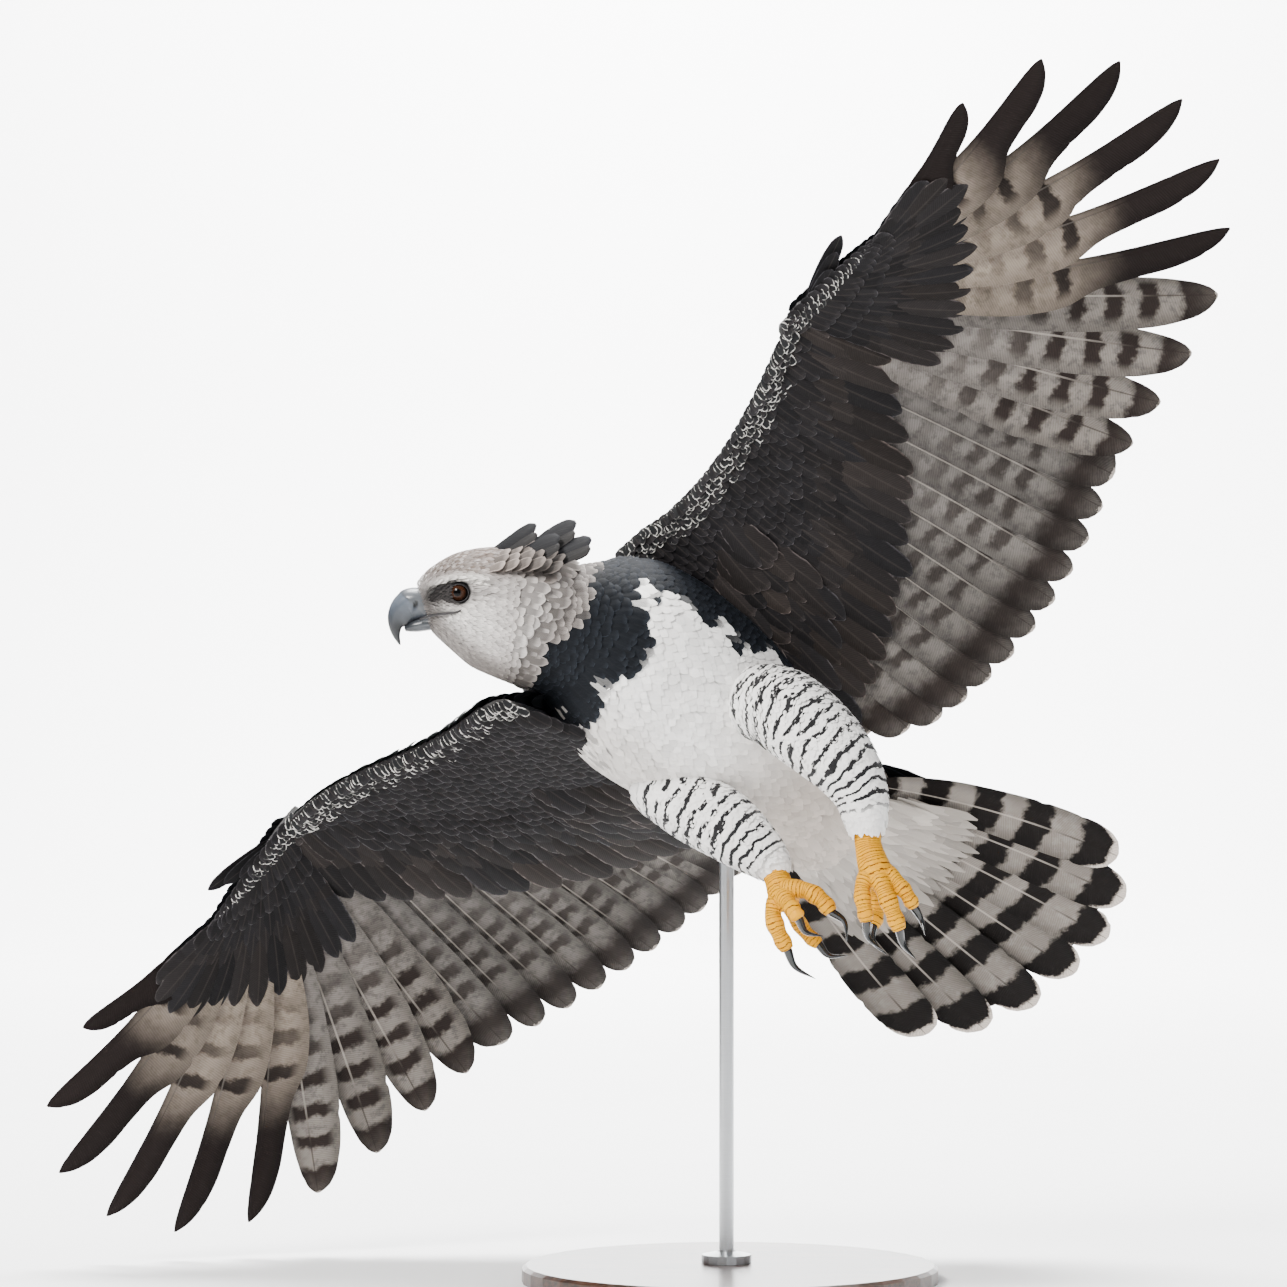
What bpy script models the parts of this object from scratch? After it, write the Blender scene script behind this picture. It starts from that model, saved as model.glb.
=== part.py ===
"""A harpy eagle in flight, life size, as a still museum model on a plain display stand.

Metres, +Z up. The origin is the centre of the stand's underside. The bird flies towards -X,
banked so that its belly and both underwings show towards -Y.
"""
import bpy
import bmesh
import numpy as np

# Place and lie of the body: forward, left and dorsal directions
BODY_AT = np.array([-0.0636, 0.0, 0.7032])
BODY_FORWARD = np.array([-0.759, -0.375, 0.531])
BODY_LEFT = np.array([0.6415, -0.300, 0.7052])

# Gap kept between neighbouring pieces
GAP = 0.0003

# Torso: station along the body, half width, half height above and below, in metres
TORSO_STATIONS = (
    (0.150, 0.106, 0.084, 0.104),
    (0.105, 0.124, 0.094, 0.118),
    (0.040, 0.129, 0.098, 0.122),
    (-0.030, 0.126, 0.094, 0.116),
    (-0.100, 0.112, 0.080, 0.100),
    (-0.165, 0.096, 0.060, 0.078),
    (-0.215, 0.087, 0.045, 0.058),
    (-0.235, 0.083, 0.039, 0.050),
)
TORSO_SIDES = 20
# Rump, the block that the tail feathers grow from: the same rows, moved a little to the right
RUMP_STATIONS = (
    (-0.2353, 0.0822, 0.036, 0.048),
    (-0.262, 0.088, 0.031, 0.040),
    (-0.290, 0.076, 0.020, 0.026),
    (-0.315, 0.052, 0.008, 0.012),
)
RUMP_SHIFT = (0.0, -0.0136, -0.0136, -0.0136)
RUMP_SIDES = 12

# Head: origin at its centre, facing -X with its left side to -Y. Profile pairs are
# crown point, throat point (forward, up) and half width
HEAD_AT = np.array([-0.2965, -0.115, 0.8045])
HEAD_SECTIONS = (
    ((0.077, 0.029), (0.060, -0.022), 0.0190),
    ((0.065, 0.044), (0.052, -0.030), 0.0275),
    ((0.047, 0.057), (0.040, -0.041), 0.0350),
    ((0.029, 0.066), (0.026, -0.053), 0.0425),
    ((0.008, 0.071), (0.010, -0.066), 0.0500),
    ((-0.016, 0.073), (-0.008, -0.074), 0.0570),
    ((-0.044, 0.071), (-0.020, -0.079), 0.0620),
    ((-0.072, 0.066), (-0.030, -0.082), 0.0650),
    ((-0.098, 0.056), (-0.038, -0.083), 0.0650),
)
HEAD_SIDES = 18
EYE_AT = (0.0240, 0.0200)
EYE_SIDE = 0.0290
EYE_RADIUS = 0.0125
# Eyelids: reach from the eye's centre, how far out they lie, thickness, start and swing in degrees
LID_REACH = 0.88
LID_OUT = 0.56
UPPER_LID = (0.0022, 200.0, -220.0)
LOWER_LID = (0.0017, 205.0, 130.0)
# Brow ridge and line of the mouth, left side: forward, aside, up
BROW_LINE = ((0.049, 0.0240, 0.0270), (0.036, 0.0345, 0.0320), (0.020, 0.0405, 0.0345),
             (0.002, 0.0440, 0.0330))
BROW_THICK = 0.0062
MOUTH_LINE = ((0.071, 0.0180, -0.0115), (0.058, 0.0290, -0.0090), (0.040, 0.0390, -0.0030),
              (0.022, 0.0460, 0.0005))
MOUTH_DEEP = (0.0060, 0.0060, 0.0050, 0.0040, 0.0020)
MOUTH_OPEN = 0.22

# Bill: centre line points (forward, up) with half height above and below it and half width
BILL_UPPER = (
    (0.0610, 0.0080, 0.0165, 0.0185, 0.0165),
    (0.0800, 0.0100, 0.0158, 0.0240, 0.0155),
    (0.0890, 0.0060, 0.0145, 0.0235, 0.0132),
    (0.0965, -0.0030, 0.0120, 0.0190, 0.0105),
    (0.1000, -0.0140, 0.0088, 0.0105, 0.0075),
    (0.0992, -0.0270, 0.0052, 0.0052, 0.0045),
    (0.0945, -0.0405, 0.0012, 0.0012, 0.0012),
)
BILL_LOWER = (
    (0.0500, -0.0140, 0.0085, 0.0085, 0.0150),
    (0.0720, -0.0180, 0.0080, 0.0078, 0.0130),
    (0.0820, -0.0205, 0.0060, 0.0056, 0.0100),
    (0.0885, -0.0225, 0.0028, 0.0028, 0.0055),
)
BILL_SIDES = 10
BILL_UPPER_STEPS = 10
BILL_LOWER_STEPS = 6
NOSTRIL_LINE = ((0.0770, 0.0168, 0.0025), (0.0745, 0.0170, 0.0110))
NOSTRIL_SLIM = (0.0007, 0.0014, 0.0014, 0.0006)
NOSTRIL_DEEP = 0.0042

# Wings: one quill plan for both, one pose each
HAND_LENGTH = 0.135
PRIMARY_LENGTH = (0.4125, -0.0093, 0.6200, -0.8081)
PRIMARY_ANGLE = (72.67, -61.40, -53.20, 26.27)
SECONDARY_LENGTH = (0.4088, -0.0082, -0.1391)
WING_POSES = {
    "left": dict(side=1.0, wrist=(0.183, 0.454, 0.048), inner=(0.001, 0.170, 0.028), droop=-13.0,
                 twist=-6.7, sweep=-1.7, spread=0.966, inner_angle=91.0, inner_twist=-15.9,
                 first_turn=0.6, edge=((0.146, 0.120), (0.203, 0.456)), dip=(0.022, 0.000)),
    "right": dict(side=-1.0, wrist=(0.226, 0.454, 0.067), inner=(-0.036, 0.170, 0.031), droop=-16.8,
                  twist=5.1, sweep=-1.8, spread=1.032, inner_angle=90.1, inner_twist=19.8,
                  first_turn=-0.9, edge=((0.226, 0.120), (0.241, 0.456)), dip=(0.009, 0.010)),
}
PRIMARIES = 10
SECONDARIES = 10
TERTIALS = 2

# Feather outlines: share of the length, share of the half width
SECONDARY_OUTLINE = ((0.0, 0.12), (0.16, 0.62), (0.50, 0.96), (0.89, 0.94), (0.972, 0.66), (1.0, 0.22))
FINGER_OUTLINE = ((0.0, 0.12), (0.22, 0.66), (0.52, 1.00), (0.66, 0.72), (0.86, 0.56), (0.96, 0.30),
                  (1.0, 0.06))
BROAD_OUTLINE = ((0.0, 0.12), (0.22, 0.66), (0.52, 1.00), (0.78, 0.94), (0.91, 0.72), (0.978, 0.38),
                 (1.0, 0.12))
COVERT_OUTLINE = ((0.0, 0.45), (0.45, 1.00), (0.84, 0.82), (1.0, 0.20))
SHAFT_THICK = 0.0020
TIP_THICK = 0.0007
COVERT_THICK = 0.0011

# Tail
TAIL_ROOT = np.array([-0.215, -0.017, 0.008])
TAIL_LENGTH = 0.434
TAIL_FALL = 0.095
TAIL_SPREAD = 27.5
TAIL_YAW = 2.9
TAIL_DROOP = 1.4
TAIL_ROLL = -11.9
TAIL_BOW = 0.006
TAIL_STEP = 0.0050
TAIL_SIDE = 0.056
TAIL_SWEEP = 0.012
TAIL_FOLD = 0.028
TAIL_HALF_WIDTH = 0.0350
TAIL_PLACES = (-3.0, -2.0, -1.0, 0.0, 1.0, 2.0, 3.0, -2.5, -1.5, 0.5, 1.5, 2.5)
# Tiers of tail coverts: how many, how far short of the tip, level at the middle and at the outer feathers
TAIL_TIERS = ((5, 0.210, -0.0060, -0.0190), (4, 0.280, -0.0120, -0.0240), (4, 0.240, 0.0075, -0.0080))

# Stand
BASE_RADIUS = 0.250
BASE_HEIGHT = 0.020
ROD_RADIUS = 0.009
ROD_AT = (-0.004, 0.016)
ROD_TOP = 0.600
FLANGE_RADIUS, FLANGE_HEIGHT, COLLAR_RADIUS, COLLAR_HEIGHT = 0.030, 0.010, 0.012, 0.004

# Legs, in metres: middle line points with radius
THIGHS = {
    "left": ((0.013, -0.060, 0.698, 0.0400), (0.052, -0.100, 0.691, 0.0480), (0.080, -0.125, 0.673, 0.0490),
             (0.113, -0.145, 0.644, 0.0450), (0.138, -0.155, 0.614, 0.0380), (0.153, -0.160, 0.582, 0.0300),
             (0.157, -0.163, 0.551, 0.0235)),
    "right": ((-0.102, -0.010, 0.605, 0.0360), (-0.073, -0.030, 0.589, 0.0400),
              (-0.039, -0.052, 0.568, 0.0420),
              (-0.008, -0.068, 0.550, 0.0405), (0.021, -0.080, 0.528,
                                                0.0345), (0.041, -0.085, 0.511, 0.0275),
              (0.052, -0.089, 0.499, 0.0215)),
}
THIGH_SIDES = 12
TARSI = {
    "left": ((0.1568, -0.1628, 0.5550, 0.0180), (0.159, -0.167, 0.530, 0.0165),
             (0.163, -0.173, 0.512, 0.0190),
             (0.168, -0.179, 0.497, 0.0200), (0.171, -0.182, 0.484, 0.0130)),
    "right": ((0.0495, -0.0882, 0.5020, 0.0175), (0.055, -0.095, 0.485, 0.0165),
              (0.059, -0.101, 0.474, 0.0185),
              (0.064, -0.107, 0.462, 0.0190), (0.067, -0.111, 0.452, 0.0120)),
}
TOES = {
    "left": (((0.166, -0.160, 0.497), (0.172, -0.146, 0.474), (0.169, -0.146, 0.448),
              (0.165, -0.152, 0.434)),
             ((0.160, -0.180, 0.500), (0.151, -0.191, 0.480), (0.153, -0.196, 0.458),
              (0.156, -0.197, 0.441)),
             ((0.168, -0.184, 0.497), (0.177, -0.197, 0.476), (0.186, -0.201, 0.453),
              (0.194, -0.200, 0.432)),
             ((0.176, -0.180, 0.502), (0.192, -0.190, 0.487), (0.204, -0.193, 0.471),
              (0.211, -0.191, 0.458))),
    "right": (((0.063, -0.110, 0.476), (0.088, -0.121, 0.474), (0.106, -0.129, 0.463),
               (0.117, -0.132, 0.449)),
              ((0.059, -0.111, 0.470), (0.068, -0.132, 0.458), (0.074, -0.141, 0.449),
               (0.079, -0.143, 0.442)),
              ((0.057, -0.104, 0.470), (0.049, -0.113, 0.446), (0.056, -0.117, 0.423),
               (0.066, -0.117, 0.404)),
              ((0.063, -0.098, 0.468), (0.074, -0.090, 0.444), (0.089, -0.087, 0.422),
               (0.104, -0.089, 0.409))),
}
CLAW_TIPS = {
    "left": ((0.182, -0.166, 0.400), (0.175, -0.206, 0.408), (0.213, -0.207, 0.398), (0.224, -0.199, 0.425)),
    "right": ((0.135, -0.139, 0.414), (0.107, -0.154, 0.422), (0.099, -0.123, 0.370),
              (0.138, -0.092, 0.396)),
}
CLAW_BOW = 0.0085
CLAW_RADIUS = 0.0064
TOE_SHARE = (1.00, 1.06, 0.88, 1.02, 0.84, 0.95, 0.70)
TOE_RADIUS = (0.0118, 0.0108, 0.0118, 0.0104)

# Neck: how far it narrows behind the head and how it widens to the shoulders
NECK_STEP = 0.93
NECK_FLARE = 1.4

# Crest plumes in head coordinates (forward, aside, up): root, tip, half width. All but the middle one are
# paired
CREST = (
    ((-0.016, 0.012, 0.066), (-0.066, 0.020, 0.1010), 0.0085),
    ((-0.046, 0.014, 0.062), (-0.113, 0.026, 0.1040), 0.0115),
    ((-0.066, 0.026, 0.054), (-0.131, 0.040, 0.0840), 0.0105),
    ((-0.040, 0.026, 0.058), (-0.094, 0.040, 0.0860), 0.0110),
    ((-0.048, 0.000, 0.064), (-0.106, 0.000, 0.0980), 0.0120),
)
CREST_TURN = (0.35, 0.90, 0.55)
CREST_OUTLINE = ((0.0, 0.50), (0.35, 0.95), (0.80, 0.90), (1.0, 0.20))
# Ruff: feathers, reach over the neck, depth of the root, rise, half width, bow and tilt
RUFF = 12
RUFF_REACH = 0.42
RUFF_ROOT = 0.955
RUFF_RISE = 0.0075
RUFF_HALF_WIDTH = 0.0150
RUFF_BOW = 0.0045
RUFF_TILT = 9.0

# Flight feathers: bow and sweep of the longest, tilt about the shaft, widths on both sides of it
LONGEST = 0.460
PRIMARY_LIFT = -0.004
SECONDARY_LIFT = 0.006
FINGER_SWEEP = -0.018
BROAD_SWEEP = 0.000
SECONDARY_SWEEP = 0.004
HAND_LOUVRE = 9.0
ARM_LOUVRE = 7.0
FINGER_OUTER, FINGER_INNER, OUTERMOST_INNER = 0.0085, 0.0500, 0.0360
BROAD_OUTER, BROAD_INNER = 0.0230, 0.0430
BROAD_PRIMARIES = 4
SECONDARY_OUTER, SECONDARY_INNER, FIRST_OUTER = 0.0170, 0.0345, 0.0360

# Tiers of coverts: how many, start and end along the shaft, distance at root and tip, half width
HAND_TIERS = (
    (7, (0.004, 0.165, -0.0060, -0.0105, 0.0205)),
    (5, (-0.006, 0.100, -0.0105, -0.0185, 0.0205)),
    (4, (0.004, 0.135, 0.0062, 0.0100, 0.0250)),
)
ARM_TIERS = (
    (9, (0.004, 0.175, -0.0065, -0.0100, 0.0235)),
    (7, (-0.010, 0.115, -0.0115, -0.0165, 0.0255)),
    (5, (-0.026, 0.065, -0.0125, -0.0240, 0.0290)),
    (5, (0.004, 0.150, 0.0065, 0.0100, 0.0350)),
)
WING_SIDES = 10
# Flesh of the wing: stations along the arm, length behind the quills' roots and half thickness (at the
# wrist, growth to the body); rows of the hand (out, front, back, half thickness); shape of the section
ARM_STATIONS = (-0.05, 0.15, 0.40, 0.65, 0.90, 1.28)
ARM_BEHIND = (0.014, 0.006)
ARM_THICK = (0.017, 0.010)
HAND_STATIONS = (
    (-0.030, 0.019, -0.018, 0.0175), (0.010, 0.020, -0.022, 0.0170), (0.060, 0.018, -0.022, 0.0140),
    (0.105, 0.014, -0.018, 0.0110), (0.140, 0.009, -0.012, 0.0080), (0.152, 0.005, -0.007, 0.0045),
)
SECTION_POWER = 0.35
SECTION_TAPER = 0.50
SECTION_CAMBER = 0.10
# Tertials: spacing in the row and step of their roots; alula: root and tip with their steps, half width
TERTIAL_SPACING = 0.12
TERTIAL_STEP = (0.014, 0.006, 0.003)
ALULA = 3
ALULA_ROOT, ALULA_ROOT_STEP = (0.007, 0.012, 0.003), (-0.002, 0.0, -0.003)
ALULA_TIP, ALULA_TIP_STEP = (0.041, 0.116, 0.002), (-0.009, -0.018, -0.006)
ALULA_HALF_WIDTH = 0.0110

SOLVER = "MANIFOLD"

COLOURS = {
    "grey_feather": (0.56, 0.53, 0.51), "white_feather": (0.88, 0.87, 0.84),
    "black_feather": (0.03, 0.03, 0.035),
    "wing_feather": (0.25, 0.23, 0.22), "tail_feather": (0.30, 0.28, 0.26), "horn": (0.10, 0.11, 0.13),
    "scaled_skin": (0.77, 0.42, 0.04), "claw": (0.015, 0.015, 0.018), "eye": (0.25, 0.10, 0.03),
    "stand_wood": (0.10, 0.05, 0.03), "stand_metal": (0.55, 0.55, 0.55),
}
ROUGHNESS = {"horn": 0.35, "claw": 0.25, "eye": 0.05, "scaled_skin": 0.5, "stand_wood": 0.45,
             "stand_metal": 0.35}


# Vectors and curves

def unit(vector):
    """Vector, or rows of vectors, at length one."""
    vector = np.asarray(vector, float)
    return vector / np.linalg.norm(vector, axis=-1, keepdims=True)


def turn(axis, degrees):
    """Rotation matrix about axis 0, 1 or 2."""
    cosine, sine = np.cos(np.radians(degrees)), np.sin(np.radians(degrees))
    matrix = np.eye(3)
    first, second = (axis + 1) % 3, (axis + 2) % 3
    matrix[first, first] = matrix[second, second] = cosine
    matrix[first, second], matrix[second, first] = -sine, sine
    return matrix


FORWARD = unit(BODY_FORWARD)
LEFT = unit(BODY_LEFT - FORWARD * (BODY_LEFT @ FORWARD))
UP = np.cross(FORWARD, LEFT)
BODY_AXES = np.stack([FORWARD, LEFT, UP])


def from_body(points):
    """World points of body points (forward, left, up)."""
    return BODY_AT + np.asarray(points, float) @ BODY_AXES


def from_head(points):
    """World points of head points (forward, left, up)."""
    points = np.asarray(points, float)
    return HEAD_AT + points * np.array([-1.0, -1.0, 1.0])


def bend(points, shares):
    """Points at the given shares of a smooth curve through the given points."""
    points = np.asarray(points, float)
    knots = np.linspace(0.0, 1.0, len(points))
    slopes = np.gradient(points, knots, axis=0)
    shares = np.asarray(shares, float)
    low = np.clip(np.searchsorted(knots, shares, side="right") - 1, 0, len(points) - 2)
    span = (knots[low + 1] - knots[low])[:, None]
    t = (shares - knots[low])[:, None] / span
    return ((2 * t**3 - 3 * t**2 + 1) * points[low] + (t**3 - 2 * t**2 + t) * span * slopes[low]
            + (3 * t**2 - 2 * t**3) * points[low + 1] + (t**3 - t**2) * span * slopes[low + 1])


def frames_along(centres, hint):
    """Two directions square to a path at each of its points, the first nearest to the hint."""
    along = unit(np.gradient(centres, axis=0))
    first = unit(hint - along * (along @ hint)[:, None])
    return first, np.cross(along, first)


# Meshes

def loft(rings):
    """Vertices and triangles of a closed skin over rings of equally many points."""
    rings = np.asarray(rings, float)
    count, sides, _ = rings.shape
    start = np.arange(count - 1)[:, None] * sides
    here = start + np.arange(sides)[None, :]
    after = start + (np.arange(sides)[None, :] + 1) % sides
    first = np.stack([here, after, after + sides], axis=-1).reshape(-1, 3)
    second = np.stack([here, after + sides, here + sides], axis=-1).reshape(-1, 3)
    fan = np.stack([np.zeros(sides - 2, int), np.arange(1, sides - 1), np.arange(2, sides)], axis=-1)
    last = (count - 1) * sides
    return rings.reshape(-1, 3), np.concatenate([first, second, fan[:, ::-1], fan + last])


def ellipse_rings(centres, across, upward, half_across, half_up, sides, lower=None):
    """Rings of an ellipse carried along the centres; the lower half may have its own height."""
    angle = 2 * np.pi * (np.arange(sides) + 0.5) / sides
    half_across = np.broadcast_to(half_across, len(centres))[:, None]
    half_up = np.broadcast_to(half_up, len(centres))[:, None]
    low = half_up if lower is None else np.asarray(lower, float)[:, None]
    height = np.where(np.sin(angle) > 0, half_up, low) * np.sin(angle)
    across = np.broadcast_to(across, (len(centres), 3))
    upward = np.broadcast_to(upward, (len(centres), 3))
    wide = half_across * np.cos(angle)
    return centres[:, None] + wide[..., None] * across[:, None] + height[..., None] * upward[:, None]


def mesh_of(name, shape):
    """Blender mesh of vertices and triangles, with its faces turned outwards."""
    mesh = bpy.data.meshes.new(name)
    mesh.from_pydata(shape[0].tolist(), [], shape[1].tolist())
    work = bmesh.new()
    work.from_mesh(mesh)
    bmesh.ops.recalc_face_normals(work, faces=work.faces)
    if work.calc_volume(signed=True) < 0:
        bmesh.ops.reverse_faces(work, faces=work.faces)
    work.to_mesh(mesh)
    work.free()
    return mesh


def material_of(name):
    """Material with the named colour and roughness."""
    material = bpy.data.materials.get(name)
    if material is None:
        material = bpy.data.materials.new(name)
        material.use_nodes = True
        shader = material.node_tree.nodes["Principled BSDF"]
        shader.inputs["Base Color"].default_value = (*COLOURS[name], 1.0)
        shader.inputs["Roughness"].default_value = ROUGHNESS.get(name, 0.8)
        shader.inputs["Metallic"].default_value = 1.0 if name == "stand_metal" else 0.0
    return material


def add(name, shape, material):
    """New object with this shape and material."""
    thing = bpy.data.objects.new(name, mesh_of(name, shape))
    thing.data.materials.append(material_of(material))
    bpy.context.scene.collection.objects.link(thing)
    return thing


def apply_boolean(thing, operation, solver, **target):
    """Applies one boolean to an object's own mesh."""
    modifier = thing.modifiers.new("join", "BOOLEAN")
    modifier.operation = operation
    modifier.solver = solver
    for key, value in target.items():
        setattr(modifier, key, value)
    bpy.context.view_layer.update()
    shape = bpy.data.meshes.new_from_object(thing.evaluated_get(bpy.context.evaluated_depsgraph_get()))
    old = thing.data
    thing.modifiers.remove(modifier)
    thing.data = shape
    bpy.data.meshes.remove(old)
    shape.name = thing.name


def remove(thing):
    """Removes an object and its mesh."""
    mesh = thing.data
    bpy.data.objects.remove(thing, do_unlink=True)
    bpy.data.meshes.remove(mesh)


def join(thing, shapes, solver=SOLVER):
    """Fuses closed shapes to an object in one union."""
    group = bpy.data.collections.new("pieces")
    bpy.context.scene.collection.children.link(group)
    for number, shape in enumerate(shapes):
        piece = bpy.data.objects.new("piece", mesh_of("piece", shape))
        group.objects.link(piece)
    apply_boolean(thing, "UNION", solver, operand_type="COLLECTION", collection=group)
    for piece in list(group.objects):
        remove(piece)
    bpy.data.collections.remove(group)


def cut(thing, shape, solver=SOLVER):
    """Cuts a closed shape out of an object."""
    cutter = bpy.data.objects.new("cutter", mesh_of("cutter", shape))
    cutter.hide_render = True
    cutter.display_type = "WIRE"
    bpy.context.scene.collection.objects.link(cutter)
    apply_boolean(thing, "DIFFERENCE", solver, operand_type="OBJECT", object=cutter)
    remove(cutter)


def keep_largest(thing):
    """Keeps an object's largest closed surface and splits its faces into triangles."""
    work = bmesh.new()
    work.from_mesh(thing.data)
    bmesh.ops.triangulate(work, faces=work.faces)
    rest = set(work.verts)
    parts = []
    while rest:
        seed = rest.pop()
        part, front = {seed}, [seed]
        while front:
            for edge in front.pop().link_edges:
                for vertex in edge.verts:
                    if vertex in rest:
                        rest.discard(vertex)
                        part.add(vertex)
                        front.append(vertex)
        parts.append(part)
    parts.sort(key=len)
    drop = [vertex for part in parts[:-1] for vertex in part]
    bmesh.ops.delete(work, geom=drop, context="VERTS")
    work.to_mesh(thing.data)
    work.free()


def swell(shape, distance):
    """The same closed shape pushed outwards along its normals."""
    mesh = mesh_of("swollen", shape)
    points = np.array([vertex.co + vertex.normal * distance for vertex in mesh.vertices])
    bpy.data.meshes.remove(mesh)
    return points, shape[1]


def half_space(point, normal, reach=0.6):
    """A box on the far side of a plane, along its normal."""
    normal = unit(normal)
    hint = np.array([0.0, 0.0, 1.0]) if abs(normal[2]) < 0.9 else np.array([1.0, 0.0, 0.0])
    across = unit(np.cross(normal, hint))
    other = np.cross(normal, across)
    corners = np.array([(-1, -1), (1, -1), (1, 1), (-1, 1)]) * reach
    near = np.asarray(point) + corners[:, :1] * across + corners[:, 1:] * other
    return loft([near, near + normal * reach])


def vane(path, across, upward, outer, inner, thick, tilt=0.0):
    """A feather: a thin plate along a path, from its root to its tip, tilted about its shaft."""
    lean = np.radians(tilt)
    side = across * np.cos(lean) + upward * np.sin(lean)
    above = upward * np.cos(lean) - across * np.sin(lean)
    out, into = path + side * outer[:, None], path - side * inner[:, None]
    rim = above * (thick[:, None] / 2)
    return loft(np.stack([out + rim, into + rim, into - rim, out - rim], axis=1))


def tapered(outline, thick):
    """Shares, widths and thicknesses of a feather outline."""
    rows = np.array(outline)
    return rows[:, 0], rows[:, 1], thick + (TIP_THICK - thick) * rows[:, 0]


# Body

def torso_shape(grow=0.0):
    """The trunk as a loft of ellipses along the body."""
    rows = np.array(TORSO_STATIONS)
    centres = np.stack([rows[:, 0], np.zeros(len(rows)), np.zeros(len(rows))], axis=1)
    rings = ellipse_rings(centres, np.array([0.0, 1.0, 0.0]), np.array([0.0, 0.0, 1.0]),
                          rows[:, 1] + grow, rows[:, 2] + grow, TORSO_SIDES, rows[:, 3] + grow)
    rings[0, :, 0] += grow
    rings[-1, :, 0] -= grow
    return loft(from_body(rings))


def head_rings():
    """Rings of the head from the bill to the neck, each through its crown and throat points."""
    rows = HEAD_SECTIONS
    top = np.array([row[0] for row in rows])
    low = np.array([row[1] for row in rows])
    centre = (top + low) / 2
    half = (top - low) / 2
    wide = np.array([row[2] for row in rows])
    angle = 2 * np.pi * (np.arange(HEAD_SIDES) + 0.5) / HEAD_SIDES
    forward = centre[:, None, 0] + half[:, None, 0] * np.sin(angle)
    height = centre[:, None, 1] + half[:, None, 1] * np.sin(angle)
    side = wide[:, None] * np.cos(angle)
    return from_head(np.stack([forward, side, height], axis=-1))


def neck_rings(shares):
    """Rings of the neck at shares of the way from the head to the torso."""
    start = head_rings()[-1]
    middle = start.mean(axis=0)
    start = (start - middle) * NECK_STEP
    rows = TORSO_STATIONS[0]
    angle = 2 * np.pi * (np.arange(HEAD_SIDES) + 0.5) / HEAD_SIDES
    height = np.where(np.sin(angle) > 0, rows[2], rows[3]) * np.sin(angle)
    end = from_body(np.stack([np.full(HEAD_SIDES, rows[0]), rows[1] * np.cos(angle), height], axis=-1))
    foot = end.mean(axis=0)
    end = end - foot
    best = min(range(HEAD_SIDES), key=lambda step: np.sum((np.roll(end, step, axis=0) - start)**2))
    end = np.roll(end, best, axis=0)
    shares = np.asarray(shares, float)[:, None, None]
    grown = shares**NECK_FLARE
    return middle + (foot - middle) * shares + start * (1 - grown) + end * grown


def neck_shape():
    """The neck, a short cone that widens into the shoulders."""
    rings = neck_rings(np.linspace(0.0, 1.0, 6))
    rings[0] += head_plane()[1] * -GAP
    rings[-1] += FORWARD * GAP
    return loft(rings)


def head_plane():
    """Centre and outward normal (towards the head) of the cut between head and neck."""
    ring = head_rings()[-1]
    normal = unit(np.cross(ring[4] - ring[0], ring[9] - ring[4]))
    middle = ring.mean(axis=0)
    if normal @ (head_rings()[0].mean(axis=0) - middle) < 0:
        normal = -normal
    return middle, normal


def eye_centre(side):
    """World place of an eye's centre; side is 1 on the left and -1 on the right."""
    return from_head((EYE_AT[0], side * EYE_SIDE, EYE_AT[1]))


def eye_shape(side, grow=0.0):
    """Eyeball, a turned profile about the line that leaves the head sideways."""
    polar = np.radians(np.linspace(8.0, 172.0, 8))
    angle = 2 * np.pi * np.arange(12) / 12
    radius = EYE_RADIUS + grow
    ring = np.stack([np.sin(polar)[:, None] * np.cos(angle), -side * np.cos(polar)[:, None] * np.ones(12),
                     np.sin(polar)[:, None] * np.sin(angle)], axis=-1)
    return loft(eye_centre(side) + ring * radius)


def lid_shape(side, upper):
    """One eyelid: a tapered bow over the front of the eyeball."""
    share = np.linspace(0.0, 1.0, 6)
    thickness, start, sweep = UPPER_LID if upper else LOWER_LID
    swing = np.radians(start + sweep * share)
    reach = EYE_RADIUS * LID_REACH
    middle = np.stack([reach * np.cos(swing) * 1.08, np.full(6, side * EYE_RADIUS * LID_OUT),
                       reach * np.sin(swing) * 0.92], axis=-1)
    middle = from_head(np.array([EYE_AT[0], side * EYE_SIDE, EYE_AT[1]]) + middle)
    thick = thickness * (0.55 + 0.45 * np.sin(np.pi * share))
    first, second = frames_along(middle, np.array([0.0, -side, 0.0]))
    return loft(ellipse_rings(middle, first, second, thick * 1.5, thick, 6))


def brow_shape(side):
    """The ridge above the eye that shades it."""
    share = np.linspace(0.0, 1.0, 6)
    middle = bend(from_head(np.array(BROW_LINE) * (1.0, side, 1.0)), share)
    first, second = frames_along(middle, np.array([0.0, -side, 0.0]))
    thick = BROW_THICK * (0.35 + 0.65 * np.sin(np.pi * (0.12 + 0.76 * share)))
    return loft(ellipse_rings(middle, first, second, thick, thick * 0.62, 6))


def mouth_shape(side):
    """Wedge that opens the line of the mouth along one cheek."""
    deep = np.array(MOUTH_DEEP)
    middle = bend(from_head(np.array(MOUTH_LINE) * (1.0, side, 1.0)), np.linspace(0.0, 1.0, len(deep)))
    first, second = frames_along(middle, np.array([0.0, -side, 0.0]))
    return loft(ellipse_rings(middle, first, second, deep, deep * MOUTH_OPEN, 4))


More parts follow.
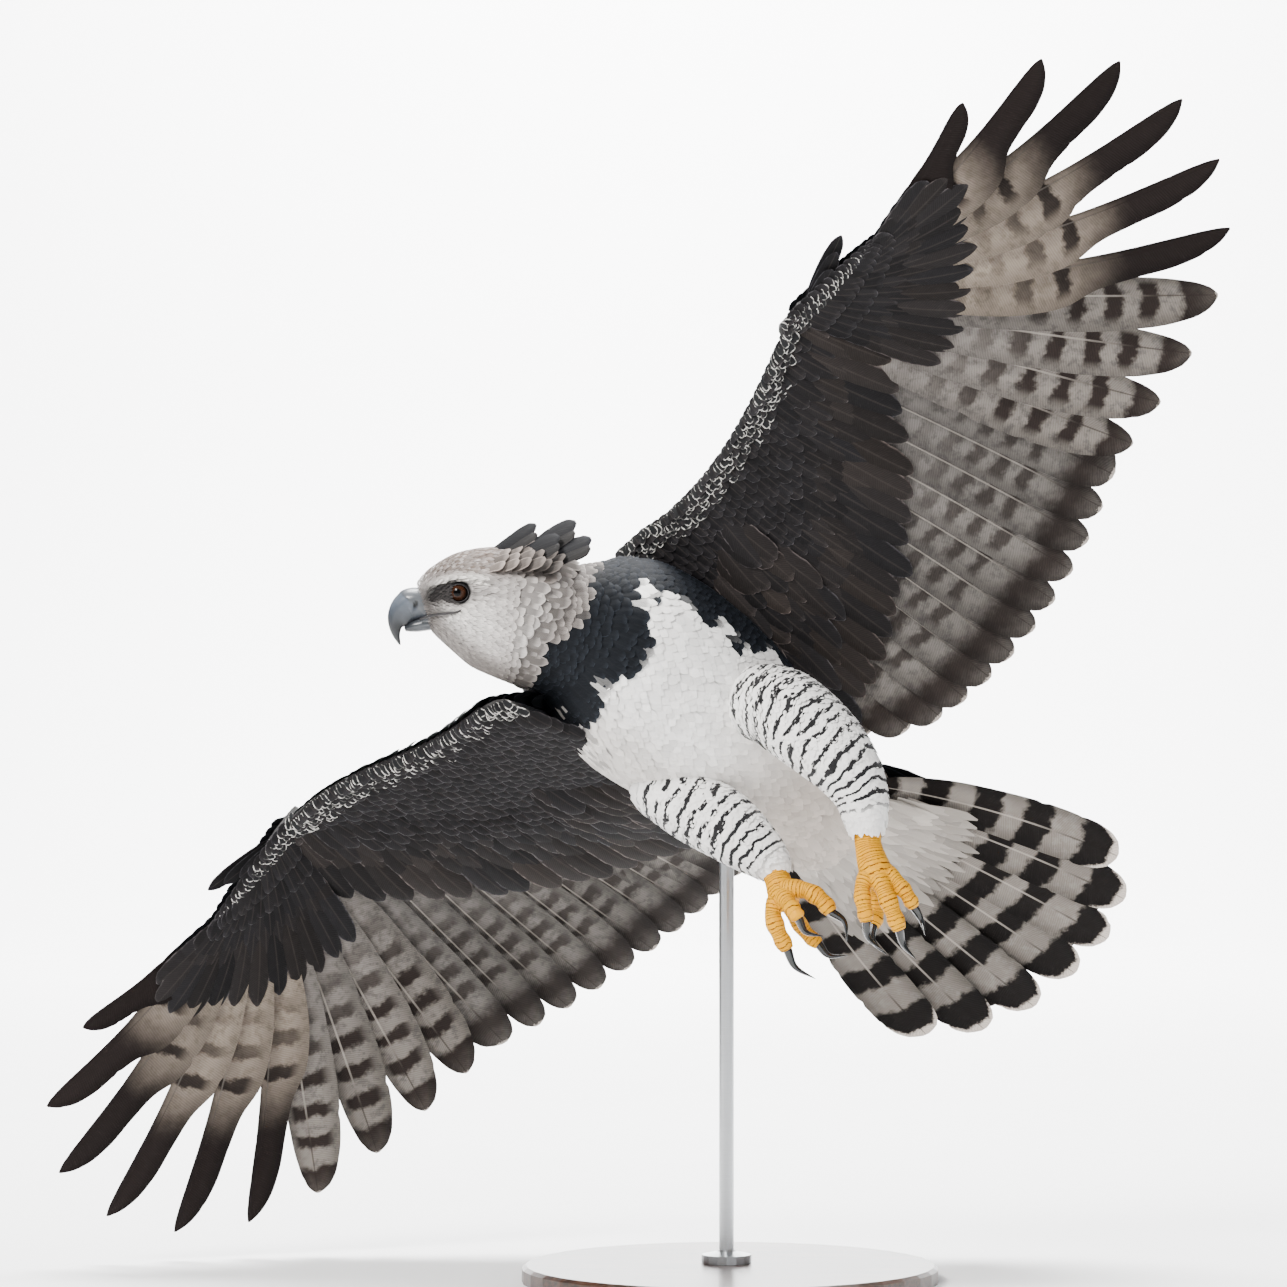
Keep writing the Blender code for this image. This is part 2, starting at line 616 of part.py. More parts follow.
def feather_on(root, tip, upward, half_width, bow, outline=COVERT_OUTLINE, tilt=0.0):
    """A small feather from root to tip that bows to its upper side."""
    root, tip = np.asarray(root, float), np.asarray(tip, float)
    share, width, thick = tapered(outline, COVERT_THICK)
    along = tip - root
    upward = unit(upward - unit(along) * (unit(along) @ upward))
    across = np.cross(unit(along), upward)
    path = root + along * share[:, None] + upward * (bow * 4 * share * (1 - share))[:, None]
    return vane(path, across, upward, width * half_width, width * half_width, thick, tilt)


def crest_shapes():
    """Long plumes that rise from the back of the crown and turn their flat sides outwards."""
    shapes = []
    for root, tip, half_width in CREST:
        for side in (1, -1) if tip[1] else (0,):
            flip = np.array([1.0, side, 1.0])
            upward = turned_to_world(np.array(CREST_TURN) * flip)
            shapes.append(feather_on(from_head(root * flip), from_head(tip * flip), upward, half_width,
                                     0.004,
                                     CREST_OUTLINE))
    return shapes


def turned_to_world(direction):
    """World direction of a head direction."""
    return np.asarray(direction, float) * np.array([-1.0, -1.0, 1.0])


def ruff_shapes():
    """Short feathers of the face's rim that lie back over the neck."""
    rings = head_rings()
    over = neck_rings([0.0, RUFF_REACH])
    middle = over[1].mean(axis=0)
    shapes = []
    for number in range(RUFF):
        place = (number + 0.5) / RUFF * HEAD_SIDES
        low = int(place) % HEAD_SIDES
        high = (low + 1) % HEAD_SIDES
        part = place - int(place)
        start = rings[-3][low] * (1 - part) + rings[-3][high] * part
        centre = rings[-3].mean(axis=0)
        end = over[1][low] * (1 - part) + over[1][high] * part
        outward = unit(end - middle)
        root = centre + (start - centre) * RUFF_ROOT
        tip = end + outward * RUFF_RISE
        shapes.append(feather_on(root, tip, outward, RUFF_HALF_WIDTH, RUFF_BOW, tilt=RUFF_TILT))
    return shapes


def make_head():
    """Head with its crest, ruff, brows and lids, open at the eyes and the mouth line."""
    head = add("head", loft(head_rings()), "grey_feather")
    pieces = crest_shapes() + ruff_shapes() + [brow_shape(side) for side in (1, -1)]
    pieces += [lid_shape(side, upper) for side in (1, -1) for upper in (True, False)]
    join(head, pieces)
    cut(head, swell(neck_shape(), GAP))
    for rings in (bill_rings(BILL_UPPER, BILL_UPPER_STEPS), bill_rings(BILL_LOWER, BILL_LOWER_STEPS)):
        cut(head, swell(loft(from_head(rings)), GAP))
    for side in (1, -1):
        cut(head, mouth_shape(side))
        cut(head, eye_shape(side, GAP))
    keep_largest(head)


def make_eyes():
    """Both eyeballs."""
    for name, side in (("eye_left", 1), ("eye_right", -1)):
        add(name, eye_shape(side), "eye")


def bill_rings(rows, steps):
    """Half of the bill as rings square to its centre line."""
    rows = np.array(rows)
    shares = np.linspace(0.0, 1.0, steps)
    centres = bend(np.stack([rows[:, 0], np.zeros(len(rows)), rows[:, 1]], axis=1), shares)
    knots = np.linspace(0.0, 1.0, len(rows))
    high, low, wide = (np.interp(shares, knots, rows[:, column]) for column in (2, 3, 4))
    along = unit(np.gradient(centres, axis=0))
    across = np.array([0.0, 1.0, 0.0])
    upward = np.cross(along, across)
    return ellipse_rings(centres, across, upward, wide, high, BILL_SIDES, low)


def nostril_shape(side):
    """Slanting slit through the side of the cere."""
    ends = from_head(np.array(NOSTRIL_LINE) * (1.0, side, 1.0))
    middle = ends[0] + (ends[1] - ends[0]) * np.linspace(0.0, 1.0, len(NOSTRIL_SLIM))[:, None]
    first, second = frames_along(middle, np.array([0.0, -side, 0.0]))
    return loft(ellipse_rings(middle, first, second, NOSTRIL_DEEP, np.array(NOSTRIL_SLIM), 6))


def make_bill():
    """Both halves of the bill, with slit nostrils in the upper one."""
    upper = add("bill_upper", loft(from_head(bill_rings(BILL_UPPER, BILL_UPPER_STEPS))), "horn")
    lower = loft(from_head(bill_rings(BILL_LOWER, BILL_LOWER_STEPS)))
    for side in (1, -1):
        cut(upper, nostril_shape(side))
    cut(upper, swell(lower, GAP))
    keep_largest(upper)
    add("bill_lower", lower, "horn")


# Tail

def tail_quill(place):
    """Root, direction, left side, upper side and length of a tail feather; place runs -1 to 1."""
    turned, lowered, rolled = np.radians([TAIL_YAW + TAIL_SPREAD * place, TAIL_DROOP, TAIL_ROLL])
    side = np.sin(turned)
    reach = unit(np.array([-np.cos(turned) * np.cos(lowered), side,
                           -np.cos(turned) * np.sin(lowered) + side * np.sin(rolled)]))
    left = np.array([0.0, np.cos(rolled), np.sin(rolled)])
    root = left * (TAIL_SIDE * place)
    along = reach * (TAIL_LENGTH * (1.0 - TAIL_FALL * abs(place)**3)) - root
    length = np.linalg.norm(along)
    across = unit(left - along * (along @ left) / length**2)
    return TAIL_ROOT + root, along / length, across, np.cross(across, along / length), length


def tail_feather(place, start, end, level, half_width, outline, thick):
    """Tail feather at a level above or below the fan's middle plane; end is short of the full length."""
    root, along, across, upward, length = tail_quill(place)
    share, width, thickness = tapered(outline, thick)
    reach = start + (length - end - start) * share
    part = reach / length
    path = root + along * reach[:, None] + upward * (level - TAIL_BOW * part**2)[:, None]
    path = path + across * (TAIL_SWEEP * place * 4 * part * (1 - part))[:, None]
    shape = vane(path, across, upward, width * half_width, width * half_width, thickness)
    return from_body(shape[0]), shape[1]


def tail_shapes():
    """Twelve tail feathers: seven whose ends show below and five folded between them."""
    shapes = []
    for place in TAIL_PLACES:
        apart = abs(place)
        folded = apart != round(apart)
        level = -TAIL_STEP * (apart - 0.5) + TAIL_STEP / 2 if folded else -TAIL_STEP * apart
        shapes.append(tail_feather(place / 3.0, 0.034, TAIL_FOLD if folded else 0.0, level, TAIL_HALF_WIDTH,
                                   SECONDARY_OUTLINE, SHAFT_THICK))
    return shapes


def tail_coverts():
    """Two tiers of coverts below the tail and one above."""
    shapes = []
    for count, end, middle_level, outer_level in TAIL_TIERS:
        for place in np.linspace(-1.0, 1.0, count):
            level = middle_level + (outer_level - middle_level) * abs(place)
            shapes.append(tail_feather(0.95 * place, 0.034, end + 0.02 * place * place, level, 0.0265,
                                       COVERT_OUTLINE, COVERT_THICK))
    return shapes


def make_tail():
    """Tail: the root block with its feathers."""
    rows = np.array(RUMP_STATIONS)
    centres = np.stack([rows[:, 0], np.array(RUMP_SHIFT), np.zeros(len(rows))], axis=1)
    rings = ellipse_rings(centres, np.array([0.0, 1.0, 0.0]), np.array([0.0, 0.0, 1.0]), rows[:, 1],
                          rows[:, 2], RUMP_SIDES, rows[:, 3])
    tail = add("tail", loft(from_body(rings)), "tail_feather")
    join(tail, tail_shapes() + tail_coverts())
    cut(tail, torso_shape(GAP))
    keep_largest(tail)


# Wings, worked out for the left side and mirrored for the right one

def hand_matrix(pose):
    """Turns hand directions (forward, outward, up) into body directions."""
    return turn(0, pose["droop"]) @ turn(2, pose["sweep"]) @ turn(1, pose["twist"])


def power_row(factors, x):
    """Value of a polynomial with these factors, lowest power first."""
    return sum(factor * x**power for power, factor in enumerate(factors))


def primary_quill(pose, x):
    """Root, direction, leading side, upper side and length of a primary; x runs 0 to 1 outwards."""
    length = power_row(PRIMARY_LENGTH, x)
    every = power_row(PRIMARY_ANGLE, np.linspace(0.0, 1.0, PRIMARIES))
    angle = np.radians(every.mean() + (power_row(PRIMARY_ANGLE, x) - every.mean()) * pose["spread"])
    matrix = hand_matrix(pose)
    root = np.asarray(pose["wrist"]) + matrix @ np.array([0.0, HAND_LENGTH * (0.06 + 0.94 * x), 0.0])
    along = matrix @ np.array([-np.sin(angle), np.cos(angle), 0.0])
    across = matrix @ np.array([np.cos(angle), np.sin(angle), 0.0])
    return root, along, across, np.cross(across, along), length


def secondary_quill(pose, u):
    """The same for a secondary; u runs 0 to 1 from the wrist to the body."""
    wrist, inner = np.asarray(pose["wrist"]), np.asarray(pose["inner"])
    every = power_row(PRIMARY_ANGLE, np.linspace(0.0, 1.0, PRIMARIES))
    outermost = every.mean() + (PRIMARY_ANGLE[0] - every.mean()) * pose["spread"]
    start = outermost - pose["sweep"] + pose["first_turn"]
    angle = np.radians(start + (pose["inner_angle"] - start) * u)
    twist = np.radians(pose["twist"] + (pose["inner_twist"] - pose["twist"]) * u)
    droop = np.radians(pose["droop"] * (1 - u)**2)
    along = unit(np.array([-np.sin(angle) * np.cos(twist), np.cos(angle) * np.cos(droop),
                           np.sin(angle) * np.sin(twist) + np.cos(angle) * np.sin(droop)]))
    across = unit(np.array([0.0, 1.0, 0.0]) - along * along[1])
    return wrist + (inner - wrist) * u, along, across, np.cross(across, along), power_row(SECONDARY_LENGTH, u)


def edge_point(pose, out):
    """Point of the arm's leading edge at a distance out from the body's middle line."""
    (start, near), (end, far) = pose["edge"]
    share = np.clip((out - near) / (far - near), 0.0, 1.1)
    forward = start + (end - start) * share
    forward -= pose["dip"][0] * np.sin(np.pi * min(share, 1.0)**0.8)
    forward -= pose["dip"][1] * np.sin(2 * np.pi * min(share, 1.0))
    return forward


def wing_section(front, back, upward, thick):
    """Closed section of the wing's flesh from its leading edge to behind the quills' roots."""
    angle = 2 * np.pi * (np.arange(WING_SIDES) + 0.5) / WING_SIDES
    share = (1 - np.cos(angle)) / 2
    half = thick * (4 * share * (1 - share))**SECTION_POWER * (1 - SECTION_TAPER * share)
    chord = np.asarray(back) - np.asarray(front)
    rise = half * np.sign(np.sin(angle)) + SECTION_CAMBER * np.linalg.norm(chord) * share * (1 - share)
    return front + chord * share[:, None] + np.asarray(upward) * rise[:, None]


def arm_flesh(pose):
    """Upper arm, forearm and the skin between them, in body points of the left side."""
    rings = []
    for u in ARM_STATIONS:
        root, along, across, upward, length = secondary_quill(pose, u)
        front_forward = edge_point(pose, root[1])
        chord = front_forward - root[0]
        twist = np.radians(pose["twist"] + (pose["inner_twist"] - pose["twist"]) * u)
        front = np.array([front_forward, root[1], root[2] - chord * np.tan(twist)])
        back = root + unit(root - front) * (ARM_BEHIND[0] + ARM_BEHIND[1] * u)
        rings.append(wing_section(front, back, upward, ARM_THICK[0] + ARM_THICK[1] * max(u, 0.0)))
    return rings


def hand_flesh(pose):
    """Hand from the wrist to the root of the outermost primary."""
    matrix = hand_matrix(pose)
    wrist = np.asarray(pose["wrist"])
    rings = []
    for out, front, back, thick in HAND_STATIONS:
        rings.append(wing_section(wrist + matrix @ np.array([front, out, 0.0]),
                                  wrist + matrix @ np.array([back, out, 0.0]), matrix[:, 2], thick))
    return rings


def remex(quill, half_out, half_in, outline, lift, sweep, tilt):
    """Flight feather of a quill: its shaft bows by lift and sweeps by sweep at its middle."""
    across, upward = quill[2], quill[3]
    share, width, thick = tapered(outline, SHAFT_THICK)
    path = shaft_points(quill, share, lift, sweep)
    return vane(path, across, upward, half_out * width, half_in * width, thick, tilt)


def shaft_points(quill, share, lift, sweep):
    """Points of a flight feather's shaft at shares of its length."""
    root, along, across, upward, length = quill
    rise = 4 * share * (1 - share) * (length / LONGEST)**2
    return root + along * (length * share)[:, None] + (upward * lift + across * sweep) * rise[:, None]


def covert(quill, lift, sweep, tier, tilt, shrink=1.0, sink=1.0):
    """A covert that follows the flight feather of its quill, below or above it.

    The tier gives its start and end along the shaft, its distance from the shaft at root and tip,
    and its half width.
    """
    start, end, root_off, tip_off, half = tier
    root_off = root_off * sink
    root, along, across, upward, length = quill
    share, width, thick = tapered(COVERT_OUTLINE, COVERT_THICK)
    reach = (start + (end - start) * share * shrink) / length
    path = shaft_points(quill, reach, lift,
                        sweep) + upward * (root_off + (tip_off - root_off) * share)[:, None]
    return vane(path, across, upward, width * half, width * half, thick, tilt)


def mirrored(shape, pose):
    """World shape of a left side shape in body points, for the pose's own side."""
    points = np.array(shape[0])
    points[:, 1] *= pose["side"]
    return from_body(points), shape[1]


def wrist_plane(pose):
    """Point and outward normal of the cut between arm and hand, in left side body points."""
    first = primary_quill(pose, 0.0)
    last = secondary_quill(pose, 0.05)
    point = (first[0] + last[0]) / 2
    along = unit(first[1] + last[1])
    normal = unit(np.cross(along, unit(first[3] + last[3])))
    if normal[1] < 0:
        normal = -normal
    return point, normal


def tier_quills(pose, count, hand):
    """Evenly spread quills for one tier of coverts."""
    places = (np.arange(count) + 0.5) / count
    if hand:
        return [primary_quill(pose, place * 0.96) for place in places]
    return [secondary_quill(pose, place * 1.06) for place in places]


def make_wing(side):
    """Both nodes of one wing, cut apart between the innermost primary and the outermost secondary."""
    pose = WING_POSES[side]
    point, normal = wrist_plane(pose)
    mirror = np.array([1.0, pose["side"], 1.0])
    point, normal = from_body(point * mirror), (normal * mirror) @ BODY_AXES
    hand = add("wing_" + side + "_hand", mirrored(loft(hand_flesh(pose)), pose), "wing_feather")
    join(hand, [mirrored(piece, pose) for piece in hand_feathers(pose) + alula_shapes(pose)])
    cut(hand, half_space(point + normal * GAP / 2, -normal))
    keep_largest(hand)
    arm = add("wing_" + side + "_arm", mirrored(loft(arm_flesh(pose)), pose), "wing_feather")
    join(arm, [mirrored(piece, pose) for piece in arm_feathers(pose)])
    cut(arm, half_space(point - normal * GAP / 2, normal))
    cut(arm, torso_shape(GAP))
    keep_largest(arm)


def hand_feathers(pose):
    """Primaries and the coverts over their roots."""
    pieces = []
    for number in range(PRIMARIES):
        quill = primary_quill(pose, number / (PRIMARIES - 1))
        if number < BROAD_PRIMARIES:
            form = (BROAD_OUTER, BROAD_INNER, BROAD_OUTLINE, PRIMARY_LIFT, BROAD_SWEEP)
        else:
            inner = OUTERMOST_INNER if number == PRIMARIES - 1 else FINGER_INNER
            form = (FINGER_OUTER, inner, FINGER_OUTLINE, PRIMARY_LIFT, FINGER_SWEEP)
        pieces.append(remex(quill, *form, HAND_LOUVRE))
    for count, tier in HAND_TIERS:
        for quill in tier_quills(pose, count, True):
            sink = 1.0 - 0.6 * np.linalg.norm(quill[0] - np.asarray(pose["wrist"])) / HAND_LENGTH
            shrink = min(1.0, quill[4] / 0.40)
            pieces.append(covert(quill, PRIMARY_LIFT, BROAD_SWEEP, tier, HAND_LOUVRE, shrink, sink))
    return pieces


def arm_feathers(pose):
    """Secondaries, tertials and the coverts over their roots."""
    quills = [secondary_quill(pose, (number + 0.5) / SECONDARIES) for number in range(SECONDARIES)]
    quills += [tertial_quill(pose, number) for number in range(TERTIALS)]
    pieces = [remex(quill, FIRST_OUTER if number == 0 else SECONDARY_OUTER, SECONDARY_INNER,
                    SECONDARY_OUTLINE, SECONDARY_LIFT, SECONDARY_SWEEP, ARM_LOUVRE)
              for number, quill in enumerate(quills)]
    for count, tier in ARM_TIERS:
        for quill in tier_quills(pose, count, False):
            pieces.append(covert(quill, SECONDARY_LIFT, SECONDARY_SWEEP, tier, ARM_LOUVRE))
    return pieces


def tertial_quill(pose, number):
    """Quill of a feather between the secondaries and the body."""
    root, along, across, upward, length = secondary_quill(pose, 1.0 + TERTIAL_SPACING * (number + 0.5))
    root = root + np.array(TERTIAL_STEP) * (number + 0.5)
    return root, along, across, upward, length


def alula_shapes(pose):
    """Three stiff feathers on the thumb, at the front of the wrist."""
    matrix = hand_matrix(pose)
    wrist = np.asarray(pose["wrist"])
    shapes = []
    for number in range(ALULA):
        root = wrist + matrix @ (np.array(ALULA_ROOT) + np.array(ALULA_ROOT_STEP) * number)
        tip = wrist + matrix @ (np.array(ALULA_TIP) + np.array(ALULA_TIP_STEP) * number)
        shapes.append(feather_on(root, tip, matrix[:, 2], ALULA_HALF_WIDTH, 0.0))
    return shapes


# Legs

def limb(points, sides, steps, hint):
    """A limb as rings of a circle whose radius changes along a smooth path."""
    rows = np.array(points)
    shares = np.linspace(0.0, 1.0, steps)
    curve = bend(rows, shares)
    first, second = frames_along(curve[:, :3], np.asarray(hint, float))
    return ellipse_rings(curve[:, :3], first, second, curve[:, 3], curve[:, 3], sides)


def make_thigh(side):
    """Feathered thigh, cut clear of the torso."""
    thigh = add("thigh_" + side, loft(limb(THIGHS[side], THIGH_SIDES, 9, (0, -1, 0))), "white_feather")
    cut(thigh, torso_shape(GAP))
    cut(thigh, swell(tarsus_shape(side), GAP))
    keep_largest(thigh)


def tarsus_shape(side):
    """Bare lower leg from the thigh's feathers to the toes."""
    return loft(limb(TARSI[side], 9, 7, (0, -1, 0)))


def toe_rings(points, radius):
    """A toe with its joint pads, thick and thin in turn."""
    shares = np.linspace(0.0, 1.0, len(TOE_SHARE))
    curve = bend(points, shares)
    first, second = frames_along(curve, np.array([0.0, -1.0, 0.0]))
    thick = radius * np.array(TOE_SHARE)
    return ellipse_rings(curve, first, second, thick, thick * 0.92, 7)


def claw_rings(toe, tip):
    """A claw that curves down from the end of its toe."""
    end, before = np.asarray(toe[-1]), np.asarray(toe[-2])
    along = unit(end - before)
    start = end + along * GAP * 2
    chord = np.asarray(tip) - start
    middle = start + chord * 0.45 + unit(along - unit(chord) * (along @ unit(chord))) * CLAW_BOW
    shares = np.linspace(0.0, 1.0, 6)
    curve = bend(np.array([start, middle, tip]), shares)
    first, second = frames_along(curve, np.array([0.0, -1.0, 0.0]))
    thick = CLAW_RADIUS * (1.0 - 0.93 * shares**1.3)
    return ellipse_rings(curve, first, second, thick, thick, 7)


def make_foot(side):
    """Bare lower leg with four toes, and its four claws."""
    foot = add("foot_" + side, tarsus_shape(side), "scaled_skin")
    toes = [toe_rings(points, radius) for points, radius in zip(TOES[side], TOE_RADIUS)]
    join(foot, [loft(rings) for rings in toes])
    claws = [loft(claw_rings(points, tip)) for points, tip in zip(TOES[side], CLAW_TIPS[side])]
    for claw in claws:
        cut(foot, swell(claw, GAP))
    keep_largest(foot)
    for number, claw in enumerate(claws):
        add("claw_" + side + "_" + str(number + 1), claw, "claw")


# Stand

def disc_rings(rows, at, sides):
    """Turned body: rows of height and radius about an upright axis."""
    angle = 2 * np.pi * np.arange(sides) / sides
    rings = [np.stack([at[0] + radius * np.cos(angle), at[1] + radius * np.sin(angle),
                       np.full(sides, height)],
                      axis=-1) for height, radius in rows]
    return loft(rings)


def make_stand():
    """Flat round base and one upright rod that ends against the bird's flank."""
    rows = ((0.0, BASE_RADIUS), (BASE_HEIGHT - 0.004, BASE_RADIUS), (BASE_HEIGHT, BASE_RADIUS - 0.005))
    add("stand_base", disc_rings(rows, (0.0, 0.0), 40), "stand_wood")
    foot = BASE_HEIGHT + GAP
    collar = foot + FLANGE_HEIGHT + COLLAR_HEIGHT
    rows = ((foot, FLANGE_RADIUS), (foot + FLANGE_HEIGHT, FLANGE_RADIUS), (collar, COLLAR_RADIUS),
            (collar + 0.002, ROD_RADIUS), (ROD_TOP, ROD_RADIUS))
    rod = add("stand_rod", disc_rings(rows, ROD_AT, 16), "stand_metal")
    cut(rod, torso_shape(GAP))
    keep_largest(rod)


def shade(thing):
    """Smooth shading with crisp creases."""
    thing.data.shade_smooth()
    thing.data.set_sharp_from_angle(angle=np.radians(35.0))


def main():
    for old in list(bpy.data.objects):
        bpy.data.objects.remove(old, do_unlink=True)
    add("torso", torso_shape(), "white_feather")
    add("neck", neck_shape(), "black_feather")
    make_head()
    make_eyes()
    make_bill()
    make_tail()
    for side in ("left", "right"):
        make_wing(side)
        make_thigh(side)
        make_foot(side)
    make_stand()
    for thing in bpy.context.scene.objects:
        shade(thing)


main()
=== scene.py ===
"""A harpy eagle in flight, life size, as a still museum model: its looks, cell by cell.

Every shape is a surface worked out with numpy. A body is rings of points carried along a middle
line. A feather is a leaf: a shaft from root to tip, a width that changes along it, and two faces
that share their rim. All is in metres, +Z up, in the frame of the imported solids.
"""
# %% [markdown]
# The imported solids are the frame. Every piece made here sits where the solids say, so the
# pose, the size and the stand are already settled before the first feather is made.

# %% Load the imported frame
from functools import partial
import bpy
import bmesh
import numpy as np
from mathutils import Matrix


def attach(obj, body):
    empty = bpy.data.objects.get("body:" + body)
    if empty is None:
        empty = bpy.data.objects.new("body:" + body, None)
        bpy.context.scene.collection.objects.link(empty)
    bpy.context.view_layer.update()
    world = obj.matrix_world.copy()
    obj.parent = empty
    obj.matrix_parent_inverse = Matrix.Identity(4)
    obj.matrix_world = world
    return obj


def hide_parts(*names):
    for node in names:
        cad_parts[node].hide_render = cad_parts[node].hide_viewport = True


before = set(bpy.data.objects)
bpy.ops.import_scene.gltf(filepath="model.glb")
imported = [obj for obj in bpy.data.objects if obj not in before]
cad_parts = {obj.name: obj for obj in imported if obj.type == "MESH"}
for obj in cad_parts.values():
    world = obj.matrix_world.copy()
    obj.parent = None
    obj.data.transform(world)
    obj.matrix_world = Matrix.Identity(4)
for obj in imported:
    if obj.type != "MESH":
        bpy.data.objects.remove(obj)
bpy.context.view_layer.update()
rng = np.random.default_rng(7)

# %% [markdown]
# Directions are rows of vectors. A curve through a few points is a cubic whose slope at each
# point is the mean of its two neighbours' slopes, which is how a drawn line runs through marks.

# %% Vectors, turns and curves
def unit(v):
    """Each row divided by its own length."""
    v = np.asarray(v, float)
    return v / np.maximum(np.linalg.norm(v, axis=-1, keepdims=True), 1e-12)


def turn(axis, degrees):
    """Rotation matrix about axis 0, 1 or 2: cosine on the diagonal, sine across it."""
    c, s = np.cos(np.radians(degrees)), np.sin(np.radians(degrees))
    m = np.eye(3)
    a, b = (axis + 1) % 3, (axis + 2) % 3
    m[a, a] = m[b, b] = c
    m[a, b], m[b, a] = -s, s
    return m


def bend(points, shares, knots=None):
    """Cubic Hermite curve: value = blend of two end points and their slopes by the share between them."""
    points, shares = np.asarray(points, float), np.asarray(shares, float)
    knots = np.linspace(0.0, 1.0, len(points)) if knots is None else knots
    slopes = np.gradient(points, knots, axis=0)
    low = np.clip(np.searchsorted(knots, shares, side="right") - 1, 0, len(points) - 2)
    shape = (-1,) + (1,) * (points.ndim - 1)
    span = (knots[low + 1] - knots[low]).reshape(shape)
    t = (shares - knots[low]).reshape(shape) / span
    return ((2 * t**3 - 3 * t**2 + 1) * points[low] + (t**3 - 2 * t**2 + t) * span * slopes[low]
            + (3 * t**2 - 2 * t**3) * points[low + 1] + (t**3 - t**2) * span * slopes[low + 1])


def frames_along(centres, hint):
    """Two directions square to a path: the hint less its part along the path, and their cross product."""
    along = unit(np.gradient(centres, axis=0))
    first = unit(hint - along * (along @ hint)[:, None])
    return first, np.cross(along, first)


def step(x, low, high):
    """Smooth step: 0 below low, 1 above high, and 3t*t - 2t*t*t between."""
    t = np.clip((x - low) / (high - low), 0.0, 1.0)
    return t * t * (3 - 2 * t)


# %% [markdown]
# The same named places as in the solids: where the body is, which way it flies, and the rings of
# torso, head, bill, wings, tail and legs. A finer surface is drawn through the same rings.

# %% The bird's own measures
BODY_AT = np.array([-0.0636, 0.0, 0.7032])
FORWARD = unit([-0.759, -0.375, 0.531])
LEFT = np.array([0.6415, -0.3, 0.7052])
LEFT = unit(LEFT - FORWARD * (LEFT @ FORWARD))
BODY_AXES = np.stack([FORWARD, LEFT, np.cross(FORWARD, LEFT)])
SIDES = 18

# Columns: forward, half width, height above and below the middle.
TORSO_STATIONS = np.array(((0.15, 0.106, 0.084, 0.104), (0.105, 0.124, 0.094, 0.118),
                           (0.04, 0.129, 0.098, 0.122), (-0.03, 0.126, 0.094, 0.116),
                           (-0.1, 0.112, 0.08, 0.1), (-0.165, 0.096, 0.06, 0.078),
                           (-0.215, 0.087, 0.045, 0.058), (-0.235, 0.083, 0.039, 0.05)))
RUMP_STATIONS = np.array(((-0.262, 0.088, 0.031, 0.04), (-0.29, 0.076, 0.02, 0.026),
                          (-0.315, 0.052, 0.008, 0.012)))
RUMP_SHIFT = -0.0136
HEAD_AT = np.array([-0.2965, -0.115, 0.8045])
# Columns: crown point, throat point, half width.
HEAD_SECTIONS = (((0.077, 0.029), (0.06, -0.022), 0.019), ((0.065, 0.044), (0.052, -0.03), 0.0275),
                 ((0.047, 0.057), (0.04, -0.041), 0.035), ((0.029, 0.066), (0.026, -0.053), 0.0425),
                 ((0.008, 0.071), (0.01, -0.066), 0.05), ((-0.016, 0.073), (-0.008, -0.074), 0.057),
                 ((-0.044, 0.071), (-0.02, -0.079), 0.062), ((-0.072, 0.066), (-0.03, -0.082), 0.065),
                 ((-0.098, 0.056), (-0.038, -0.083), 0.065))
EYE_AT, EYE_SIDE, EYE_RADIUS = (0.024, 0.02), 0.029, 0.0125
NECK_STEP, NECK_FLARE = 0.93, 1.4
ANGLE = 2 * np.pi * (np.arange(SIDES) + 0.5) / SIDES


def from_body(p):
    """World place = body's place + forward, left and up shares of the body's three directions."""
    return BODY_AT + np.asarray(p, float) @ BODY_AXES


def to_body(p):
    """Body coordinates: the offset from the body's place measured along its three directions."""
    return (np.asarray(p, float) - BODY_AT) @ BODY_AXES.T


def from_head(p):
    """Head coordinates run forward to -X, left to -Y and up to +Z."""
    return HEAD_AT + np.asarray(p, float) * np.array([-1.0, -1.0, 1.0])


def body_rings(rows):
    """Ellipses square to the body, flatter above than below."""
    high = np.where(np.sin(ANGLE) > 0, rows[:, 2:3], rows[:, 3:4]) * np.sin(ANGLE)
    wide = rows[:, 1:2] * np.cos(ANGLE)
    return from_body(np.stack([np.broadcast_to(rows[:, :1], wide.shape), wide, high], axis=-1))


def head_rings():
    """Ellipses through each pair of crown and throat points."""
    top = np.array([r[0] for r in HEAD_SECTIONS])
    low = np.array([r[1] for r in HEAD_SECTIONS])
    wide = np.array([r[2] for r in HEAD_SECTIONS])
    middle, half = (top + low) / 2, (top - low) / 2
    rise = np.sin(ANGLE)
    return from_head(np.stack([middle[:, None, 0] + half[:, None, 0] * rise, wide[:, None] * np.cos(ANGLE),
                               middle[:, None, 1] + half[:, None, 1] * rise], axis=-1))


def neck_rings(shares):
    """Blend of the head's last ring and the torso's first, with the blend's share raised to a power."""
    start = head_rings()[-1]
    middle = start.mean(axis=0)
    start = (start - middle) * NECK_STEP
    end = body_rings(TORSO_STATIONS[:1])[0]
    foot = end.mean(axis=0)
    end = end - foot
    roll = min(range(SIDES), key=lambda k: np.sum((np.roll(end, k, axis=0) - start)**2))
    end = np.roll(end, roll, axis=0)
    s = np.asarray(shares, float)[:, None, None]
    return middle + (foot - middle) * s + start * (1 - s**NECK_FLARE) + end * s**NECK_FLARE, roll


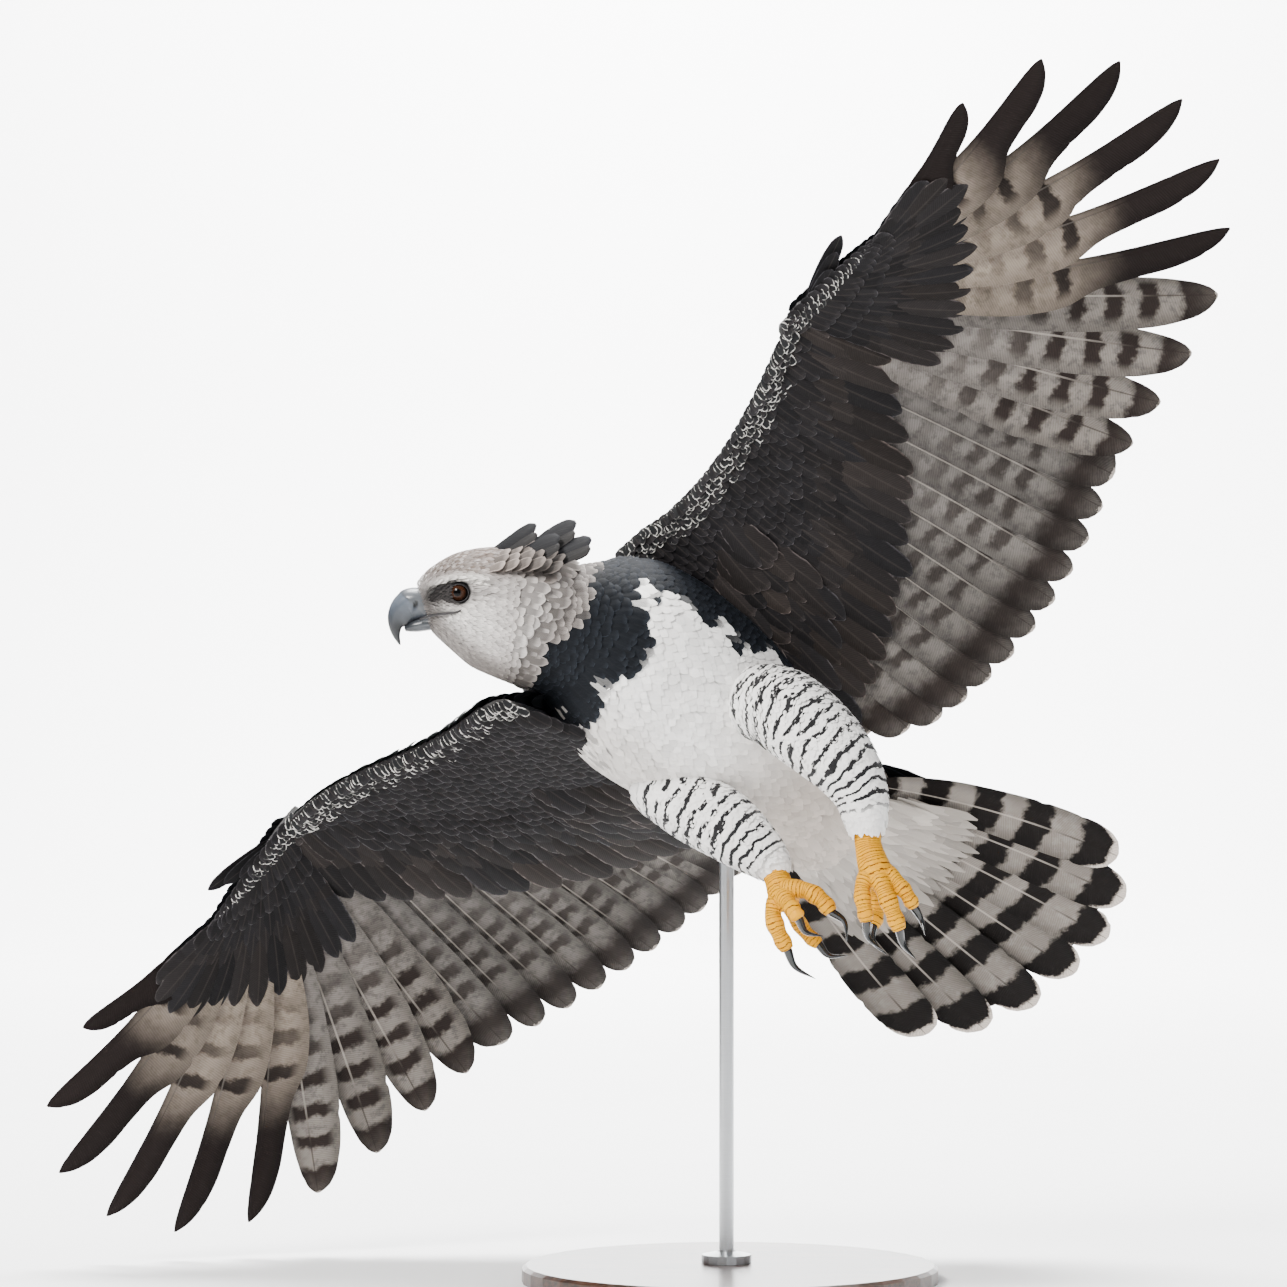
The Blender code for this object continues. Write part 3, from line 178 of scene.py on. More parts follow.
NECK, ROLL = neck_rings(np.linspace(0.0, 1.0, 5))
RUMP = body_rings(RUMP_STATIONS) + BODY_AXES[1] * RUMP_SHIFT
TRUNK = np.concatenate([body_rings(TORSO_STATIONS), RUMP])
TRUNK = np.concatenate([NECK[:-1], np.roll(TRUNK, ROLL, axis=1)])
HEAD = np.concatenate([head_rings(), NECK[1:3]])
print("trunk rings", TRUNK.shape, "head rings", HEAD.shape)

# %% [markdown]
# One function reads any point of such a ringed surface. Along the rings it is the cubic above.
# Around a ring it is the smoothest wave through the ring's points, so no facet shows.

# %% Points of a ringed surface
def on_rings(rings, u, v):
    """Sum over a ring's S points of a wave weight, sin(S x / 2) / (S tan(x / 2)), x the angle apart."""
    u, v = np.broadcast_arrays(np.asarray(u, float), np.asarray(v, float))
    count = rings.shape[1]
    rows = bend(rings, u.ravel()).reshape(-1, count, 3)
    x = 2 * np.pi * (v.ravel()[:, None] - (np.arange(count) / count)[None, :])
    near = np.abs(np.sin(x / 2)) < 1e-7
    weight = np.where(near, 1.0, np.sin(count * x / 2) / (count * np.tan(np.where(near, 1.0, x / 2))))
    return np.einsum("ij,ijk->ik", weight, rows).reshape(u.shape + (3,))


def on_skin(rings, u, v, out=1.0):
    """Point and outward direction: the cross product of the surface's two slopes."""
    e = 1e-3
    p = on_rings(rings, u, v)
    du = on_rings(rings, np.asarray(u) + e, v) - on_rings(rings, np.asarray(u) - e, v)
    dv = on_rings(rings, u, np.asarray(v) + e) - on_rings(rings, u, np.asarray(v) - e)
    return p, unit(np.cross(du, dv)) * out, du / (2 * e)


def outwards(rings):
    """Sign that turns the slopes' cross product away from the rings' middle line."""
    p, n, _ = on_skin(rings, np.array([0.5]), np.array([0.1]))
    return 1.0 if np.sum(n * (p - bend(rings, [0.5]).mean(axis=1))) > 0 else -1.0


# %% [markdown]
# A mesh is filled from whole arrays. Each piece also gets the attributes its material reads: a
# tint for the markings and, for feathers, how far a point is from the tip and across the vane.

# %% Meshes from arrays
def settle(thing, replaced):
    """Links a finished piece, hangs it from the root and hides the solids it replaces."""
    bpy.context.scene.collection.objects.link(thing)
    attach(thing, "root")
    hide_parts(*replaced)
    return thing


def add_layer(mesh, name, values):
    """A colour of four numbers, or a vector of three, at every point."""
    values = np.ascontiguousarray(values, dtype=np.float32)
    kind, key = ("FLOAT_COLOR", "color") if values.shape[-1] == 4 else ("FLOAT_VECTOR", "vector")
    mesh.attributes.new(name, kind, "POINT").data.foreach_set(key, values.ravel())


def mesh_object(name, points, polygons, material, slot, replaced, bake=None, **layers):
    """New object from points and lists of equal sided polygon arrays, with its attributes and bake map."""
    mesh = bpy.data.meshes.new(name)
    points = np.ascontiguousarray(points, dtype=np.float32).reshape(-1, 3)
    polygons = [np.asarray(p, np.int32) for p in polygons if len(p)]
    loops = np.concatenate([p.ravel() for p in polygons])
    totals = np.concatenate([np.full(len(p), p.shape[1], np.int32) for p in polygons])
    mesh.vertices.add(len(points))
    mesh.vertices.foreach_set("co", points.ravel())
    mesh.loops.add(len(loops))
    mesh.loops.foreach_set("vertex_index", loops)
    mesh.polygons.add(len(totals))
    mesh.polygons.foreach_set("loop_start", np.concatenate([[0], np.cumsum(totals)[:-1]]).astype(np.int32))
    mesh.polygons.foreach_set("use_smooth", np.ones(len(totals), bool))
    for key, values in layers.items():
        add_layer(mesh, key, values)
    if bake is not None:
        layer = mesh.uv_layers.new(name="OFBake")
        layer.uv.foreach_set("vector", np.ascontiguousarray(bake, dtype=np.float32)[loops].ravel())
    mesh.update(calc_edges=True)
    mesh.validate()
    mesh.materials.append(material)
    return settle(bpy.data.objects.new(name, mesh), replaced)


def ring_faces(rows, sides, start=0):
    """Quads between neighbouring rings and the two end caps, as point numbers."""
    i, j = np.meshgrid(np.arange(rows - 1), np.arange(sides), indexing="ij")
    k = (j + 1) % sides
    quads = np.stack([i * sides + j, i * sides + k, (i + 1) * sides + k, (i + 1) * sides + j], axis=-1)
    caps = np.stack([np.arange(sides)[::-1], (rows - 1) * sides + np.arange(sides)])
    return quads.reshape(-1, 4) + start, caps + start


def rgba(colour):
    """Colours with a full fourth channel."""
    colour = np.asarray(colour, float)
    return np.concatenate([colour, np.ones(colour.shape[:-1] + (1,))], axis=-1)


def paint(hexes):
    """Linear colour of an sRGB hex value: c / 12.92 when dark, else ((c + 0.055) / 1.055) to the 2.4."""
    value = np.array([int(hexes[i:i + 2], 16) / 255 for i in (1, 3, 5)])
    return np.where(value <= 0.04045, value / 12.92, ((value + 0.055) / 1.055)**2.4)


# %% [markdown]
# A vane is a leaf with two faces. Its outline gives the widths on either side of the shaft, and a
# whole coat of thousands is one array, so each feather costs a few dozen faces and no loop.

# %% Feathers as arrays of leaves
ROUND = np.array([(s, w, w) for s, w in ((0.0, 0.4), (0.3, 0.85), (0.62, 1.0), (0.84, 0.86), (0.95, 0.52),
                                         (1.0, 0.12))])


def vanes(root, along, across, up, length, out, into, outline, lift=0.0, sweep=0.0, curl=0.0, cup=0.0,
          tilt=0.0, thick=0.0006, shaft=0.0, columns=(-1.0, 0.0, 1.0), ragged=0.0):
    """Points (feather, row, ring place, 3) and their vane values (m from tip, share across, random).

    Shaft point = root + along * length * s + (up * lift + across * sweep) * 4s(1-s) - up * curl * s*s.
    A point at share t across lies out from the shaft by the width there, and cup lets the rims hang.
    """
    n = len(root)
    full = lambda x: np.broadcast_to(np.asarray(x, float), (n,))[:, None]
    s = outline[:, 0][None, :]
    length, lift, sweep, curl, cup = full(length), full(lift), full(sweep), full(curl), full(cup)
    lean = np.radians(full(tilt))[..., None]
    side = across[:, None] * np.cos(lean) + up[:, None] * np.sin(lean)
    top = up[:, None] * np.cos(lean) - across[:, None] * np.sin(lean)
    rise = 4 * s * (1 - s)
    line = (root[:, None] + along[:, None] * (length * s)[..., None]
            + across[:, None] * (sweep * rise)[..., None]
            + up[:, None] * (lift * rise - curl * s * s)[..., None])
    t = np.asarray(columns, float)
    width = np.where(t[None, None] > 0, full(out)[..., None] * outline[None, :, 1:2],
                     full(into)[..., None] * outline[None, :, 2:3]) * np.abs(t)
    if ragged:
        width = width * (1 - ragged * rng.random(width.shape) * np.abs(t) * (s > 0.25)[..., None])
    offset = side[:, :, None] * (width * np.sign(t))[..., None]
    hang = (cup[..., None] * width * np.abs(t))[..., None]
    body = line[:, :, None] + offset - top[:, :, None] * hang
    half = thick / 2 * (1 - t * t) + shaft * np.exp(-(t / 0.05)**2)
    half = half[None, None, :, None] * (1 - 0.75 * s)[..., None, None]
    over, under = body + top[:, :, None] * half, body - top[:, :, None] * half
    points = np.concatenate([over, under[:, :, -2:0:-1]], axis=2)
    tt = np.concatenate([t, t[-2:0:-1]])
    rows, ring = len(outline), len(tt)
    value = np.empty((n, rows, ring, 3))
    value[..., 0] = (length * (1 - s))[..., None]
    value[..., 1] = tt
    value[..., 2] = rng.random(n)[:, None, None]
    return points, value


def vane_faces(points):
    """Quads and end caps of closed leaves; a leaf whose slopes' cross product points down is turned over."""
    n, rows, ring, _ = points.shape
    quads, caps = ring_faces(rows, ring)
    first = (np.arange(n) * rows * ring)[:, None, None]
    quads, caps = quads[None] + first, caps[None] + first
    row, middle = rows // 2, ring // 4
    thick = points[:, row, middle] - points[:, row, (ring - middle) % ring]
    side = points[:, row, middle + 1] - points[:, row, middle]
    ahead = points[:, row + 1, middle] - points[:, row, middle]
    over = (np.sum(thick * np.cross(side, ahead), axis=1) < 0)[:, None, None]
    quads, caps = np.where(over, quads[..., ::-1], quads), np.where(over, caps[..., ::-1], caps)
    return quads.reshape(-1, 4), caps.reshape(-1, ring)


def feather_piece(name, points, value, tint, material, replaced, slot, place=None, **more):
    """One object from leaves; its bake map gives each a small patch at its place on the body's unwrap."""
    n, rows, ring, _ = points.shape
    quads, caps = vane_faces(points)
    if place is None:
        lane = 1.0 / n
        u = (np.arange(n)[:, None, None] + 0.5 + 0.45 * value[..., 1]) * lane
        v = np.broadcast_to((0.01 + 0.98 * np.arange(rows) / (rows - 1))[None, :, None], u.shape)
        bake = np.stack([u, v], axis=-1)
    else:
        local = np.stack([0.0015 * (1 + value[..., 1]),
                          np.broadcast_to((0.003 * np.arange(rows) / (rows - 1))[None, :, None],
                                          value[..., 1].shape)], axis=-1)
        bake = 0.01 + 0.975 * np.mod(place, 1.0)[:, None, None, :] + local
    if tint.ndim == 2:
        tint = np.broadcast_to(tint[:, None, None], points.shape)
    thing = mesh_object(name, points, [quads, caps], material, slot, replaced,
                        tint=rgba(tint).reshape(-1, 4), vane=value.reshape(-1, 3), bake=bake.reshape(-1, 2),
                        **more)
    thing.data.set_sharp_from_angle(angle=np.radians(70.0))
    print(name, n, "feathers", len(quads) * 2 + len(caps) * (ring - 2), "triangles")
    return thing


def row_places(row):
    """Bake place of each leaf: its share along its own row, and its row's share of all the rows."""
    row = np.asarray(row, int)
    order = np.arange(len(row)) - np.searchsorted(row, row)
    return np.stack([(order + 0.5) / np.bincount(row)[row], (row + 0.5) / (row.max() + 1)], axis=1)


# %% [markdown]
# Feathers are keratin: soft, matte, with a weak silky sheen, and combed by barbs that leave the
# shaft at a slant. Real barbs are about 0.3 mm apart, so they are drawn 3 mm apart to show.

# %% Feather materials
FIRST_SETTINGS = {"Math": ("operation",), "MapRange": ("interpolation_type",),
                  "Mix": ("data_type", "blend_type"), "TexVoronoi": ("feature",)}


def add_node(tree, kind, *values, output=0, **settings):
    """Adds one shader node and returns one of its open outputs, by number or by name, or all of them.

    Words after the kind are its first settings, as in "Math MULTIPLY". Values fill the open sockets in
    order: another node's output is linked, a number or a colour is written in, and None changes nothing.
    """
    kind, *words = kind.split()
    node = tree.nodes.new("ShaderNode" + kind)
    settings.update(zip(FIRST_SETTINGS.get(kind, ()), words))
    for key, value in settings.items():
        setattr(node, key, value)
    for socket, value in zip([socket for socket in node.inputs if socket.enabled], values):
        if isinstance(value, bpy.types.NodeSocket):
            tree.links.new(value, socket)
        elif value is not None:
            value = paint(value) if isinstance(value, str) else value
            socket.default_value = (*value, 1.0) if socket.type == "RGBA" else value
    found = {socket.name: socket for socket in node.outputs if socket.enabled}
    if output == "all":
        return list(found.values())
    return found[output] if output in found else list(found.values())[output]


def new_material(name, roughness, **constants):
    """Material, its tree's own add_node, and its one Principled shader with the constants written in."""
    material = bpy.data.materials.new(name)
    material.use_nodes = True
    shader = material.node_tree.nodes["Principled BSDF"]
    for key, value in dict(constants, Roughness=roughness).items():
        shader.inputs[key.replace("_", " ")].default_value = value
    return material, partial(add_node, material.node_tree), shader


def connect(shader, **outputs):
    """Links each open output to the shader's socket of that name, written with _ for a space."""
    for key, output in outputs.items():
        shader.id_data.links.new(output, shader.inputs[key.replace("_", " ")])


def tint_and_place(add):
    """The mesh's own tint and the place in metres."""
    return (add("Attribute", attribute_name="tint", output="Color"), add("TexCoord", output="Object"))


def vane_sockets(add):
    """Distance from the tip, share across the vane and the feather's own random number."""
    vane = add("Attribute", attribute_name="vane", output="Vector")
    tip, across, random = add("SeparateXYZ", vane, output="all")
    return tip, add("Math ABSOLUTE", across), random


BARB_GAP, BARB_DEPTH = 0.003, 0.0005


def barbs(add, tip, size, place):
    """Bump from slanting barbs: a wave in the distance from the tip less a share of the distance across."""
    slant = add("Math MULTIPLY_ADD", size, 0.012, tip)
    jitter = add("Math MULTIPLY", add("TexNoise", place, 160.0, 2.0), 5.0)
    phase = add("Math MULTIPLY_ADD", slant, 2 * np.pi / BARB_GAP, jitter)
    wave = add("Math SINE", phase)
    height = add("Math MULTIPLY_ADD", wave, 0.5, 0.5)
    return add("Bump", 0.35, BARB_DEPTH, None, height), height


def feather_material(name, roughness, specular, fringe, fringe_colour, rim_start, tip_rim, root_dark, patchy,
                     shaft, shaft_colour, streak):
    """Body feather: its tint, darker towards the root, a fringe at rim and tip, a shaft line, barb streaks.

    The fringe starts at rim_start of the half width and at tip_rim metres from the tip, and patchy breaks it
    up. Its colour is given, or is the tint times a number.
    """
    material, add, shader = new_material(name, roughness, Specular_IOR_Level=specular)
    tint, place = tint_and_place(add)
    tip, size, random = vane_sockets(add)
    normal, height = barbs(add, tip, size, place)
    shade = add("Math MULTIPLY_ADD", random, 0.24, 0.88)
    combed = add("Math MULTIPLY_ADD", height, streak, 1.0 - streak / 2)
    shade = add("Math MULTIPLY", shade, combed)
    inner = add("MapRange SMOOTHSTEP", tip, tip_rim, tip_rim * 5, 1.0, 1.0 - root_dark)
    shade = add("Math MULTIPLY", shade, inner)
    colour = add("Mix RGBA MULTIPLY", 1.0, tint, shade)
    if isinstance(fringe_colour, float):
        fringe_colour = add("Mix RGBA MULTIPLY", 1.0, tint, np.full(3, fringe_colour))
    side = add("MapRange SMOOTHSTEP", size, rim_start, 1.0)
    end = add("MapRange SMOOTHSTEP", tip, tip_rim, 0.0)
    rim = add("Math MAXIMUM", side, end)
    cloud = add("TexNoise", place, 130.0, 2.0)
    broken = add("MapRange SMOOTHSTEP", cloud, 0.42, 0.56, 1.0 - patchy, 1.0)
    rim = add("Math MULTIPLY", rim, broken)
    rim = add("Math MULTIPLY", rim, fringe)
    colour = add("Mix RGBA", rim, colour, fringe_colour)
    line = add("MapRange SMOOTHSTEP", size, 0.1, 0.02, 0.0, shaft)
    colour = add("Mix RGBA", line, colour, shaft_colour)
    connect(shader, Base_Color=colour, Normal=normal)
    return material


# Columns: roughness, specular, fringe, its colour or factor, rim start, tip rim, root dark, patchy, shaft,
# the shaft's colour, streak.
FINISHES = {
    "white down": (0.9, 0.15, 0.25, 1.12, 0.7, 0.004, 0.06, 0.5, 0.04, "#d8d0c4", 0.05),
    "fine face feather": (0.85, 0.12, 0.4, 1.25, 0.55, 0.0022, 0.4, 0.3, 0.4, "#6b6561", 0.2),
    "grey scalloped feather": (0.8, 0.12, 0.8, 1.45, 0.7, 0.0019, 0.56, 0.2, 0.2, "#5d5854", 0.14),
    "black plume": (0.6, 0.08, 0.55, 3.2, 0.82, 0.0014, 0.45, 0.6, 0.2, "#232427", 0.3),
    "black feather with white edge": (0.6, 0.15, 0.92, "#e3e0da", 0.6, 0.0017, 0.2, 0.9, 0.1, "#111214",
                                      0.15),
    "dark underwing covert": (0.58, 0.08, 0.7, 5.0, 0.84, 0.0016, 0.45, 0.7, 0.3, "#3a3431", 0.32),
    "crest plume": (0.55, 0.15, 0.55, 2.6, 0.84, 0.0026, 0.25, 0.3, 0.45, "#1d1d20", 0.28)}
white_down, fine_face, grey_face, black_plume, lace, underwing, crest_plume = [
    feather_material(name, *row) for name, row in FINISHES.items()]
print("feather materials", len(bpy.data.materials))

# %% [markdown]
# A harpy eagle is white below, with a black collar, black flanks spotted white under the wings, and a
# slate-black back. Skin and feathers ask one function for their colour, so both carry the same marks.

# %% Markings of the body
COLLAR_EDGE = np.array(((-0.13, 0.112), (-0.09, 0.116), (-0.06, 0.108), (-0.035, 0.1065), (-0.018, 0.116),
                        (-0.008, 0.132), (0.015, 0.118), (0.035, 0.109), (0.052, 0.107), (0.072, 0.113),
                        (0.084, 0.13), (0.1, 0.155)))
NECK_EDGE = np.array(((-0.067, -0.03), (-0.047, -0.062), (-0.036, -0.094), (-0.026, -0.112),
                      (-0.012, -0.124), (0.012, -0.132), (0.041, -0.138), (0.08, -0.142)))
# The third colour is painted shade for the white belly.
GREY, DOWN, PAINTED_SHADE = paint("#b0aaa6"), paint("#f4f2ef"), paint("#b5aca3")
BLACK, SLATE = paint("#111214"), paint("#1a1c20")
COLLAR_BLACK, WING_BLACK, NAPE = paint("#1d2025"), paint("#151313"), paint("#8f8883")


def patches(p, size, seed=0.0):
    """Soft blotches: the product of two slow waves in slanted directions, plus half of a third."""
    q = p / size * 2 * np.pi
    return (np.sin(q @ np.array([0.9, 0.4, 0.3]) + seed)
            * np.sin(q @ np.array([-0.3, 0.8, 0.5]) + 1.7 * seed)
            + 0.5 * np.sin(q @ np.array([0.7, -0.9, 0.8]) + 2.3 + seed))


def blend_colours(share, first, second):
    """First colour where the share is 0, second where it is 1."""
    return first * (1 - share[..., None]) + second * share[..., None]


def beside_trunk(q):
    """1 in the wings' roots: outside the torso's half width, read from its stations, but above its belly."""
    wide = np.interp(q[..., 0], (-0.235, -0.1, -0.03, 0.04, 0.105, 0.15, 0.22, 0.26),
                     (0.087, 0.116, 0.13, 0.133, 0.128, 0.11, 0.098, 0.088))
    return step(np.abs(q[..., 1]) - wide, -0.002, 0.006) * step(q[..., 2], -0.075, -0.055)


def trunk_black(p):
    """1 where the trunk is black: the collar, the flanks under the left wing, and the whole back."""
    q = to_body(p)
    f, l, u = q[..., 0], q[..., 1], q[..., 2]
    wobble = 0.8 * patches(p, 0.024)
    edge = np.interp(l, COLLAR_EDGE[:, 0], COLLAR_EDGE[:, 1])
    collar = step(f, edge - 0.002 + 0.003 * wobble, edge + 0.002 + 0.003 * wobble)
    flank = step(u + 0.45 * np.maximum(l - 0.06, 0.0) + 0.022 * patches(p, 0.055, 1.0), -0.02, -0.012)
    back = np.where(l > 0, flank, step(u, 0.018, 0.034)) * step(f, -0.25, -0.235)
    rump = step(-f, 0.2, 0.26) * step(u, -0.006, 0.01)
    return np.maximum(np.maximum(collar, back), rump)


def trunk_colour(p):
    """White below with painted shade towards the vent and the right side, black by trunk_black, grey on the
    neck behind the ruff.
    """
    q, h = to_body(p), in_head(p)
    # Painted shade: the white darkens towards the vent and over the right side, where less light falls.
    low = np.maximum(step(-q[..., 0], -0.02, 0.2), 0.55 * step(-q[..., 1], -0.01, 0.07))
    white = blend_colours(low, DOWN, PAINTED_SHADE)
    colour = blend_colours(trunk_black(p), white, COLLAR_BLACK)
    edge = np.interp(h[..., 2], NECK_EDGE[:, 0], NECK_EDGE[:, 1]) + 0.003 * patches(p, 0.02)
    return blend_colours(step(h[..., 0] - edge, -0.002, 0.002), colour, NAPE)


def in_head(p):
    """Head coordinates of world points."""
    return (np.asarray(p, float) - HEAD_AT) * np.array([-1.0, -1.0, 1.0])


def spot(f, u, at, size):
    """Soft spot in side view: exp(-(way forward / half length)^2 - (way up / half height)^2)."""
    return np.exp(-(((f - at[0]) / size[0])**2 + ((u - at[1]) / size[1])**2))


def head_colour(p):
    """Grey, a mottled brown crown, paler cheek, a pale brow over a dark lore and eye ring, painted shade
    under brow and bill.
    """
    q = in_head(p)
    f, s, u = q[..., 0], np.abs(q[..., 1]), q[..., 2]
    crown = step(u, 0.028, 0.048) * step(-f, -0.084, -0.06)
    mottled = (0.75 + 0.3 * patches(p, 0.009, 2.0)).clip(0.2, 1.0)
    cheek = spot(f, u, (0.012, -0.016), (0.045, 0.03))
    throat = step(-u, 0.046, 0.075)
    behind = step(-f, 0.03, 0.075)
    brow = ridge_height(q) / BROW_HEIGHT
    front = spot(f, u, (0.066, -0.006), (0.02, 0.034))
    # Painted shade along the chin's lower front edge, under the bill.
    chin_painted_shade = step(0.64 * f - 0.77 * u, 0.02, 0.046)
    lore = spot(f, u, (0.05, 0.016), (0.018, 0.012))
    # Painted shadow in a band under the brow ridge, over the eye.
    brow_painted_shadow = spot(f, u + 0.1 * (f - 0.034), (0.034, 0.0282), (0.02, 0.0036))
    eye_ring = np.exp(-((eye_distance(p) - 0.012) / 0.004)**2)
    streak = spot(f, u - 0.1 * f, (-0.008, 0.02), (0.026, 0.0045))
    dark = np.clip(1.1 * lore + 1.1 * brow_painted_shadow + eye_ring + 0.4 * streak, 0.0, 0.96)
    dark = dark * step(s, 0.008, 0.018)
    colour = GREY
    for share, hexes in ((crown * mottled, "#655a53"), (cheek * 0.75, "#dedad5"), (throat * 0.55, "#8e8780"),
                         (behind * 0.35, "#9b938d"), (brow * 0.95, "#f0ebe4"), (front * 0.9, "#524f4e"),
                         (chin_painted_shade * 0.8, "#69635f"), (dark, "#171516")):
        colour = blend_colours(share, colour, paint(hexes))
    return colour * (1 + 0.13 * patches(p, 0.013) + 0.1 * patches(p, 0.006, 3.0))[..., None]


def neck_share(p):
    """0 at the head's last ring and 1 at the torso's first, measured along the line between them."""
    start, end = NECK[0].mean(axis=0), NECK[-1].mean(axis=0)
    return np.sum((p - start) * (end - start), axis=-1) / np.sum((end - start)**2)


print("collar edge", COLLAR_EDGE.tolist())

# %% [markdown]
# The head is more than its rings: a ridge of bone and feather shades the eye, the lores dip in front of
# it, and the eye sits in a hollow. Each is a bump or a dent that fades with the square of the distance.

# %% The head's modelled surface
RIDGE = np.array(((0.056, 0.0235), (0.042, 0.0315), (0.024, 0.0352), (0.006, 0.035), (-0.01, 0.0315)))
BROW_HEIGHT = 0.008


def ridge_height(q):
    """Height added along the brow: 8 mm * exp(-(distance / 5 mm)^2), the distance halved below the line."""
    line = bend(RIDGE, np.linspace(0.0, 1.0, 24))
    rise = q[..., None, 2] - line[:, 1]
    apart = np.hypot(q[..., None, 0] - line[:, 0], np.where(rise < 0, 1.9, 1.0) * rise).min(axis=-1)
    side = np.abs(q[..., 1])
    return BROW_HEIGHT * np.exp(-(apart / 0.0052)**2) * step(side, 0.012, 0.026)


def head_relief(p):
    """Brow ridge less the lores' dip, and full cheek less the mouth's crease, in metres outwards."""
    q = in_head(p)
    f, side, u = q[..., 0], np.abs(q[..., 1]), q[..., 2]
    lore = 0.0035 * spot(f, u, (0.05, 0.013), (0.012, 0.01)) * step(side, 0.01, 0.022)
    cheek = 0.003 * spot(f, u, (0.012, -0.022), (0.02, 0.016)) * step(side, 0.01, 0.03)
    mouth = 0.0022 * np.exp(-((u + 0.004 - 0.16 * (0.04 - f)) / 0.0022)**2) * step(f, 0.014, 0.03)
    return ridge_height(q) - lore + cheek - mouth


def eye_distance(p):
    """Distance of points from the line through both eyes' centres."""
    q = in_head(p)
    return np.hypot(q[..., 0] - EYE_AT[0], q[..., 2] - EYE_AT[1])


def head_place(u, v):
    """Modelled head surface: ringed surface plus relief along its outward direction."""
    p, n, du = on_skin(HEAD, u, v, HEAD_OUT)
    return p + n * head_relief(p)[..., None], n, du


HEAD_OUT, TRUNK_OUT = outwards(HEAD), outwards(TRUNK)
print("outward signs", HEAD_OUT, TRUNK_OUT)

# %% [markdown]
# A wing is a fan of quills. Ten primaries leave the hand and ten secondaries the forearm, at angles and
# lengths that change smoothly from one to the next, so each is a polynomial of its place in the row.

# %% Quills of the wings and the tail
HAND_LENGTH, LONGEST = 0.135, 0.46
PRIMARY_LENGTH = (0.4125, -0.0093, 0.62, -0.8081)
PRIMARY_ANGLE = (72.67, -61.4, -53.2, 26.27)
SECONDARY_LENGTH = (0.4088, -0.0082, -0.1391)
WING_POSES = {"left": dict(side=1.0, wrist=(0.183, 0.454, 0.048), inner=(0.001, 0.17, 0.028), droop=-13.0,
                           twist=-6.7, sweep=-1.7, spread=0.966, inner_angle=91.0, inner_twist=-15.9,
                           first_turn=0.6, edge=((0.146, 0.12), (0.203, 0.456)), dip=(0.022, 0.0)),
              "right": dict(side=-1.0, wrist=(0.226, 0.454, 0.067), inner=(-0.036, 0.17, 0.031), droop=-16.8,
                            twist=5.1, sweep=-1.8, spread=1.032, inner_angle=90.1, inner_twist=19.8,
                            first_turn=-0.9, edge=((0.226, 0.12), (0.241, 0.456)), dip=(0.009, 0.01))}
PRIMARY_LIFT, SECONDARY_LIFT, FINGER_SWEEP, SECONDARY_SWEEP = -0.004, 0.006, -0.018, 0.004
HAND_LOUVRE, ARM_LOUVRE = 9.0, 7.0
TAIL_ROOT, TAIL_LENGTH = np.array([-0.215, -0.017, 0.008]), 0.434
TAIL_FALL, TAIL_SPREAD, TAIL_YAW, TAIL_DROOP, TAIL_ROLL = 0.095, 27.5, 2.9, 1.4, -11.9
TAIL_BOW, TAIL_STEP, TAIL_SIDE, TAIL_SWEEP, TAIL_FOLD = 0.006, 0.005, 0.056, 0.012, 0.028


def polynomial(factors, x):
    """Sum of each factor times x to its power, lowest power first."""
    return sum(factor * x**power for power, factor in enumerate(factors))


def hand_matrix(pose):
    """Droop about the body, then sweep, then twist."""
    return turn(0, pose["droop"]) @ turn(2, pose["sweep"]) @ turn(1, pose["twist"])


def primary_quills(pose, x):
    """Rows of root, direction, leading side, upper side and length; x runs 0 to 1 out along the hand."""
    x = np.asarray(x, float)
    mean = polynomial(PRIMARY_ANGLE, np.linspace(0.0, 1.0, 10)).mean()
    a = np.radians(mean + (polynomial(PRIMARY_ANGLE, x) - mean) * pose["spread"])
    m, zero = hand_matrix(pose), np.zeros_like(x)
    root = np.asarray(pose["wrist"]) + np.stack([zero, HAND_LENGTH * (0.06 + 0.94 * x), zero], axis=1) @ m.T
    along = np.stack([-np.sin(a), np.cos(a), zero], axis=1) @ m.T
    across = np.stack([np.cos(a), np.sin(a), zero], axis=1) @ m.T
    return root, along, across, np.cross(across, along), polynomial(PRIMARY_LENGTH, x)


def secondary_quills(pose, u):
    """The same for the forearm; u runs 0 at the wrist to 1 at the body."""
    u = np.asarray(u, float)
    wrist, inner = np.asarray(pose["wrist"]), np.asarray(pose["inner"])
    mean = polynomial(PRIMARY_ANGLE, np.linspace(0.0, 1.0, 10)).mean()
    start = mean + (PRIMARY_ANGLE[0] - mean) * pose["spread"] - pose["sweep"] + pose["first_turn"]
    a = np.radians(start + (pose["inner_angle"] - start) * u)
    twist = np.radians(pose["twist"] + (pose["inner_twist"] - pose["twist"]) * u)
    droop = np.radians(pose["droop"] * (1 - u)**2)
    along = unit(np.stack([-np.sin(a) * np.cos(twist), np.cos(a) * np.cos(droop),
                           np.sin(a) * np.sin(twist) + np.cos(a) * np.sin(droop)], axis=1))
    across = unit(np.array([0.0, 1.0, 0.0]) - along * along[:, 1:2])
    root = wrist + (inner - wrist) * u[:, None]
    return root, along, across, np.cross(across, along), polynomial(SECONDARY_LENGTH, u)


def placed(pose, quills):
    """Left side quills in body points, mirrored for the right side and put in the world."""
    mirror = np.array([1.0, pose["side"], 1.0])
    root, along, across, up, length = quills
    return (from_body(root * mirror), (along * mirror) @ BODY_AXES, (across * mirror) @ BODY_AXES,
            (up * mirror) @ BODY_AXES, length)


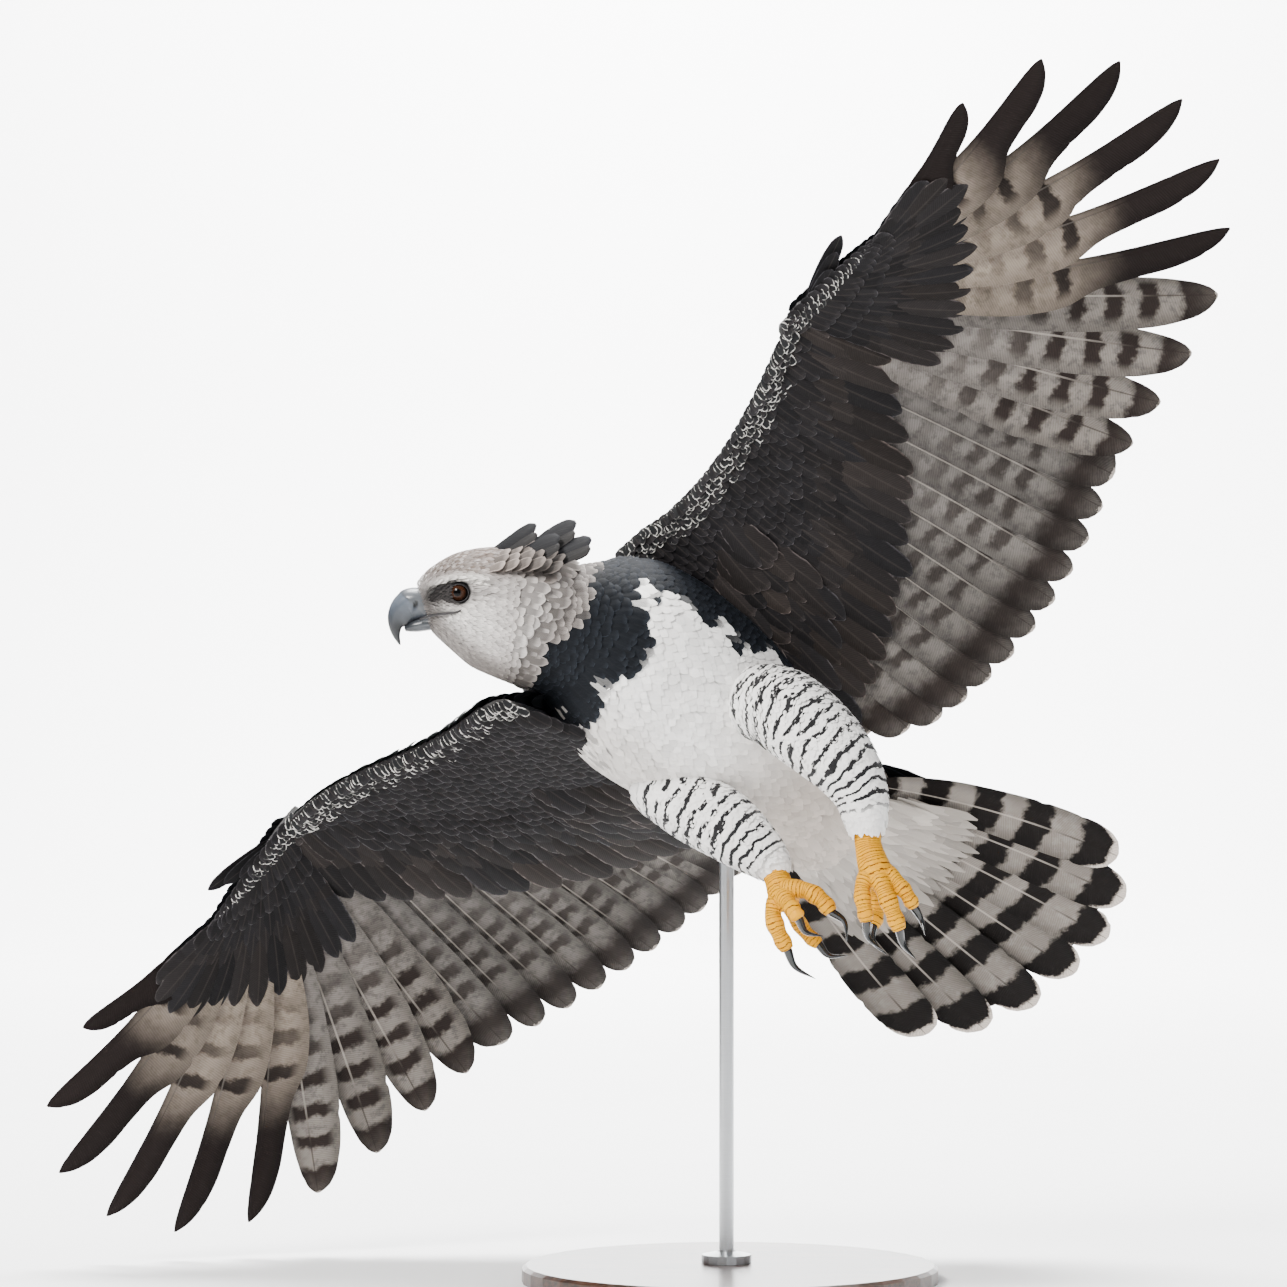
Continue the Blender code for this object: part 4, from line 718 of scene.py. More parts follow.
def tail_quills(place):
    """The same for the tail; place runs -1 to 1 across the fan, whose rim is shorter at its sides."""
    place = np.asarray(place, float)
    turned = np.radians(TAIL_YAW + TAIL_SPREAD * place)
    low, roll = np.radians(TAIL_DROOP), np.radians(TAIL_ROLL)
    side = np.sin(turned)
    reach = unit(np.stack([-np.cos(turned) * np.cos(low), side,
                           -np.cos(turned) * np.sin(low) + side * np.sin(roll)], axis=1))
    left = np.array([0.0, np.cos(roll), np.sin(roll)])
    root = left * (TAIL_SIDE * place)[:, None]
    along = reach * (TAIL_LENGTH * (1.0 - TAIL_FALL * np.abs(place)**3))[:, None] - root
    length = np.linalg.norm(along, axis=1)
    across = unit(left - along * (along @ left / length**2)[:, None])
    along = along / length[:, None]
    up = np.cross(across, along)
    return (from_body(TAIL_ROOT + root), along @ BODY_AXES, across @ BODY_AXES, up @ BODY_AXES, length)


print("longest primary", round(float(polynomial(PRIMARY_LENGTH, np.linspace(0, 1, 10)).max()), 3), "m")

# %% [markdown]
# A flight feather's vane is one smooth outline drawn through a few marks, wider on its trailing side. The
# six outer primaries narrow from their middle on, which makes the fingers. Small random nicks are where
# the barbs have unzipped. Rows stand close together so that a nick stays narrow.

# %% Flight feather outlines
def outline_of(marks, rows):
    """Marks (share, width) or (share, out, in) joined by the cubic, with rows closer near the tip."""
    marks = np.array([(mark[0], mark[1], mark[-1]) for mark in marks])
    share = 1 - (1 - np.linspace(0.0, 1.0, rows))**1.25
    return np.column_stack([share, np.maximum(bend(marks[:, 1:], share, marks[:, 0]), 0.02)])


SECONDARY_LEAF = outline_of(((0.0, 0.1), (0.1, 0.42, 0.45), (0.25, 0.8), (0.5, 1.0, 0.98), (0.8, 1.0),
                             (0.92, 0.92, 0.86), (0.965, 0.72, 0.66), (0.988, 0.44, 0.42), (1.0, 0.1, 0.12)),
                            44)
BROAD_LEAF = outline_of(((0.0, 0.1), (0.12, 0.42, 0.48), (0.3, 0.8, 0.84), (0.52, 1.0), (0.76, 0.98),
                         (0.9, 0.8, 0.76), (0.96, 0.56, 0.52), (0.988, 0.3, 0.28), (1.0, 0.06)), 46)
FINGER_LEAF = outline_of(((0.0, 0.2, 0.1), (0.12, 0.7, 0.46), (0.3, 1.1, 0.84), (0.47, 1.15, 1.0),
                          (0.56, 0.95, 0.94), (0.64, 0.86, 0.68), (0.74, 0.84, 0.58), (0.86, 0.8, 0.53),
                          (0.94, 0.62, 0.38), (0.98, 0.36, 0.2), (1.0, 0.06, 0.04)), 52)
TAIL_LEAF = outline_of(((0.0, 0.14), (0.1, 0.46), (0.25, 0.76), (0.5, 0.95), (0.8, 1.02), (0.91, 0.94, 0.92),
                        (0.96, 0.74, 0.72), (0.987, 0.46, 0.44), (1.0, 0.12)), 44)
WIDE_COLUMNS = (-1.0, -0.8, -0.56, -0.3, -0.08, 0.0, 0.08, 0.3, 0.56, 0.8, 1.0)
COVERT_COLUMNS = (-1.0, -0.5, 0.0, 0.5, 1.0)
COVERT_LEAF = outline_of(((0.0, 0.4), (0.25, 0.85), (0.55, 1.0), (0.8, 0.86), (0.94, 0.52), (1.0, 0.1)), 12)


def nicked(points, chance=0.05, deep=0.16):
    """Pulls single rim points of the trailing and leading edges in towards the shaft, at random."""
    n, rows, ring, _ = points.shape
    last = (ring + 2) // 2 - 1
    for rim, inner in ((0, 1), (last, last - 1)):
        hit = (rng.random((n, rows)) < chance) & (np.arange(rows) > rows * 0.35)
        share = hit * deep * (0.4 + 0.6 * rng.random((n, rows)))
        points[:, :, rim] += (points[:, :, inner] - points[:, :, rim]) * share[..., None] * 1.6
    return points


def two_sided(value, over):
    """Tint of a leaf: 1 on the rim and the lower face, over on the inner columns of the upper face."""
    ring = np.arange(value.shape[2])
    above = (ring > 0) & (ring < (len(ring) + 2) // 2 - 1)
    return np.broadcast_to(np.where(above[:, None], over, 1.0), value.shape)


print("outline rows", len(SECONDARY_LEAF), len(FINGER_LEAF))

# %% [markdown]
# Bars on a flight feather sit at set distances from its tip, which is why they line up across the wing.
# The shader reads that distance from the feather's own attribute, bends it a little with noise and turns
# it into dark rows. A pale rim, a shaft that darkens towards the tip and mottling near the root finish it.

# %% Barred feather materials
RIM = "#c3b8ae"


def barred_material(name, pale, dark, base, rim, tip_rim, band, first, pitch, share, reach, shaft_dark,
                    band_soft=0.006, weak=1.0, spotted=False, pale_tip=0.0):
    """Dark where the distance from the tip lies in the tip band or in the dark share of each pitch after it.

    The bars, as strong as weak says, fade into the mottled base at reach from the tip. Spotted keeps them to
    the middle of the vane, and pale_tip wears the last 40 mm towards the pale ground.
    """
    material, add, shader = new_material(name, 0.6, Specular_IOR_Level=0.06)
    tint, place = tint_and_place(add)
    tip, size, random = vane_sockets(add)
    normal, height = barbs(add, tip, size, place)
    cloud = add("Math SUBTRACT", add("TexNoise", place, 55.0, 3.0, 0.6), 0.5)
    fine = add("Math SUBTRACT", add("TexNoise", place, 260.0, 3.0, 0.7), 0.5)
    bent = tip
    for source, metres in ((fine, 0.004), (random, 0.01), (cloud, 0.026), (size, -0.006)):
        bent = add("Math MULTIPLY_ADD", source, metres, bent)
    phase = add("Math DIVIDE", add("Math SUBTRACT", bent, first), pitch)
    phase = add("Math SUBTRACT", add("Math FRACT", phase), 0.5)
    away = add("Math ABSOLUTE", phase)
    soft = 0.004 / pitch
    rows = add("MapRange SMOOTHSTEP", away, share / 2 + soft, share / 2 - soft)
    begun = add("MapRange SMOOTHSTEP", bent, first - 0.004, first + 0.002)
    faded = add("MapRange SMOOTHSTEP", bent, reach, reach * 0.45)
    rows = add("Math MULTIPLY", rows, begun)
    rows = add("Math MULTIPLY", rows, add("Math MULTIPLY", faded, weak))
    if spotted:
        middle = add("MapRange SMOOTHSTEP", size, 0.95, 0.55)
        rows = add("Math MULTIPLY", rows, middle)
    ends = add("MapRange SMOOTHSTEP", bent, band + band_soft, band - band_soft)
    darkness = add("Math MAXIMUM", rows, ends, use_clamp=True)
    far = add("MapRange SMOOTHSTEP", bent, band, reach)
    ground = add("Mix RGBA", far, pale, base)
    mottle = add("MapRange SMOOTHSTEP", add("TexNoise", place, 90.0, 4.0, 0.65), 0.46, 0.66)
    ground = add("Mix RGBA", mottle, ground, paint(base) * 0.62)
    worn = add("MapRange SMOOTHSTEP", bent, 0.04, 0.004, 0.0, pale_tip)
    tipped = add("Mix RGBA", worn, dark, ground)
    colour = add("Mix RGBA", darkness, ground, tipped)
    shade = add("Math MULTIPLY_ADD", random, 0.3, 0.85)
    combed = add("Math MULTIPLY_ADD", height, 0.24, 0.88)
    # Painted shade: each vane darkens towards its rims, where neighbouring feathers overlap it.
    inner = add("MapRange SMOOTHSTEP", size, 0.35, 1.0, 1.06, 0.62)
    shade = add("Math MULTIPLY", add("Math MULTIPLY", shade, combed), inner)
    colour = add("Mix RGBA MULTIPLY", 1.0, colour, tint)
    colour = add("Mix RGBA MULTIPLY", 1.0, colour, shade)
    from_side = add("Math MULTIPLY_ADD", size, -0.03, 0.03)
    from_side = add("Math MULTIPLY_ADD", tip, 0.35, from_side)
    from_rim = add("Math MINIMUM", tip, from_side)
    from_rim = add("Math MULTIPLY_ADD", fine, 0.01, from_rim)
    end = add("MapRange SMOOTHSTEP", from_rim, tip_rim, tip_rim * 0.6)
    edge = add("Math MULTIPLY", end, rim)
    rim_shade = add("Mix RGBA MULTIPLY", 1.0, RIM, combed)
    colour = add("Mix RGBA", edge, colour, rim_shade)
    line = add("MapRange SMOOTHSTEP", size, 0.05, 0.02, 0.0, 0.6)
    paler = add("MapRange SMOOTHSTEP", tip, shaft_dark, shaft_dark * 2.6)
    quill = add("Mix RGBA", paler, dark, "#a59d94")
    colour = add("Mix RGBA", line, colour, quill)
    connect(shader, Base_Color=colour, Normal=normal)
    return material


secondary_vane = barred_material("barred secondary", "#5c5854", "#241f1d", "#5f5b58", 0.6, 0.004, 0.061,
                                 0.084, 0.033, 0.5, 0.3, 0.05, band_soft=0.016, weak=0.85, spotted=True,
                                 pale_tip=0.42)
broad_vane = barred_material("inner primary", "#6b655f", "#221c1a", "#6b6662", 0.4, 0.003, 0.042, 0.058,
                             0.042, 0.46, 0.34, 0.06, spotted=True, pale_tip=0.2)
finger_vane = barred_material("finger primary", "#6f655c", "#171211", "#807569", 0.0, 0.001, 0.17, 0.18,
                              0.046, 0.42, 0.38, 0.12, band_soft=0.05, spotted=True)
tail_vane = barred_material("barred tail feather", "#69635d", "#100d0c", "#8f8982", 0.9, 0.014, 0.057, 0.084,
                            0.064, 0.55, 0.62, 0.05, band_soft=0.004)
print("barred materials made")

# %% [markdown]
# Coverts roof the wing in rows like tiles, from the front edge back to the flight feathers. So the wing's
# lower and upper faces are worked out first, as points at any place out along the wing and any distance
# behind its quills' roots, and then each covert is stretched between two such points.

# %% Faces of the wings
def edge_forward(pose, out):
    """Leading edge of the arm: a straight line less two sine waves along it."""
    (start, near), (end, far) = pose["edge"]
    s = np.clip((out - near) / (far - near), 0.0, 1.1)
    t = np.minimum(s, 1.0)
    first, second = pose["dip"]
    return start + (end - start) * s - first * np.sin(np.pi * t**0.8) - second * np.sin(2 * np.pi * t)


def shaft_points(quills, d, lift, sweep):
    """Point at distance d along each shaft, bowed by 4s(1-s) and by the square of its length."""
    root, along, across, up, length = quills
    s = np.maximum(d / length, 0.0)
    rise = (4 * s * (1 - s) * (length / LONGEST)**2)[:, None]
    return root + along * d[:, None] + (up * lift + across * sweep) * rise


def arm_chord(pose, u):
    """Front and back points of the arm's section at u, and its half thickness."""
    root, _, _, up, _ = secondary_quills(pose, u)
    forward = edge_forward(pose, root[:, 1])
    chord = forward - root[:, 0]
    twist = np.radians(pose["twist"] + (pose["inner_twist"] - pose["twist"]) * u)
    front = np.stack([forward, root[:, 1], root[:, 2] - chord * np.tan(twist)], axis=1)
    back = root + unit(root - front) * (0.014 + 0.006 * u)[:, None]
    return front, back, up, 0.017 + 0.01 * np.maximum(u, 0.0)


def arm_face(pose, u, d, face):
    """Face -1 is the lower and 1 the upper one. Ahead of the quills' roots it is the flesh's section,
    thick * (4s(1-s))^0.35 * (1 - s/2), and behind them it thins out along the shafts."""
    u, d = np.asarray(u, float), np.asarray(d, float)
    quills = secondary_quills(pose, u)
    front, back, up, thick = arm_chord(pose, u)
    ahead = np.linalg.norm(quills[0] - front, axis=1)
    whole = np.linalg.norm(back - front, axis=1)
    s = np.clip((ahead + d) / whole, 0.004, 0.995)
    half = thick * (4 * s * (1 - s))**0.35 * (1 - 0.5 * s)
    flesh = front + (back - front) * s[:, None] + up * (face * half + 0.1 * whole * s * (1 - s))[:, None]
    high = 0.0125 - 0.0065 * step(d, 0.0, 0.16)
    behind = shaft_points(quills, d, SECONDARY_LIFT, SECONDARY_SWEEP) + quills[3] * (face * high)[:, None]
    share = step(d, -0.02, 0.012)[:, None]
    return flesh * (1 - share) + behind * share


# Columns: out, front and back from the wrist's line, half thickness.
HAND_PLAN = np.array(((-0.03, 0.019, -0.018, 0.0175), (0.01, 0.02, -0.022, 0.017),
                      (0.06, 0.018, -0.022, 0.014), (0.105, 0.014, -0.018, 0.011),
                      (0.14, 0.009, -0.012, 0.008), (0.152, 0.005, -0.007, 0.0045)))


def hand_flesh_point(pose, out, s, face):
    """Flesh of the hand at a distance out and a share s from front to back, in the arm's own section."""
    front, back, thick = (np.interp(out, HAND_PLAN[:, 0], HAND_PLAN[:, k]) for k in (1, 2, 3))
    s = np.clip(s, 0.004, 0.996)
    half = thick * (4 * s * (1 - s))**0.35 * (1 - 0.5 * s)
    high = face * half + 0.1 * (front - back) * s * (1 - s)
    return np.asarray(pose["wrist"]) + np.stack([front + (back - front) * s, out, high],
                                                axis=1) @ hand_matrix(pose).T


def hand_face(pose, x, d, face):
    """Lower or upper face over the primaries at a distance along their shafts."""
    quills = primary_quills(pose, x)
    high = 0.011 - 0.005 * step(d, 0.0, 0.15) - 0.0045 * x
    return shaft_points(quills, d, PRIMARY_LIFT, 0.0) + quills[3] * (face * high)[:, None]


def to_world(pose, p):
    """World points of left side body points, for the pose's own side."""
    return from_body(p * np.array([1.0, pose["side"], 1.0]))


def leaves(root, tip, up, half, outline, bow=0.0, **more):
    """Leaves stretched from root to tip points, upper side nearest to up, bowed by bow times length."""
    length = np.linalg.norm(tip - root, axis=1)
    along = unit(tip - root)
    up = unit(up - along * np.sum(up * along, axis=1, keepdims=True))
    return vanes(root, along, np.cross(along, up), up, length, half, half, outline, lift=bow * length,
                 **more)


print("hand plan", HAND_PLAN.shape)

# %% [markdown]
# Now the feathers of both wings. The flight feathers overlap like a fan: the outer edge of each lies over
# its neighbour when seen from below, because every vane is tilted a few degrees about its shaft.

# %% Flight feathers
OVER_WING, OVER_TAIL = np.array([0.24, 0.25, 0.29]), np.array([0.42, 0.42, 0.46])
QUILL = dict(thick=0.0009, columns=WIDE_COLUMNS)
HAND_BOW, FINGER_BOW = (PRIMARY_LIFT, 0.0, HAND_LOUVRE), (PRIMARY_LIFT, FINGER_SWEEP, HAND_LOUVRE)
ARM_BOW = (SECONDARY_LIFT, SECONDARY_SWEEP, ARM_LOUVRE)
TERTIAL_STEP = np.array([0.014, 0.006, 0.003])


def flight_row(name, quills, out, into, outline, bow, material, node):
    """A row of flight feathers, with nicks in their rims, slate above and patterned below.

    Lift and sweep, the first two numbers of bow, grow with the square of the length; the third is the tilt.
    """
    lift, sweep, tilt = bow
    share = (quills[4] / LONGEST)**2
    points, value = vanes(*quills, out, into, outline, lift=lift * share, sweep=sweep * share, tilt=tilt,
                          shaft=0.0008, cup=0.045, **QUILL)
    feather_piece(name, nicked(points), value, two_sided(value, OVER_WING), material, [node], "wing_feather")


for side, pose in WING_POSES.items():
    hand, arm = "wing_" + side + "_hand", "wing_" + side + "_arm"
    x = np.arange(10) / 9
    inner, outer = placed(pose, primary_quills(pose, x[:4])), placed(pose, primary_quills(pose, x[4:]))
    flight_row("primaries_inner_" + side, inner, 0.024, 0.043, BROAD_LEAF, HAND_BOW, broad_vane, hand)
    flight_row("primaries_outer_" + side, outer, 0.0085, np.array([0.05] * 5 + [0.036]), FINGER_LEAF,
               FINGER_BOW, finger_vane, hand)
    u = (np.arange(10) + 0.5) / 10
    flight_row("secondaries_" + side, placed(pose, secondary_quills(pose, u)),
               np.where(u < 0.1, 0.036, 0.018), 0.035, SECONDARY_LEAF, ARM_BOW, secondary_vane, arm)
    past = np.arange(2) + 0.5
    root, *rest = secondary_quills(pose, 1.0 + 0.12 * past)
    root = root + TERTIAL_STEP * past[:, None]
    flight_row("tertials_" + side, placed(pose, (root, *rest)), 0.018, 0.035, SECONDARY_LEAF, ARM_BOW,
               secondary_vane, arm)

# %% [markdown]
# Seven tail feathers show from below. The other five lie folded on top of them, half way between and a
# little shorter, as in a tail that is only partly spread.

# %% Tail feathers
TAIL_PLACES = np.array((-3.0, -2.0, -1.0, 0.0, 1.0, 2.0, 3.0, -2.5, -1.5, 0.5, 1.5, 2.5))
TAIL_START = 0.034
apart = np.abs(TAIL_PLACES)
folded = apart != np.round(apart)
level = np.where(folded, -TAIL_STEP * (apart - 0.5) + TAIL_STEP / 2, -TAIL_STEP * apart)
root, along, across, up, length = tail_quills(TAIL_PLACES / 3)
root = root + along * TAIL_START + up * level[:, None]
length = length - TAIL_START - np.where(folded, TAIL_FOLD, 0.0)
points, value = vanes(root, along, across, up, length, 0.035, 0.035, TAIL_LEAF, lift=TAIL_BOW * 0.25,
                      curl=TAIL_BOW, sweep=TAIL_SWEEP * TAIL_PLACES / 3, shaft=0.0009, cup=0.03, **QUILL)
points = nicked(points, 0.08, 0.22)
value[..., 0] += np.where(folded, TAIL_FOLD, 0.0)[:, None, None] * 0.5
feather_piece("tail_feathers", points, value, two_sided(value, OVER_TAIL), tail_vane, ["tail"],
              "tail_feather")

# %% [markdown]
# The underwing coverts are near black. Their rows keep their distance from the flight feathers' bars, so
# each row is set by how far its tips reach behind the quills' roots; rows that would pass the front edge
# are dropped. Four small rows at the front edge, made in the next cell, are black with white rims.

# %% Coverts of the wings
REACH = np.array(((0.0, 0.112), (0.3, 0.16), (0.62, 0.188), (1.0, 0.175), (1.2, 0.165)))
# Columns: how far short of the reach, length, half width, count.
UNDER_ROWS = ((0.0, 0.112, 0.019, 15), (0.046, 0.09, 0.0178, 17), (0.08, 0.074, 0.0158, 19),
              (0.108, 0.062, 0.0138, 22), (0.131, 0.052, 0.0124, 25), (0.151, 0.044, 0.0114, 27))
UNDER_ROWS += tuple((0.169 + 0.0165 * row, 0.036, 0.0104, 30) for row in range(19))
UPPER_ROWS = ((0.01, 0.135, 0.021, 14), (0.06, 0.085, 0.0175, 17), (0.098, 0.064, 0.0145, 21),
              (0.128, 0.052, 0.0125, 25))
UPPER_ROWS += tuple((0.154 + 0.022 * row, 0.042, 0.0115, 28) for row in range(15))


def front_of(pose, u):
    """How far the leading edge lies ahead of the quills' roots."""
    front, _, _, _ = arm_chord(pose, u)
    return np.linalg.norm(secondary_quills(pose, u)[0] - front, axis=1)


def arm_coverts(pose, rows, face):
    """Root, tip, upper side, half width and row of all coverts on one face of the arm."""
    parts = []
    for number, (back, length, half, count) in enumerate(rows):
        count = int(count * 1.21)
        u = (np.arange(count) + 0.5 + 0.25 * (number % 2)) / count * 1.36 - 0.02
        u = u + rng.uniform(-0.22, 0.22, count) / count
        end = np.interp(u, REACH[:, 0], REACH[:, 1]) - back + rng.uniform(-0.005, 0.005, count)
        start = end - length
        keep = end > -front_of(pose, u) + (0.006 if face < 0 else 0.014)
        u, end, start = u[keep], end[keep], start[keep]
        start = np.maximum(start, -front_of(pose, u) + 0.001)
        high = face * secondary_quills(pose, u)[3]
        tip = arm_face(pose, u, end, face) + high * (0.0022 + 0.0004 * min(number, 5))
        root = arm_face(pose, u, start, face) - high * 0.003
        parts.append((root, tip, high, half, number))
    return joined(parts)


def joined(parts):
    """Arrays of all rows end to end; a single number in a row is repeated for each of its feathers."""
    full = [[x if np.ndim(x) else np.full(len(part[0]), x) for x in part] for part in parts]
    return [np.concatenate(column) for column in zip(*full)]


def shades(colour, low, high):
    """Function from feathers' rows to their tints: the colour times a random share from low to high."""
    return lambda row: colour * rng.uniform(low, high, (len(row), 1))


def underwing_tints(row):
    """Blue-black to brown, the largest rows the brownest, each feather a shade of its own."""
    share = np.clip(0.75 - 0.15 * row, 0.1, 1.0) * rng.uniform(0.0, 1.0, len(row))
    return blend_colours(share, UNDER_TINT, BROWN) * rng.uniform(0.7, 1.25, (len(row), 1))


COVERT = dict(outline=COVERT_LEAF, bow=0.05, cup=0.24, thick=0.0007, columns=COVERT_COLUMNS)
UNDER_TINT, UPPER_TINT, BROWN = paint("#1f1e20"), paint("#1d1f22"), paint("#37302c")


def covert_piece(name, pose, rows, tints, material, nodes, **shape):
    """One coat of a wing from its feathers' roots, tips, upper sides, half widths and rows."""
    root, tip, high, half, row = rows
    mirror = np.array([1.0, pose["side"], 1.0])
    points, value = leaves(to_world(pose, root), to_world(pose, tip), (high * mirror) @ BODY_AXES, half,
                           **dict(COVERT, **shape))
    feather_piece(name, points, value, tints(row), material, nodes, "wing_feather", row_places(row))


for side, pose in WING_POSES.items():
    arm = ["wing_" + side + "_arm"]
    covert_piece("underwing_coverts_" + side, pose, arm_coverts(pose, UNDER_ROWS, -1.0), underwing_tints,
                 underwing, arm, shaft=0.0003, ragged=0.1)
    covert_piece("upperwing_coverts_" + side, pose, arm_coverts(pose, UPPER_ROWS, 1.0),
                 shades(UPPER_TINT, 0.7, 1.3), black_plume, arm, cup=0.2, ragged=0.08)

# %% [markdown]
# The hand carries the same rows, shorter. Its front edge and the thumb's three stiff feathers, the alula,
# close the wing's bend. The lace rows follow the whole front edge, 6 to 8 mm from feather to feather.

# %% Coverts of the hands, alulae and the lace of the front edge
# Columns: end, length, half width, count, height.
HAND_ROWS = ((0.165, 0.115, 0.015, 12, 0.0), (0.122, 0.085, 0.014, 13, 0.0012),
             (0.084, 0.064, 0.0128, 14, 0.0024), (0.052, 0.05, 0.0118, 14, 0.0036),
             (0.026, 0.042, 0.0108, 14, 0.0046))


def hand_coverts(pose, face):
    """The same rows over the primaries, whose reach shrinks with the length of the quill."""
    parts = []
    for number, (end, length, half, count, rise) in enumerate(HAND_ROWS):
        x = (np.arange(count) + 0.5) / count * 0.97
        share = np.minimum(primary_quills(pose, x)[4] / 0.4, 1.0) * rng.uniform(0.97, 1.03, count)
        high = face * primary_quills(pose, x)[3]
        tip = hand_face(pose, x, end * share, face) + high * (0.001 + rise)
        root = hand_face(pose, x, (end - length) * share, face) - high * 0.002
        parts.append((root, tip, high, half, number))
    for number, s in enumerate(np.linspace(0.95, 0.1, 8)):
        out = np.arange(-0.012, 0.15, 0.012) + 0.004 * (number % 2)
        high = np.broadcast_to(face * hand_matrix(pose)[:, 2], (len(out), 3))
        pull = 0.25 + 0.3 * s
        root = hand_flesh_point(pose, out, np.full(len(out), s), face) - high * 0.002
        ahead = hand_flesh_point(pose, out + 0.022 * (1 - 0.4 * pull), np.full(len(out), s + 0.3 * pull),
                                 face)
        parts.append((root, ahead + high * 0.003, high, 0.0095, len(HAND_ROWS) + number))
    return joined(parts)


def lace_rows(pose):
    """Small feathers in loose rows under the arm's front edge and on over the hand's, each set askew."""
    parts = []
    for number, back in enumerate((0.001, 0.0075, 0.014, 0.0205)):
        u = np.linspace(-0.02, 1.32, 62) + 0.01 * (number % 2) + rng.uniform(-0.006, 0.006, 62)
        u = u[(front_of(pose, u) > back + 0.016) & (rng.random(62) > 0.12 * number)]
        d = back - front_of(pose, u) + rng.uniform(-0.002, 0.002, len(u))
        high = -secondary_quills(pose, u)[3]
        askew = rng.uniform(-0.012, 0.012, len(u))
        tip = arm_face(pose, u + askew, d + rng.uniform(0.01, 0.015, len(u)), -1.0) + high * 0.0034
        parts.append((arm_face(pose, u, d, -1.0) - high * 0.001, tip, high,
                      rng.uniform(0.0044, 0.0062, len(u)), 2 * number))
        out = np.arange(-0.02, 0.146, 0.008) + 0.004 * (number % 2)
        s = np.full(len(out), 0.02 + 0.14 * number) + rng.uniform(-0.02, 0.02, len(out))
        high = np.broadcast_to(-hand_matrix(pose)[:, 2], (len(out), 3))
        tip = hand_flesh_point(pose, out + rng.uniform(0.005, 0.011, len(out)), s + 0.18,
                               -1.0) + high * 0.0036
        parts.append((hand_flesh_point(pose, out, s, -1.0), tip, high, rng.uniform(0.0044, 0.006, len(out)),
                      2 * number + 1))
    return joined(parts)


ALULA_ROOT, ALULA_TIP = np.array([0.007, 0.012, 0.003]), np.array([0.041, 0.116, 0.002])
ALULA_ROOT_STEP, ALULA_TIP_STEP = np.array([-0.002, 0.0, -0.003]), np.array([-0.009, -0.018, -0.006])
for side, pose in WING_POSES.items():
    hand, arm = "wing_" + side + "_hand", "wing_" + side + "_arm"
    covert_piece("underhand_coverts_" + side, pose, hand_coverts(pose, -1.0),
                 lambda row: underwing_tints(row + 2), underwing, [hand], ragged=0.08)
    covert_piece("upperhand_coverts_" + side, pose, hand_coverts(pose, 1.0), shades(UPPER_TINT, 0.8, 1.25),
                 black_plume, [hand], ragged=0.08)
    covert_piece("lace_" + side, pose, lace_rows(pose), shades(BLACK, 0.8, 1.3), lace, [arm, hand],
                 outline=ROUND, cup=0.12, thick=0.0005, columns=(-1.0, 0.0, 1.0), ragged=0.06)
    m, number = hand_matrix(pose), np.arange(3)[:, None]
    root = pose["wrist"] + (ALULA_ROOT + ALULA_ROOT_STEP * number) @ m.T
    tip = pose["wrist"] + (ALULA_TIP + ALULA_TIP_STEP * number) @ m.T
    high = np.broadcast_to(m[:, 2] * np.array([1.0, pose["side"], 1.0]) @ BODY_AXES, (3, 3))
    points, value = leaves(to_world(pose, root), to_world(pose, tip), high, 0.0105, COVERT_LEAF,
                           thick=0.0009, shaft=0.0005, columns=COVERT_COLUMNS)
    feather_piece("alula_" + side, points, value, np.tile(UNDER_TINT * 0.8, (3, 1)), underwing, [hand],
                  "wing_feather")

# %% [markdown]
# Where the wing meets the body, long soft feathers, the axillaries, close the armpit, and on the left side
# they show as a fan of black-brown plumes between the flank and the grey secondaries.

# %% Axillaries
for side, pose in WING_POSES.items():
    parts = []
    for number, (d, length, count) in enumerate(((0.125, 0.105, 6), (0.098, 0.095, 6), (0.07, 0.088, 7),
                                                 (0.042, 0.08, 7), (0.016, 0.072, 7), (-0.01, 0.064, 8))):
        u = np.linspace(0.86, 1.22, count) + 0.02 * (number % 2) + rng.uniform(-0.012, 0.012, count)
        high = -secondary_quills(pose, u)[3]
        tip = arm_face(pose, u + rng.uniform(-0.02, 0.05, count), d + rng.uniform(-0.01, 0.01, count), -1.0)
        tip = tip + high * (0.006 + 0.0015 * number)
        root = arm_face(pose, u, np.full(count, d - length), -1.0) + high * 0.001
        parts.append((root, tip, high, 0.016, number))
    covert_piece("axillaries_" + side, pose, joined(parts), lambda row: underwing_tints(row % 3), underwing,
                 ["wing_" + side + "_arm"], cup=0.22, ragged=0.14)

# %% [markdown]
# A thigh is a row of circles along the cubic, and each mark of the curve carries its own radius.

# %% Legs as rings
THIGHS = {
    "left": ((0.013, -0.06, 0.698, 0.04), (0.052, -0.1, 0.691, 0.048), (0.08, -0.125, 0.673, 0.049),
             (0.113, -0.145, 0.644, 0.045), (0.138, -0.155, 0.614, 0.038), (0.153, -0.16, 0.582, 0.03),
             (0.157, -0.163, 0.551, 0.0235)),
    "right": ((-0.102, -0.01, 0.605, 0.036), (-0.073, -0.03, 0.589, 0.04), (-0.039, -0.052, 0.568, 0.042),
              (-0.008, -0.068, 0.55, 0.0405), (0.021, -0.08, 0.528, 0.0345), (0.041, -0.085, 0.511, 0.0275),
              (0.052, -0.089, 0.499, 0.0215))}


